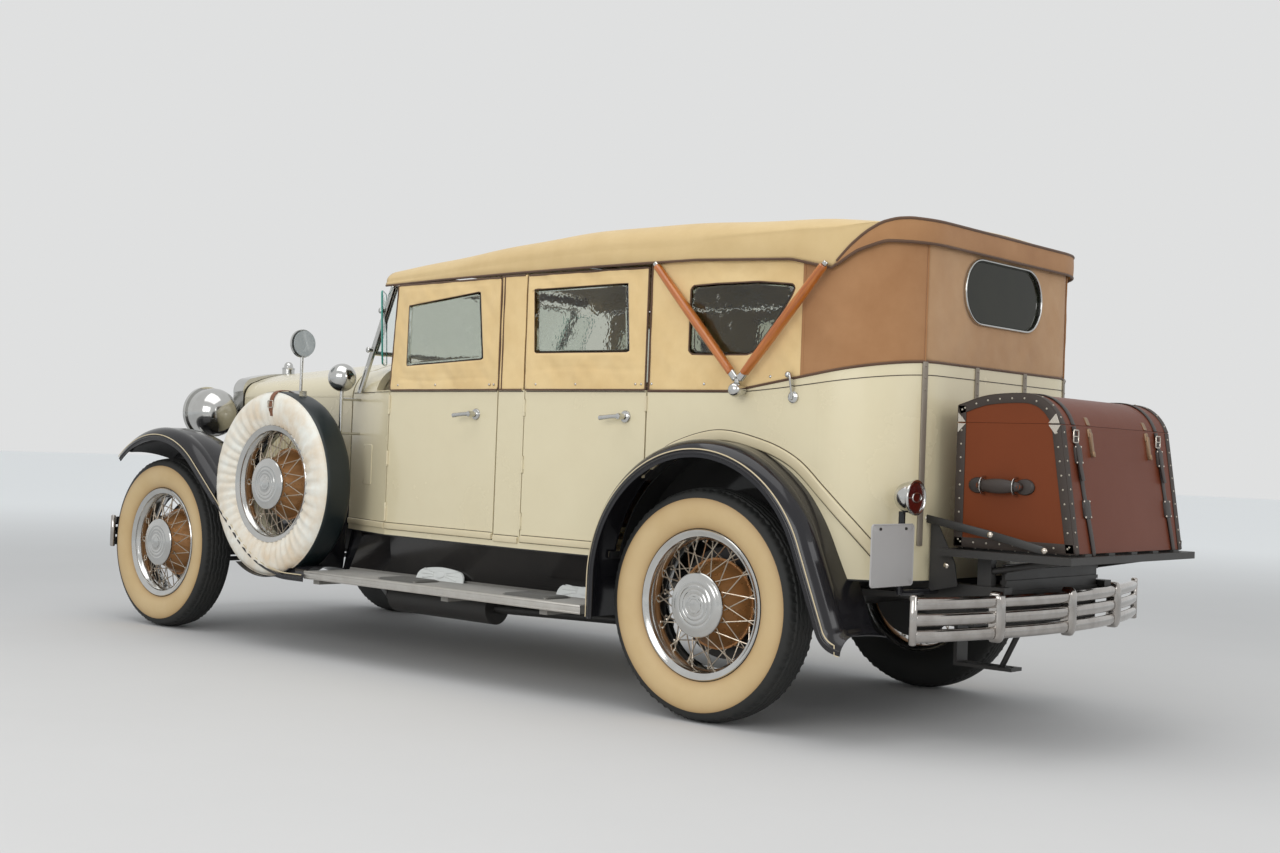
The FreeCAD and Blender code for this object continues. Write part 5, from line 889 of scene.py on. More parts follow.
CURTAIN_FOOT = 1147.0
CURTAIN_TOP = 1596.0
CURTAIN_RAKE = 36.0
CURTAINS = {
    "front": ((1826.5, 1114.0), ((1709, 1506), (1237, 1545), (1205, 1270), (1713, 1250)), 1.3),
    "rear": ((949.0, 322.0), ((915, 1538), (424, 1542), (406, 1287), (902, 1290)), 4.1),
}
STUD = (0.0055, 0.004)


def on_side_flat(points):
    """Places given as forward and height turned to run and height."""
    return np.array([(run_at(forward), height) for forward, height in points])


def window_border(window):
    """Cloth sewn double round a window: a 2 mm step that ends 26 mm out, then a crease below it."""
    low, high = window.min(0), window.max(0)

    def shape(a, b):
        over = np.maximum(np.maximum(low[0] - a, a - high[0]), np.maximum(low[1] - b, b - high[1]))
        step = 2.0 / (1 + np.exp((over - 26.0) / 2.0))
        crease = -2.6 * np.exp(-(((b - low[1] + 58.0 + 5 * np.sin(a / 90.0)) / 7.0) ** 2))
        return step + crease

    return shape


def door_curtains():
    """Cloth, pane, bound edges and studs of the curtain on each door."""
    for end, ((front, rear), pane, seed) in CURTAINS.items():
        is_front = end == "front"
        top_front = front - (CURTAIN_RAKE if is_front else 0.0)
        outline = on_side_flat([
            (front, CURTAIN_FOOT), (rear, CURTAIN_FOOT), (rear, CURTAIN_TOP), (top_front, CURTAIN_TOP)])
        window = on_side_flat(pane)
        body = f"door_{end}_" + "{side}"
        rows, window_line = wall_panel(outline, window, 4.0, seed, 2.0, window_border(window))
        sheet = Piece().add(rows).pair(f"curtain_cloth_{end}", side_canvas, body, 70)
        replace_each(sheet, f"curtain_{end}_" + "{side}")
        trim = Piece()
        edge = front - 3 if is_front else rear + 3
        top_edge = top_front - 3 if is_front else rear + 3
        inner_edge = rear + 3 if is_front else front - 4
        top = CURTAIN_TOP - 3
        loop = wall_line(run_at([inner_edge, edge, top_edge, inner_edge]), [BELT, BELT, top, top], 4.5, 120)
        trim.sweep(loop, circle(0.004, 6), (0, 1, 0.01))
        trim.sweep(window_line + (0, 0.0015, 0), rounded(0.005, 0.003, 0.0012, 1), (0, 1, 0.01), closed=True)
        trim.pair(f"curtain_binding_{end}", piping_brown, body)
        clear = Piece().add(pane_rows(window, 2.0, seed)).pair(f"curtain_pane_{end}", vinyl, body, 70)
        fit_cloth(sheet, 0.003, body)
        fit_cloth(clear, 0.0012, f"curtain_cloth_{end}_" + "{side}")
        studs = Piece()
        for forward in (front - 60, (front + rear) / 2 + 40, rear + 50, rear + 22):
            studs.add(dome(on_wall(run_at(forward), 1171.0, 6.0), *STUD))
        studs.pair(f"curtain_studs_{end}", nickel, body)


def pillar_cloth():
    """Cloth over the pillar between the door curtains, its bound edge, and a lining behind it."""
    tall = np.linspace(BELT, 1597.0, 50)[:, None]
    runs = np.broadcast_to(np.linspace(run_at(1110.0), run_at(960.0), 30), (50, 30))
    rise = 2.5 + 0.6 * wrinkle(runs, np.broadcast_to(tall, runs.shape), 2.0)
    cover = Piece().add(on_wall(runs, tall, rise), around=False)
    fit_cloth(cover.pair("pillar_cloth", side_canvas, sharp=70), 0.003, "body_tub")
    behind = np.linspace(run_at(1132.0), run_at(926.0), 24)
    lining = Piece().add(on_wall(behind[None], tall, np.full((50, 24), -9.0)), around=False)
    fit_cloth(lining.pair("pillar_lining", side_canvas, sharp=70), 0.002, "pillar_cloth_{side}")
    trim = Piece()
    for forward in (1106.0, 1090.0):
        trim.sweep(wall_line(run_at(forward), [BELT, 1597.0], 4.0, 20), circle(0.0036, 6), (0, 1, 0.01))
    for height in (BELT, CURTAIN_TOP):
        trim.sweep(wall_line(run_at([1109.0, 970.0]), height, 3.0, 12), circle(0.004, 6), (0, 1, 0.01))
    trim.pair("pillar_binding", piping_brown)


# Rear and quarter curtains

SEAM_Y = 497.0
QUARTER_WINDOW = on_side_flat((
    (134, 1290), (134, 1508), (122, 1520), (20, 1524), (-160, 1524), (-296, 1511), (-310, 1500),
    (-294, 1466), (-232, 1376), (-166, 1300), (-146, 1282), (-120, 1273), (10, 1274), (122, 1277)))
REAR_WINDOW_MIDDLE = (TAIL_RUN, 1521.0)


def tail_share(forward):
    """0 at the front of the rising rim and 1 at the tail."""
    return np.clip((-60.0 - forward) / 642.0, 0, 1)


def rim_height(forward):
    """Height of the body's rim, which rises towards the tail."""
    return BELT + tail_share(forward) * 112.0


def run_of_tail(side):
    """Run at a place on the rounded tail, by its side distance."""
    runs = np.linspace(run_at(CORNER[0]), 2 * TAIL_RUN - run_at(CORNER[0]), 800)
    return float(np.interp(-side, -wall_point(runs)[:, 1], runs))


def curtain_bounds(first, last, count):
    """Lower and upper edge of the fixed curtains between two runs."""
    runs = np.linspace(first, last, count)
    forward = wall_point(runs)[:, 0]
    return runs, rim_height(forward) - 3.0, read_at(forward, VALANCE) + 14.0


def curtain_outline(first, last):
    """Closed outline of a fixed curtain, as run and height."""
    runs, low, high = curtain_bounds(first, last, 60)
    return np.vstack([np.stack([runs, low], -1), np.stack([runs[::-1], high[::-1]], -1)])


def fixed_cloth():
    """Quarter, corner and rear curtains, each a sheet on the body's wall, with their windows."""
    seam = run_at(-345.0)
    tail_seam = run_of_tail(SEAM_Y)
    first = run_at(316.0)
    runs, low, high = curtain_bounds(seam, tail_seam, 70)
    share = np.linspace(0, 1, 40)[:, None]
    heights = low + (high - low) * share
    runs = np.broadcast_to(runs, heights.shape)
    fade = np.sin(np.pi * share) * np.sin(np.pi * np.linspace(0, 1, 70)) ** 0.5
    rise = -3.0 + 1.4 * fade * wrinkle(runs * 0.6, heights, 5.0)
    corner = Piece().add(on_wall(runs, heights, rise), around=False)
    fit_cloth(corner.pair("corner_cloth", corner_canvas, sharp=70), 0.003, "body_tub")
    rows, window_line = wall_panel(curtain_outline(first, seam), QUARTER_WINDOW, -3.0, 2.2, 2.2)
    quarter = Piece().add(rows).pair("quarter_cloth", side_canvas, sharp=70)
    replace_each(quarter, "fixed_curtains")
    fit_cloth(quarter, 0.003, "body_tub")
    binding = Piece()
    binding.sweep(window_line, circle(0.003, 6), (0, 1, 0.01), closed=True)
    binding.sweep(wall_line(*curtain_bounds(first, TAIL_RUN, 150)[:2], 0.0, 150), circle(0.0045, 8),
                  ease=0.001)
    binding.sweep(wall_line(first + 2.0, [BELT, 1610.0], -1.0, 12), circle(0.004, 8), (0, 1, 0))
    binding.pair("quarter_binding", piping_brown)
    pane = Piece().add(pane_rows(QUARTER_WINDOW, -5.0, 3.0, 7.0)).pair("quarter_pane", vinyl, sharp=70)
    fit_cloth(pane, 0.0012, "quarter_cloth_{side}")
    seams = Piece()
    for run in (seam, tail_seam):
        forward = wall_point(run)[0]
        ends = [rim_height(forward), read_at(forward, VALANCE) + 8.0]
        seams.sweep(wall_line(run, ends, -1.4, 16), rounded(0.011, 0.0022, 0.0008), (0, 1, 0))
    seams.pair("rear_seams", corner_canvas)
    rear_window = rounded(546, 224, 111.9, 12) + REAR_WINDOW_MIDDLE
    outline = curtain_outline(tail_seam, 2 * TAIL_RUN - tail_seam)
    rows, window_line = wall_panel(outline, rear_window, -3.0, 7.7, 1.2)
    fit_cloth([Piece().add(rows).build("rear_cloth", rear_canvas, sharp=70)], 0.003, "body_tub")
    frame_line = matched(rear_window, 120)
    ring = Piece()
    ring.sweep(on_wall(frame_line[:, 0], frame_line[:, 1], 1.0), rounded(0.007, 0.017, 0.0034, 4),
               (-1, 0, 0.001), closed=True)
    ring.build("rear_window_frame", chrome)
    share = np.linspace(1.01, 0, 10)[:, None, None]
    flat = REAR_WINDOW_MIDDLE + (frame_line - REAR_WINDOW_MIDDLE) * share
    # The rear window pane is opaque near black: painted shade of the car's inside.
    glass = Piece().add(on_wall(flat[..., 0], flat[..., 1], -4.0))
    thicken(glass.build("rear_window_pane", shade_dark_glass, sharp=70), 0.003)


def rear_band():
    """Separate rear piece of the roof cloth between its hanging edge and the piped crease."""
    outline = top_outline()
    outline = outline[outline[:, 0] < -462]
    low = read_at(outline[:, 0], VALANCE) - 3.0
    high = np.maximum(read_at(outline[:, 0], TAIL_CREASE), low + 1)
    rows = []
    for share in np.linspace(0, 1, 10):
        spot = outline + plan_outward(outline) * (3.0 + 2.0 * math.sin(math.pi * share))
        rows.append(place(spot[:, 0], spot[:, 1], low + (high - low) * share))
    left = np.stack(rows, 1)
    whole = np.concatenate([left, mirror(left[::-1], -1)[1:]], 0)
    band = Piece().add(whole, around=False).build("roof_rear_band", shaded_band_canvas, sharp=70)
    fit_cloth([band], 0.0025, "roof_cloth")
    piping = Piece()
    for column, radius in ((-1, 0.0055), (0, 0.0045)):
        piping.sweep(whole[:, column], circle(radius, 8), ease=0.002)
    piping.build("rear_band_piping", piping_brown)


# Struts, belts and fittings of the top


def top_fittings():
    """Varnished struts of oval section, swelling in the middle, with bright pivots, tips and rests."""
    wood = Piece()
    metal = Piece()
    pivot = place(-112, 752, 1178)
    for forward, high in ((282, 1600), (-452, 1568)):
        reach = place(forward, 746, high) - pivot
        share = np.linspace(0.07, 0.985, 24)[:, None]
        swell = 0.0165 + 0.004 * np.sin(np.pi * share)
        oval = circle(1.0, 20)[None] * swell[:, None] * (0.78, 1.12)
        wood.sweep(pivot + reach * share, oval, (0, 1, 0), ease=0.004)
        for first, last, radius in ((0.985, 1.015, 0.010), (0.02, 0.085, 0.0145)):
            tip = pivot + reach * np.linspace(first, last, 4)[:, None]
            metal.sweep(tip, circle(radius, 16), (0, 1, 0), ease=0.003)
    ball = [(0.030, 0), (0.029, 0.010), (0.024, 0.019), (0.012, 0.0245), (0.0, 0.026), (-0.02, 0.022),
            (-0.034, 0.017), (-0.036, 0.0)]
    metal.add(turned(curve(ball, 24), place(-112, 758, 1150), "y", 32))
    metal.sweep(placed([(-112, 752, 1150), (-112, 752, 1190)]), rounded(0.020, 0.022, 0.006), (0, 1, 0),
                ease=0.004)
    replace_each(wood.pair("struts", strut_wood), "top_struts")
    rest_run = run_at(-318.0)
    rest = wall_line(rest_run, [1118.0, 1140, 1160, 1180, 1205], 6.0, 5)
    rest[:, 1] += np.array([0.0, 0.001, 0.006, 0.012, 0.016])
    metal.sweep(rest, rounded(0.007, 0.020, 0.003), (0, 1, 0), ease=0.003)
    foot = [(0.006, 0), (0.006, 0.016), (0.003, 0.02), (-0.004, 0.02), (-0.004, 0)]
    metal.add(turned(foot, on_wall(rest_run, 1128.0, 3.0), "y", 24))
    metal.add(dome(on_wall(rest_run - 14, 1203.0, 16.0), 0.012, 0.012, "y", 20))
    for forward in (300.0, 60.0, -220.0, -290.0):
        metal.add(dome(on_wall(run_at(forward), 1172.0 + 0.16 * max(-60 - forward, 0), -1.0), *STUD))
    metal.pair("top_metal", chrome)
    strips = Piece()
    for side, bottom in ((SEAM_Y, 650.0), (172.0, 1128.0), (-172.0, 1128.0), (-SEAM_Y, 650.0)):
        run = run_of_tail(side)
        line = wall_line(run, [bottom, 1258.0], 2.5, 24)
        strips.sweep(line, rounded(0.024, 0.006, 0.0025), outward_at(line), ease=0.002)
        for height in (1165.0, 1205.0, 1245.0):
            strips.add(dome(on_wall(run, height, 5.0), 0.0045, 0.003, "x", sign=-1))
    strips.build("tail_belt_strips", belt_grey)


# Coach lines, mouldings and pinstripes

# Outer edge of the moulding over the rear arch, by run round the plan and height
CORNER_RUN = run_at(-420.0)
ARCH_LINE = [
    *on_side_flat(((310, 880), (292, 898), (178, 966), (-9, 1011), (-198, 981), (-338, 924))),
    (CORNER_RUN + 28.0, 833.0), (CORNER_RUN + 124.0, 739.0), (CORNER_RUN + 185.0, 676.0),
    (CORNER_RUN + 300.0, 556.0),
]
PANELS = (("cowl", 2236, 1834), ("door_front", 1826, 1119), ("pillar", 1108, 962), ("door_rear", 946, 326))
MOULDING = (0.010, 0.0045, 4)
SILL = 572.0


def build_line(name, runs, heights, width, body="chassis"):
    """Thin dark line on the body's wall."""
    line = wall_line(runs, heights, 0.6, 60)
    section = rounded(width / 1000, 0.0012, 0.00048, 1)
    Piece().sweep(line, section, outward_at(line), ease=0.0005).pair(name, line_dark, body)


def body_lines():
    """Dark line below the belt, pale moulding at the sill and raised moulding over the rear arch."""
    for name, front, rear in PANELS:
        body = name + "_{side}" if name.startswith("door") else "chassis"
        build_line(f"belt_line_{name}", run_at([front, rear]), 1143.0, 3.2, body)
        low = SILL - (6.0 if name == "pillar" else 0.0)
        ends = run_at([front, 500.0 if name == "door_rear" else rear])
        line = wall_line(ends, low, 3.0, 30)
        moulding = Piece().sweep(line, rounded(0.026, *MOULDING), outward_at(line), ease=0.002)
        moulding.pair(f"sill_moulding_{name}", cream_dull, body)
        build_line(f"sill_line_{name}", ends, low + 15, 2.4, body)
    runs = np.linspace(run_at(315), TAIL_RUN, 60)
    build_line("belt_line_tail", runs, 1143.0 + tail_share(wall_point(runs)[:, 0]) ** 1.3 * 72, 3.2)
    raised = Piece()
    dark_edge = Piece()
    outer = curve(ARCH_LINE, 140)
    step = unit(np.gradient(outer, axis=0))
    normal = np.stack([step[:, 1], -step[:, 0]], -1)
    thin = rounded(0.0032, 0.0016, 0.0006, 1)
    for offset, out, section, piece in (
            (18.0, 3.0, rounded(0.036, 0.012, 0.0055, 4), raised), (-1.5, 0.8, thin, dark_edge),
            (37.5, 0.8, thin, dark_edge)):
        spot = outer + normal * offset
        spot = spot[spot[:, 1] > 545]
        line = on_wall(spot[:, 0], spot[:, 1], out)
        piece.sweep(line, section, outward_at(line), ease=0.001)
    raised.pair("arch_moulding", cream_dull)
    dark_edge.pair("arch_lines", line_dark)


def fender_path(end, rise):
    """Side view of a fender's lip, raised along its normal: an arc, a straight run and a flare."""
    if end == "rear":
        over = arc((-20, 465), 463, 0, 158, 90)
        slope = math.radians(68)
        stop = over[-1] - 285 * np.array([math.cos(slope), math.sin(slope)])
        flare = arc(stop + 85 * np.array([-math.sin(slope), math.cos(slope)]), 85, -22, -82, 14)
        base = np.vstack([[(443.0, 326.0), (443.0, 465.0)], over[1:], stop[None], flare[1:]])
        base = np.vstack([base, base[-1:] - (16, 3)])
    else:
        over = arc((3310, 430), 480, 50, 130, 60)
        base = np.vstack([over, arc((2225.7, 930.0), 600, -50, -90, 24), [(2128.0, 330.0)]])
    base = even(base, 220)
    along = unit(np.gradient(base, axis=0))
    normal = np.stack([along[:, 1], -along[:, 0]], -1)
    if end == "rear":
        normal = normal * np.sign((normal * (base - (-20, 465))).sum(-1, keepdims=True))
    else:
        normal = normal * np.sign(normal[:, 1:2] + 1e-9)
    return base + normal * rise


def pinstripes():
    """Pale stripe just inside each fender's lip, and the rolled lip."""
    for end, stripe_side in (("rear", 861.4), ("front", 862.4)):
        path = fender_path(end, 15.0)
        lip = fender_path(end, 1.0)
        stripe = Piece().sweep(
            place(path[:, 0], stripe_side, path[:, 1]), rounded(0.0045, 0.0016, 0.0006, 1), (0, 1, 0.3))
        stripe.pair(f"pinstripe_{end}", line_pale)
        roll = Piece().sweep(place(lip[:, 0], 860.0, lip[:, 1]), circle(0.005, 10), (0, 1, 0), ease=0.001)
        roll.pair(f"fender_lip_{end}", black_gloss)


# Wheels


def ring_points(radius, along, turn):
    """Grid of points round the y axis, in metres, from measures in mm."""
    first = radius * np.cos(turn)
    second = radius * np.sin(turn)
    return np.stack([first, np.broadcast_to(along, first.shape), second], -1) / 1000.0


def tyre_rows(centre):
    """Tyre turned about its axle: a smooth side, and a tread cut by zigzag grooves and edge notches.

    radius = profile(v) - depth * groove(v, angle).
    """
    side = curve([(50, 243), (59, 252), (60, 262), (70, 280), (79, 305), (82, 334), (79, 362), (72, 384),
                  (64, 396)], 22)
    tread = np.linspace(62, -62, 41)
    crown = 406 - 8 * (tread / 60) ** 2
    profile = np.vstack([side[:-1], np.stack([tread, crown], -1), (side[:-1] * (-1, 1))[::-1]])
    turn = np.linspace(0, 2 * np.pi, 240, endpoint=False)
    along = profile[:, 0:1]
    zigzag = 6.0 * np.abs(((turn * 40 / np.pi) % 2) - 1) - 3.0
    grooves = [np.clip(2.6 - np.abs(along - middle - zigzag), 0, 1.6) / 1.6
               for middle in (-30.0, -10.0, 10.0, 30.0)]
    notch = (np.abs(along) > 44) & (np.abs(along) < 66) & (((turn * 40 / np.pi) % 1) < 0.34)
    depth = np.max([*grooves, notch * 1.0], axis=0) * (np.abs(along) < 66) * (profile[:, 1:2] > 380)
    return ring_points(profile[:, 1:2] - 5.0 * depth, along, turn) + centre


def add_spokes(spokes, nipples, centre):
    """Crossed wire spokes, each a thin tube from the hub's flange to the rim's well."""
    for hub_y, hub_r, rim_y, first in ((60, 103, 12, 0.0), (-37, 158, -12, 6.0)):
        for swing in (21.6, -21.6):
            start_turn = np.radians(np.arange(15) * 24.0 + first + (6.0 if swing > 0 else -6.0))
            for a, b in zip(start_turn, start_turn + np.radians(swing)):
                start = np.array([hub_r * math.cos(a), hub_y, hub_r * math.sin(a)])
                end = np.array([232 * math.cos(b), rim_y, 232 * math.sin(b)])
                line = np.array([start, (start + end) / 2, end]) / 1000.0 + centre
                spokes.sweep(line, circle(0.0024, 5), (0, 1, 0))
                tip = np.array([end + unit(start - end) * 16, end]) / 1000.0 + centre
                nipples.sweep(tip, circle(0.0046, 6), (0, 1, 0))


def turn_mm(profile, centre, sides):
    """Profile in mm turned about the wheel's axle."""
    return turned(np.array(profile) / 1000.0, centre, "y", sides)


def wire_wheel(name, centre, body, stands_for):
    """Rim, crossed spokes, bronze shell with bolts, and the stepped cap with a plain eight-sided middle."""
    rim = Piece().add(turn_mm([
        (50, 243), (56, 252), (59, 259), (63, 261), (66, 258), (65, 252), (60, 246), (57, 236), (45, 232),
        (38, 224), (10, 222), (-10, 222), (-38, 224), (-45, 232), (-57, 236), (-62, 247), (-64, 257),
        (-60, 260), (-50, 243)], centre, 128), along=True)
    replace_each(rim.pair(f"rim_{name}", chrome, body, 50), stands_for)
    spokes = Piece()
    nipples = Piece()
    add_spokes(spokes, nipples, centre)
    spokes.pair(f"spokes_{name}", spoke_steel, body)
    nipples.pair(f"nipples_{name}", nickel, body)
    outline = curve([(73, 99), (70, 104), (52, 109), (20, 124), (-14, 143), (-30, 151), (-34, 153)], 22)
    flange = [(-34, 160), (-38, 161), (-43, 160), (-44, 158), (-44, 40), (-30, 40), (-30, 120),
              (60, 80), (73, 80)]
    shell = Piece().add(turn_mm([*outline, *flange], centre, 72), along=True)
    shell.pair(f"hub_shell_{name}", hub_gold, body, 35)
    bolts = Piece()
    for spot in ring_points(155.5, -34.0, np.radians(np.arange(24) * 15.0)):
        bolts.add(dome(spot + centre, 0.0048, 0.004, "y", 8))
    bolts.pair(f"hub_bolts_{name}", hub_gold, body)
    steps = [
        (68, 96), (70, 108), (74, 112), (79, 112), (82, 109), (83, 104), (84.5, 101), (84.5, 95), (86, 92),
        (88, 86), (88.5, 74), (87.5, 71.5), (88.5, 69), (90.5, 66), (91, 56), (90, 54), (91, 52), (92.2, 50),
        (92.2, 41), (91.4, 39.5), (92.2, 38), (92.4, 30),
    ]
    turn = np.linspace(0, 2 * np.pi, 96, endpoint=False)
    eight = math.cos(math.pi / 8) / np.cos((turn + math.pi / 8) % (math.pi / 4) - math.pi / 8)
    middle = np.array([(90, 32), (93.6, 31), (94, 29.5), (94, 22), (93.2, 21), (93.6, 19), (94.0, 0)])
    cap = Piece().add(turn_mm(steps, centre, 96))
    cap.add(ring_points(middle[:, 1:2] * eight, middle[:, 0:1], turn) + centre)
    cap.pair(f"hub_cap_{name}", chrome, body, 30)


def wheels():
    """Tread, aged white wall and wire wheel at each end of both axles."""
    wall = curve([(60.2, 261), (70.8, 280), (80, 305), (83.2, 334), (80.3, 360), (77.5, 369),
                  (75.5, 371)], 24)
    for end, x in WHEEL_X.items():
        centre = np.array([x, HALF_TRACK, AXLE_Z])
        body = f"wheel_{end}_" + "{side}"
        tread = Piece().add(tyre_rows(centre)).pair(f"tread_{end}", tread_black, body, 30)
        replace_each(tread, f"tyre_{end}_" + "{side}")
        band = Piece().add(turn_mm([(56, 262.5), (60, 263), *wall[1:], (72, 371)], centre, 128))
        band.pair(f"whitewall_{end}", white_wall, body, 60)
        wire_wheel(end, centre, body, body)


def spares():
    """Covered spares: a pleated pale cover gathered to its inner edge, and a dark band round the tread."""
    centre = np.array(SPARE)
    section = curve([(-56, 250), (-72, 285), (-81, 330), (-78, 370), (-62, 396), (0, 403), (62, 396),
                     (77, 370), (80, 330), (70, 285), (56, 252)], 44)
    carcass = Piece().add(turn_mm([*section, (40, 246), (-40, 246)], centre, 120), along=True)
    replace_each(carcass.pair("spare_tyre", tread_black), "spare_tyres")
    profile = curve([(58, 256), (67, 265), (77, 284), (84, 308), (87, 334), (85, 362), (78, 384), (68, 397),
                     (60, 403)], 20)
    turn = np.linspace(0, 2 * np.pi, 360, endpoint=False)
    share = np.linspace(0, 1, 20)[:, None]
    pleat = 4.2 * (1 - share) ** 0.9 * np.sin(46 * turn + 1.6 * np.sin(3 * turn))
    pleat = pleat + 0.9 * (1 - share) * np.sin(97 * turn + 2.0)
    pleat = pleat + 0.8 * np.sin(np.pi * share) * np.sin(19 * turn + 4 * share)
    face = Piece().add(ring_points(profile[:, 1:2], profile[:, 0:1] + pleat, turn) + centre)
    cover = face.pair("spare_cover", cover_white, sharp=70)
    profile = curve([(62, 402), (48, 408), (0, 410), (-48, 407), (-70, 394), (-79, 374)], 18)
    turn = turn[::2]
    wobble = 0.8 * np.sin(23 * turn) * np.sin(5 * turn)
    band = Piece().add(ring_points(profile[:, 1:2] + wobble, profile[:, 0:1], turn) + centre)
    dark = band.pair("spare_band", cover_black, sharp=70)
    hem = Piece()
    for radius, spot in ((3.2, (60, 255)), (2.6, (62, 402.5))):
        hem.add(turn_mm(circle(radius, 8) + spot, centre, 120), along=True)
    hem.pair("spare_cover_hem", cover_white)
    fit_cloth(cover, 0.0015, "spare_tyre_{side}", "spare_cover_hem_{side}")
    fit_cloth(dark, 0.0015, "spare_tyre_{side}")
    wire_wheel("spare", centre, "chassis", "spare_wheels")
    loop = curve([(82, 300), (89, 334), (88, 362), (82, 386), (66, 405), (40, 413), (0, 415), (-50, 411)], 40)
    step = unit(np.gradient(loop, axis=0))
    angle = math.radians(93.0)
    radial = np.array([math.cos(angle), 0, math.sin(angle)])
    axis = np.array([0, 1, 0])
    line = centre + loop[:, :1] / 1000 * axis + loop[:, 1:] / 1000 * radial
    normal = -step[:, 1:] * axis + step[:, :1] * radial
    Piece().sweep(line, rounded(0.026, 0.0035, 0.0015), normal).pair("spare_strap", brown_hide)
    loop = rounded(0.036, 0.030, 0.006)
    line = centre + axis * 0.0925 + radial * 0.352 + np.stack([loop[:, 0], 0 * loop[:, 0], loop[:, 1]], -1)
    Piece().sweep(line, circle(0.0024, 8), (0, 1, 0), closed=True).pair("spare_buckle", nickel)


# Small fittings


def raised_plate(outline, spread, low, high, ease=1.0, rise=0.0):
    """Plate with eased edges: its outline at two heights, drawn in, then closed with a slight crown."""
    outline = np.asarray(outline, float)
    middle = (outline.min(0) + outline.max(0)) / 2
    size = np.abs(outline - middle).max()
    edge = 1 - ease / size
    levels = [(0, low), (1, low), (1, high - ease), (edge, high)]
    levels += [(edge * k, high + rise * (1 - k**2)) for k in (0.75, 0.5, 0.25, 0.0)]
    rows = []
    for scale, height in levels:
        flat = middle + (outline - middle) * scale
        rows.append(spread(flat[:, 0], flat[:, 1], height))
    return np.stack(rows)


def on_tail(forward):
    """Places on a face square to the car's length: across, up and height off the face, rearwards."""
    return lambda a, b, h: place(forward - h, a, b)


def on_side(side):
    """Places on a face square to the car's width: forward, up and height off the face, outwards."""
    return lambda a, b, h: place(a, side + h, b)


def on_top(height):
    """Places on a level face: forward, across and height off the face."""
    return lambda a, b, h: place(a, b, height + h)


def round_bar(piece, points, radius, sides=16, both=False):
    """Adds a round bar through points in mm."""
    piece.sweep(placed(points), circle(radius / 1000, sides), (0.01, 0.02, 1), ease=0.002, both=both)


def boards():
    """Ribs and bright edge of each running board, its step mats and the cast guards behind them."""
    rib = rounded(0.005, 0.003, 0.0012, 1)
    ribs = Piece()
    for out in np.arange(624.0, 846.0, 12.0):
        ribs.sweep(place([508, 1300, 2108], out, 362.4), rounded(0.0055, 0.003, 0.0012, 1))
    ribs.pair("board_ribs", board_rib)
    trim = Piece()
    for out, high, tall in ((850.5, 346.5, 0.035), (852.5, 358.0, 0.008), (852.5, 335.0, 0.006)):
        trim.sweep(place([492, 1300, 2122], out, high), rounded(0.005, tall, 0.0022, 2), ease=0.001)
    trim.pair("board_edge", alloy)
    mats = Piece()
    for forward in (1555.0, 815.0):
        mats.add(raised_plate(rounded(234, 134, 20, 6) + (forward, 755), on_top(360.0), 0.0, 11.0, 3.0))
        for out in np.arange(700.0, 812.0, 11.0):
            mats.sweep(place([forward - 100, forward + 100], out, 371.5), rib)
    mats.pair("step_mats", mat_rubber)

    def leaning(a, b, h):
        return place(a, 640.0 + h - (b - 362.0) * 0.32, b)

    slanting = np.array([(0, 1, 0.3)] * 2)
    guards = Piece()
    shape = [(-146, 362), (-136, 392), (-100, 409), (0, 418), (100, 409), (136, 392), (146, 362)]
    shape = np.vstack([curve(shape, 50), even([(141, 362), (-141, 362)], 16)])
    for forward in (1493.0, 675.0):
        guards.add(raised_plate(shape + (forward, 0), leaning, -2.0, 6.0, 2.5, 1.0))
        guards.add(raised_plate(circle(1.0, 32) * (30, 16) + (forward, 390), leaning, 4.0, 9.5, 2.0, 1.5))
        for turn in np.radians((22, 158, 202, 338, 0, 180)):
            reach = np.array([[40.0], [112.0]])
            line = leaning(*((forward, 389) + reach * (math.cos(turn), math.sin(turn) * 0.45)).T, 7.0)
            guards.sweep(line, rounded(0.006, 0.004, 0.0018, 2), slanting, ease=0.001)
    guards.pair("step_guards", cast_alloy)


def door_handles():
    """Bright lever handles on round escutcheons, over the plain ones beneath, and the doors' hinges."""
    boss = [(-0.002, 0.0), (-0.002, 0.0235), (0.004, 0.0235), (0.0075, 0.021), (0.009, 0.015),
            (0.011, 0.0115), (0.034, 0.0112), (0.042, 0.0125), (0.047, 0.0105), (0.050, 0.0)]
    swell = np.interp(np.linspace(0, 1, 20), (0, 0.25, 0.7, 1), (11.2, 8.4, 8.6, 9.6)) / 1000
    oval = circle(1.0, 16)[None] * swell[:, None, None]
    for end, forward, edge in (("front", 1243.0, 1828.0), ("rear", 418.0, 322.0)):
        wall = float(half_width(forward))
        metal = Piece().add(turned(boss, place(forward, wall, 1052), "y", 28))
        lever = curve([(forward, wall + 39, 1052), (forward + 34, wall + 40, 1051),
                       (forward + 66, wall + 40.5, 1048), (forward + 96, wall + 40, 1045)], 20)
        metal.sweep(placed(lever), oval, (0, 1, 0), ease=0.003)
        metal.pair(f"door_handle_{end}", chrome, f"door_{end}_" + "{side}")
        hinges = Piece()
        spot = float(half_width(edge)) + 1.0
        for height in (620.0, 860.0, 1100.0):
            round_bar(hinges, [(edge, spot, height - 28), (edge, spot, height + 28)], 6.5, 12)
        hinges.pair(f"door_hinges_{end}", cream_dull)


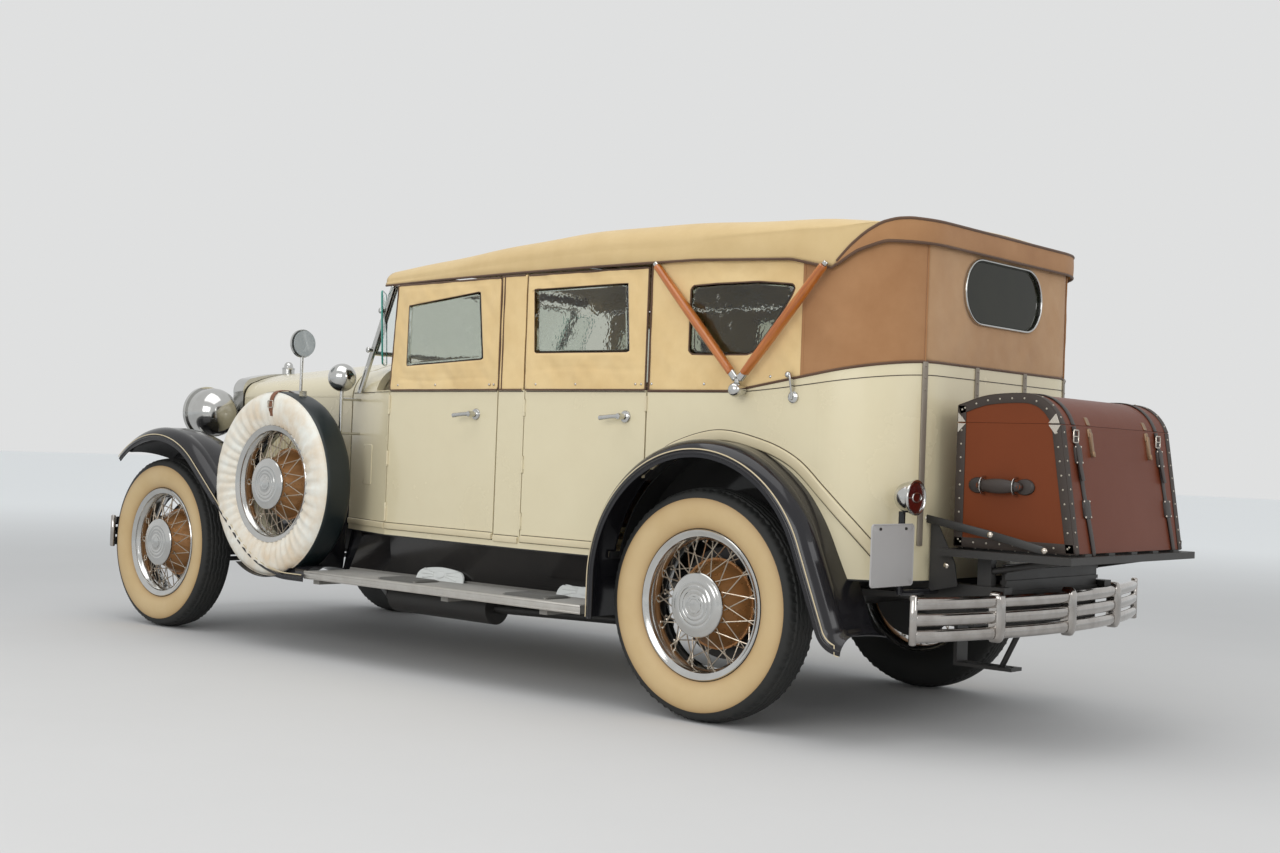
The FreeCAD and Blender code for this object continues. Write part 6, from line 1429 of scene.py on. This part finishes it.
def rack_arms():
    """Flat folding arms from the body to the rack, with bolts, and the gusset under each."""
    arms = Piece()
    bolts = Piece()
    for ends in (((-690, 462, 742), (-950, 462, 698)), ((-940, 470, 701), (-1130, 470, 662))):
        arms.sweep(placed(ends), rounded(0.026, 0.007, 0.002, 2), (0, 1, 0), ease=0.001)
        for forward, side, height in ends:
            bolts.add(dome(place(forward, side + 4, height), 0.011, 0.007, "y", 12))
    gusset = even_loop([(-706, 735), (-728, 735), (-800, 600), (-812, 525), (-706, 500)], 60)
    arms.add(raised_plate(gusset, on_side(446.0), -3.0, 3.0, 2.0))
    bolts.add(dome(place(-770, 449, 590), 0.011, 0.006, "y", 12))
    arms.pair("rack_arms", black_dull)
    bolts.pair("rack_bolts", nickel)


# Trunk

TRUNK_SIDE = 412.0
TRUNK_FRONT = -775
TRUNK_SEAM = 1062.0
TRUNK_MIDDLE = np.array([-960.0, 900.0])
LID_LINE = curve([(TRUNK_FRONT, 1118), (-880, 1150), (-1004, 1158), (-1062, 1148), (-1100, 1124),
                  (-1125, 1094), (-1141, TRUNK_SEAM)], 60)
BOX_LINES = [even([(TRUNK_FRONT, 655), (TRUNK_FRONT, 1059)], 14), even([(-1203, 655), (-1141, 1059)], 14),
             even([(TRUNK_FRONT, 655), (-1203, 655)], 14)]
STRAP = (0.024, 0.0044, 0.0018)


def inward(line, amount):
    """A line in side view moved along its normal towards the trunk's middle, and the normal."""
    step = unit(np.gradient(line, axis=0))
    normal = np.stack([-step[:, 1], step[:, 0]], -1)
    normal = normal * np.sign((normal * (TRUNK_MIDDLE - line)).sum(-1, keepdims=True))
    return line + normal * amount, normal


def out_of(normal):
    """Outward directions in space from inward normals in side view."""
    return np.stack([-normal[:, 0], 0 * normal[:, 0], -normal[:, 1]], -1)


def rear_face(height, out=0.0):
    """Distance forward of the trunk's rear face at a height."""
    return np.interp(height, (655.0, TRUNK_SEAM), (-1203.0, -1141.0)) - out


def on_rear_face(a, b, h):
    """Places on the trunk's rear face: across, up and height off the face."""
    return place(rear_face(b, h), a, b)


def on_lid_face(a, b, h):
    """Places on the lid's rear lip: across, up and height off the face."""
    return place(np.interp(b, (TRUNK_SEAM, 1094.0), (-1141.0, -1125.0)) - h, a, b)


def trunk_edges():
    """Dark edge bands with pale rivets, on the box and on the lid."""
    lid_lines = [even([(TRUNK_FRONT, 1065), (TRUNK_FRONT, 1118)], 5), LID_LINE]
    for body, lines, tag in (("chassis", BOX_LINES, "box"), ("trunk_lid", lid_lines, "lid")):
        bands = Piece()
        rivets = Piece()
        for line in lines:
            inner, normal = inward(line, 15.0)
            count = max(int(distance_along(line)[-1] / 44), 2)
            path = place(inner[:, 0], TRUNK_SIDE + 1.0, inner[:, 1])
            bands.sweep(path, rounded(0.030, 0.0034, 0.0014), (0, 1, 0), ease=0.0008, both=True)
            for a, b in even(inner, count * 2 + 1)[1::2]:
                rivets.add(dome(place(a, TRUNK_SIDE + 2.6, b), 0.0038, 0.0025, "y", 6), both=True)
            over = inward(line, -1.0)[0]
            path = place(over[:, 0], TRUNK_SIDE - 14.0, over[:, 1])
            bands.sweep(path, rounded(0.031, 0.0034, 0.0014), out_of(normal), ease=0.0008, both=True)
            for k, spot in enumerate(even(line, count * 2 + 1)[1::2]):
                way = -normal[min(int((k + 0.5) / count * len(line)), len(line) - 1)]
                main = 0 if abs(way[0]) > abs(way[1]) else 1
                head = place(spot[0] + way[0] * 2.6, TRUNK_SIDE - 14.0, spot[1] + way[1] * 2.6)
                rivets.add(dome(head, 0.0038, 0.0025, "xz"[main], 6, float(np.sign(way[main]))), both=True)
        bands.build(f"trunk_bands_{tag}", band_black, body, 50)
        rivets.build(f"trunk_rivets_{tag}", rivet_white, body)


def trunk_straps():
    """Two straps over the lid and down the rear face, with their keepers, tongues and buckles."""
    over, normal = inward(LID_LINE, -2.4)
    seam, foot, buckle = 1058.0, 648.0, 1026.0
    for name, top_y, foot_y in (("left", 330.0, 285.0), ("right", -300.0, -335.0)):

        def side_at(height):
            return top_y + (foot_y - top_y) * (seam - height) / 410.0

        upper = Piece().sweep(place(over[:, 0], top_y, over[:, 1]), rounded(*STRAP), out_of(normal),
                      ease=0.001)
        upper.build(f"trunk_strap_top_{name}", strap_hide, "trunk_lid")
        lower = Piece()
        metal = Piece()
        share = np.linspace(0, 1, 30)
        height = seam + (foot - seam) * share
        line = place(rear_face(height, 3.4 + 1.5 * np.sin(share * 9)), side_at(height), height)
        lower.sweep(line, rounded(*STRAP), (-1, 0, 0.15), ease=0.001)
        for height in (968.0, 795.0):
            pad = rounded(46, 60, 8) + (side_at(height), height)
            lower.add(raised_plate(pad, on_rear_face, 0.0, 8.0, 2.5, 1.5))
            for a, b in ((-19, -25), (19, -25), (-19, 25), (19, 25)):
                spot = place(rear_face(height + b, 7.0), side_at(height) + a, height + b)
                metal.add(dome(spot, 0.004, 0.003, "x", 8, -1))
        tongue = np.array([place(rear_face(z, 9.0 + 2 * k), top_y - 4 * k, z)
                           for k, z in enumerate((1000, 930, 885))])
        lower.sweep(curve(tongue, 14), rounded(0.022, 0.004, 0.0018), (-1, 0, 0.15), ease=0.001)
        lower.build(f"trunk_strap_{name}", strap_hide)
        loop = rounded(0.034, 0.040, 0.006)
        shift = np.stack([0 * loop[:, 0], loop[:, 0], loop[:, 1]], -1)
        line = place(rear_face(buckle, 8.0), top_y, buckle) + shift
        metal.sweep(line, circle(0.0026, 8), (1, 0, 0), closed=True)
        bar = place(rear_face(buckle, 9.0), [top_y - 17, top_y + 17], buckle)
        metal.sweep(bar, circle(0.0022, 8), (1, 0, 0), ease=0.001)
        metal.build(f"trunk_buckles_{name}", nickel)


def trunk_fittings():
    """Side handles with their loops, metal corners at the seam, and the two latches."""
    handle = Piece()
    loops = Piece()
    for forward in (-858.0, -1026.0):
        pad = circle(1.0, 28) * (34, 26) + (forward, 858)
        handle.add(raised_plate(pad, on_side(TRUNK_SIDE), 0.0, 8.0, 3.0, 2.0), both=True)
    path = curve([(-866, 424, 858), (-880, 434, 858), (-910, 438, 858), (-942, 439, 858), (-974, 438, 858),
                  (-1004, 434, 858), (-1018, 424, 858)], 40)
    size = np.stack([np.full(40, 0.0105), 0.012 + 0.012 * np.sin(np.pi * np.linspace(0, 1, 40))], -1)
    handle.sweep(placed(path), rounded(2.0, 2.0, 0.9, 4)[None] * size[:, None], ease=0.003, both=True)
    handle.build("trunk_handles", strap_hide)
    for forward in (-884.0, -1000.0):
        line = curve([(forward, 414, 886), (forward, 436, 884), (forward, 451, 870), (forward, 452, 858),
                      (forward, 451, 846), (forward, 436, 832), (forward, 414, 830)], 30)
        loops.sweep(placed(line), rounded(0.009, 0.003, 0.0014), (1, 0, 0), ease=0.001, both=True)
    loops.build("trunk_handle_loops", chrome)
    for body, tip, low, rear in (("chassis", 1028, 1060, -1143), ("trunk_lid", 1096, 1064, -1139)):
        corners = Piece()
        for shape in (((-776, low), (-776, tip), (-806, low)), ((rear, low), (-1126, tip), (-1100, low))):
            plate = raised_plate(even_loop(shape, 25), on_side(TRUNK_SIDE + 2.4), -1.0, 2.2, 1.0)
            corners.add(plate, both=True)
        corners.build(f"trunk_corners_{body}", nickel, body)
    for name, side in (("left", 218.0), ("right", -222.0)):
        hasp = Piece().add(raised_plate(rounded(24, 26, 4) + (side, 1078), on_lid_face, 0.0, 4.0, 1.0))
        hasp.build(f"trunk_hasp_{name}", brass, "trunk_lid")
        latch = Piece()
        for width, height, z, out in ((24, 30, 1040, 4.0), (15, 74, 1006, 9.0), (10, 20, 972, 13.0)):
            latch.add(raised_plate(rounded(width, height, 4) + (side, z), on_rear_face, 0.0, out, 1.5, 1.0))
        latch.build(f"trunk_latch_{name}", brass)


# Tail lamps, plate and bumpers


def tail_lamps():
    """Bullet lamps with bezels, dark lenses with an oval in the middle, their arms, and the blank plate."""
    centre = place(-742, 622, 811)
    shell = curve([(-62, 0), (-60.5, 14), (-53, 31), (-38, 44), (-18, 51), (0, 53)], 24)
    shell = np.vstack([shell, [(3, 53.5), (4, 57), (8, 58.5), (13, 57.5), (14, 54), (12, 50),
                              (7, 48), (4, 0)]])
    drum = Piece().add(turned(shell / 1000, centre, "x", 48, -1))
    ring = circle(1.0, 36) * (0.026, 0.015)
    line = centre + np.stack([np.full(36, -0.0135), ring[:, 0], ring[:, 1]], -1)
    drum.sweep(line, circle(0.0022, 8), (1, 0, 0), closed=True)
    for way in (-1, 1):
        ear = np.array([centre + (-0.0125, way * 0.027, 0), centre + (-0.010, way * 0.046, 0)])
        drum.sweep(ear, circle(0.002, 8), (1, 0, 0))
    replace_each(drum.pair("tail_lamp", chrome), "tail_lamps")
    face = np.array([(5, 0), (5, 49.5), (8, 49), (10, 40), (12, 20), (12.6, 0)]) / 1000
    Piece().add(turned(face, centre, "x", 48, -1)).pair("tail_lens", red_lens)
    post = placed([(-702, 622, 765), (-702, 622, 640), (-702, 620, 520), (-702, 600, 501),
                   (-702, 395.3, 500)])
    arm = Piece().sweep(curve(post, 40), circle(0.0112, 14), (1, 0, 0), ease=0.001)
    arm.pair("tail_lamp_arm", black_gloss)
    middle = (725, 627)
    sheet = Piece().add(raised_plate(rounded(250, 200, 14, 6) + middle, on_tail(-735.0), -1.6, 1.6, 0.8))
    sheet.build("blank_plate", plate_grey)
    line = rounded(245, 195, 12, 6) + middle
    rim = Piece().sweep(place(-736.8, line[:, 0], line[:, 1]), circle(0.0014, 6), (1, 0, 0), closed=True)
    rim.build("plate_edge", plate_grey)
    holder = Piece()
    round_bar(holder, [(-733, 622, 697), (-702, 622, 697)], 10.0)
    for side in (650.0, 800.0):
        holder.add(raised_plate(rounded(15, 9, 4, 4) + (side, 711), on_tail(-736.6), -0.5, 0.9, 0.4))
    holder.build("plate_holder", black_dull)


def bumpers():
    """Sprung bars of rounded section in place of each plain bar, eyes at the ends and domed clamps."""
    half, bow = 805, 128
    face = [(-8, -19), (-3, -20.5), (2, -19), (6, -14.5), (8, -8), (8.5, 0), (8, 8), (6, 14.5), (2, 19),
            (-3, 20.5), (-8, 19)]
    pin = [(-0.078, 0), (-0.078, 0.008), (-0.074, 0.0125), (0.074, 0.0125), (0.078, 0.008), (0.078, 0)]
    outline = rounded(46, 166, 22.5, 8)
    levels = ((0, -30), (1, -30), (1, -4), (0.97, 2), (0.88, 6.5), (0.7, 9.5), (0.4, 11), (0, 11.5))
    for name, middle, way, rail_end in (("rear", -1000.0, -1, -950.0), ("front", 3891.0, 1, 3796.0)):

        def bar_at(side, back):
            return middle - way * (bow * (side / half) ** 2 + back)

        side = np.linspace(-806, 806, 90)
        metal = Piece()
        for height in (387.0, 437.0, 487.0):
            metal.sweep(place(bar_at(side, 7), side, height), np.array(face) * (way, 1) / 1000, ease=0.002)
        metal.add(turned(pin, place(middle - way * 136.0, 799, 437), "z", 20), both=True)
        bars = metal.build(f"bumper_bars_{name}", bumper_plate, sharp=50)
        if name == "rear":
            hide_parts("bumpers")
        start = bar_at(369.0, 12)
        path = place([start, (start + rail_end) / 2, rail_end], 369.0, 485)
        irons = Piece().sweep(path, rounded(0.034, 0.028, 0.005, 2), ease=0.002, both=True)
        irons.build(f"bumper_irons_{name}", black_dull)
        clamps = Piece()
        for y in (-430.0, 0.0, 430.0):
            rows = []
            for scale, height in levels:
                spot = outline * scale + (y, 437)
                rows.append(place(bar_at(y, -height), spot[:, 0], spot[:, 1]))
            clamps.add(np.stack(rows))
        clamps.build(f"bumper_clamps_{name}", bumper_plate, sharp=60)


# Windscreen, radiator, lamps and inside

SCREEN_LOW = 1318.0
SCREEN_TOP = 1606.0
SCREEN_RAKE = 127.0


def screen_at(height):
    """Distance forward of the raked windscreen at a height."""
    return 2062.0 - SCREEN_RAKE * (height - SCREEN_LOW) / (SCREEN_TOP - SCREEN_LOW)


def windscreen():
    """Bright raked posts and frame, the pane, and a glass wing held by two clamps on each post."""
    metal = Piece()
    for low, side, radius in ((1142, 575, 13), (SCREEN_LOW, 560, 8)):
        round_bar(metal, [(screen_at(low), side, low), (screen_at(SCREEN_TOP), side, SCREEN_TOP)], radius,
                  both=True)
    metal.add(dome(place(1935, 575, 1605), 0.015, 0.016, "z", 16), both=True)
    for height in (SCREEN_LOW, SCREEN_TOP):
        round_bar(metal, [(screen_at(height), -577, height), (screen_at(height), 577, height)], 11)
    lean = math.atan2(SCREEN_TOP - SCREEN_LOW, SCREEN_RAKE)
    out = np.array([math.sin(lean), 0, math.cos(lean)])
    up = np.array([-math.cos(lean), 0, math.sin(lean)])
    middle = place(screen_at(1462), 0, 1462)

    def spread(a, b, h):
        return middle + (a[:, None] * np.array([0, 1, 0]) + b[:, None] * up + h * out) / 1000

    pane = Piece().add(raised_plate(rounded(1100, 308, 6, 3), spread, -3.0, 3.0, 1.0))
    pane.build("windscreen_pane", plate_glass)
    shape = np.array([(1983, 1576), (1863, 1576), (1955, 1270), (2075, 1270)], float)
    wing_middle = shape.mean(0)
    soft = even_loop(shape, 80) * 0.8 + curve(np.vstack([shape, shape[:1]]), 80)[:-1] * 0.2
    soft = wing_middle + (soft - wing_middle) * 0.985
    turn = math.radians(-48.0)

    def spread_wing(a, b, h):
        ahead = a - 1975.0
        off = 9.0 + h
        forward = 1975.0 + ahead * math.cos(turn) - off * math.sin(turn)
        return place(forward, 575.0 + ahead * math.sin(turn) + off * math.cos(turn), b)

    wing = Piece().add(raised_plate(soft, spread_wing, -2.5, 2.5, 1.0))
    replace_each(wing.pair("wing_glass", plate_glass), "windscreen")
    rim = Piece().sweep(spread_wing(soft[:, 0], soft[:, 1], 0.0), circle(0.0042, 8), (0, 1, 0.2), closed=True)
    rim.pair("wing_edge", edge_glass)
    for height in (1330.0, 1500.0):
        forward = screen_at(height)
        round_bar(metal, [(forward, 573, height), (forward, 606, height)], 9.5, both=True)
        metal.add(dome(place(forward, 606, height), 0.013, 0.008, "y", 16), both=True)
    metal.build("windscreen_frame", chrome)


def radiator():
    """Core of upright shutters in the shell's recess, a ringed cap, the headlamp lenses and the mirrors."""
    core = Piece()
    for side in np.linspace(-250, 250, 34):
        core.sweep(place(3459.5, side, [650, 1210]), rounded(0.012, 0.004, 0.0018, 2), (1, 0.5, 0),
                   ease=0.001)
    core.build("radiator_shutters", black_dull)
    cap = np.array([(0, 0), (0, 33), (6, 34), (10, 30), (13, 24), (16, 23.5), (28, 21), (38, 12), (40, 0)])
    Piece().add(turned(cap / 1000, place(3454, 0, 1290), "z", 40)).build("radiator_cap", chrome)
    # Headlamp lenses and mirror faces in opaque pale grey: painted reflection.
    for name, centre, sides, face in (
            ("headlamp_lens", place(3468, 432, 1045), 48,
             [(80, 0), (80, 112), (86, 113), (92, 100), (97, 60), (98.5, 0)]),
            ("mirror_glass", place(2300, 776, 1348), 40, [(-17, 0), (-17, 57), (-14, 57), (-13, 0)])):
        Piece().add(turned(np.array(face) / 1000, centre, "x", sides)).pair(name, pale_reflection_glass)


def hood_details():
    """Raised louvres along each hood side, and the cowl's vent door."""
    slats = Piece()
    taper = 230.0 / 1152.0
    up = np.linspace(0, 1, 14)
    swell = 6.0 * np.sin(np.pi * up) ** 0.35
    for forward in np.arange(2460.0, 3200.0, 33.0):
        wall = 530.0 - (forward - 2248.0) * taper
        rows = [place(forward - along, wall + along * taper + 0.5 + lift * swell, 790 + 250 * up)
                for along, lift in ((-8, 0.0), (-4, 0.7), (2, 1.0), (6, 0.85), (8, 0.0))]
        slats.add(np.stack(rows), around=False)
    slats.pair("hood_louvres", cream, "hood_side_{side}")

    def spread(a, b, h):
        return place(a, half_width(a) + h, b)

    vent = Piece().add(raised_plate(rounded(91, 175, 8, 4) + (2045.5, 827.5), spread, -1.0, 2.2, 1.5))
    vent.pair("cowl_vent", cream)


def seat_cushion(low, high, rolls, seed):
    """Pleated cushion: a rounded block whose upper and front faces rise in rolls, closed all round.

    Points run over a sphere's directions; each is pushed out to a block with rounded corners, then the
    top is raised by crown * |sin(rolls)| along the seat. The result is in mm.
    """
    across = np.linspace(0, 2 * np.pi, 184, endpoint=False)
    up = np.linspace(-np.pi / 2, np.pi / 2, 44)[:, None]
    crown = 16.0

    def bend(value):
        return np.sign(value) * np.abs(value) ** 0.22

    y = bend(np.cos(up)) * bend(np.cos(across))
    x = bend(np.cos(up)) * bend(np.sin(across))
    z = np.broadcast_to(bend(np.sin(up)), x.shape)
    low, high = np.asarray(low, float), np.asarray(high, float)
    middle, half = (low + high) / 2, (high - low) / 2
    forward, side, height = middle[0] + x * half[0], middle[1] + y * half[1], middle[2] + z * half[2]
    pleat = np.abs(np.sin((side - low[1]) / (high[1] - low[1]) * np.pi * rolls)) ** 0.6 - 1
    puff = np.cos(np.pi / 2 * np.clip((side - middle[1]) / half[1], -1, 1)) ** 0.3
    height = height + crown * np.clip(z, 0, 1) * (0.55 * pleat + 0.45 * (puff - 1))
    height = height + 0.8 * np.sin(side / 37 + seed)
    forward = forward + 0.4 * crown * np.clip(x, 0, 1) * pleat
    return np.stack([forward, side, height], -1)


def leaning_back(half_length, tall, thick, rolls, foot, top):
    """Pleated back: a cushion laid along the line from foot to top, its pleated face ahead."""
    half = np.array((tall / 2, half_length, thick / 2))
    flat = seat_cushion(-half, half, rolls, 2) / 1000
    foot, top = place(foot[0], 0, foot[1]), place(top[0], 0, top[1])
    rise = unit(top - foot)
    ahead = np.array([rise[2], 0, -rise[0]])
    side = np.array([0, 1, 0])
    return (foot + top) / 2 + flat[..., 0:1] * rise + flat[..., 1:2] * side + flat[..., 2:3] * ahead


def seats():
    """Two benches, each a pleated cushion and a pleated, leaning back."""
    front = np.moveaxis(seat_cushion((1015, -598, 600), (1468, 598, 850), 14, 14), -1, 0)
    rear = np.moveaxis(seat_cushion((-325, -558, 600), (228, 558, 860), 12, 12), -1, 0)
    for name, rows in (
            ("front_cushion", place(*front)),
            ("front_back", leaning_back(598, 410, 112, 14, (1010, 805), (985, 1200))),
            ("rear_cushion", place(*rear)),
            ("rear_back", leaning_back(558, 370, 140, 12, (-255, 795), (-345, 1160)))):
        cushion = Piece().add(rows).build(name, seat_hide, sharp=60)
        if name == "front_cushion":
            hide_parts("seats")


set_camera()
set_studio()
dress_nodes()
header_bow()
canopy()
door_curtains()
pillar_cloth()
fixed_cloth()
rear_band()
top_fittings()
body_lines()
pinstripes()
wheels()
spares()
boards()
door_handles()
rack_arms()
trunk_edges()
trunk_straps()
trunk_fittings()
tail_lamps()
bumpers()
windscreen()
radiator()
hood_details()
seats()
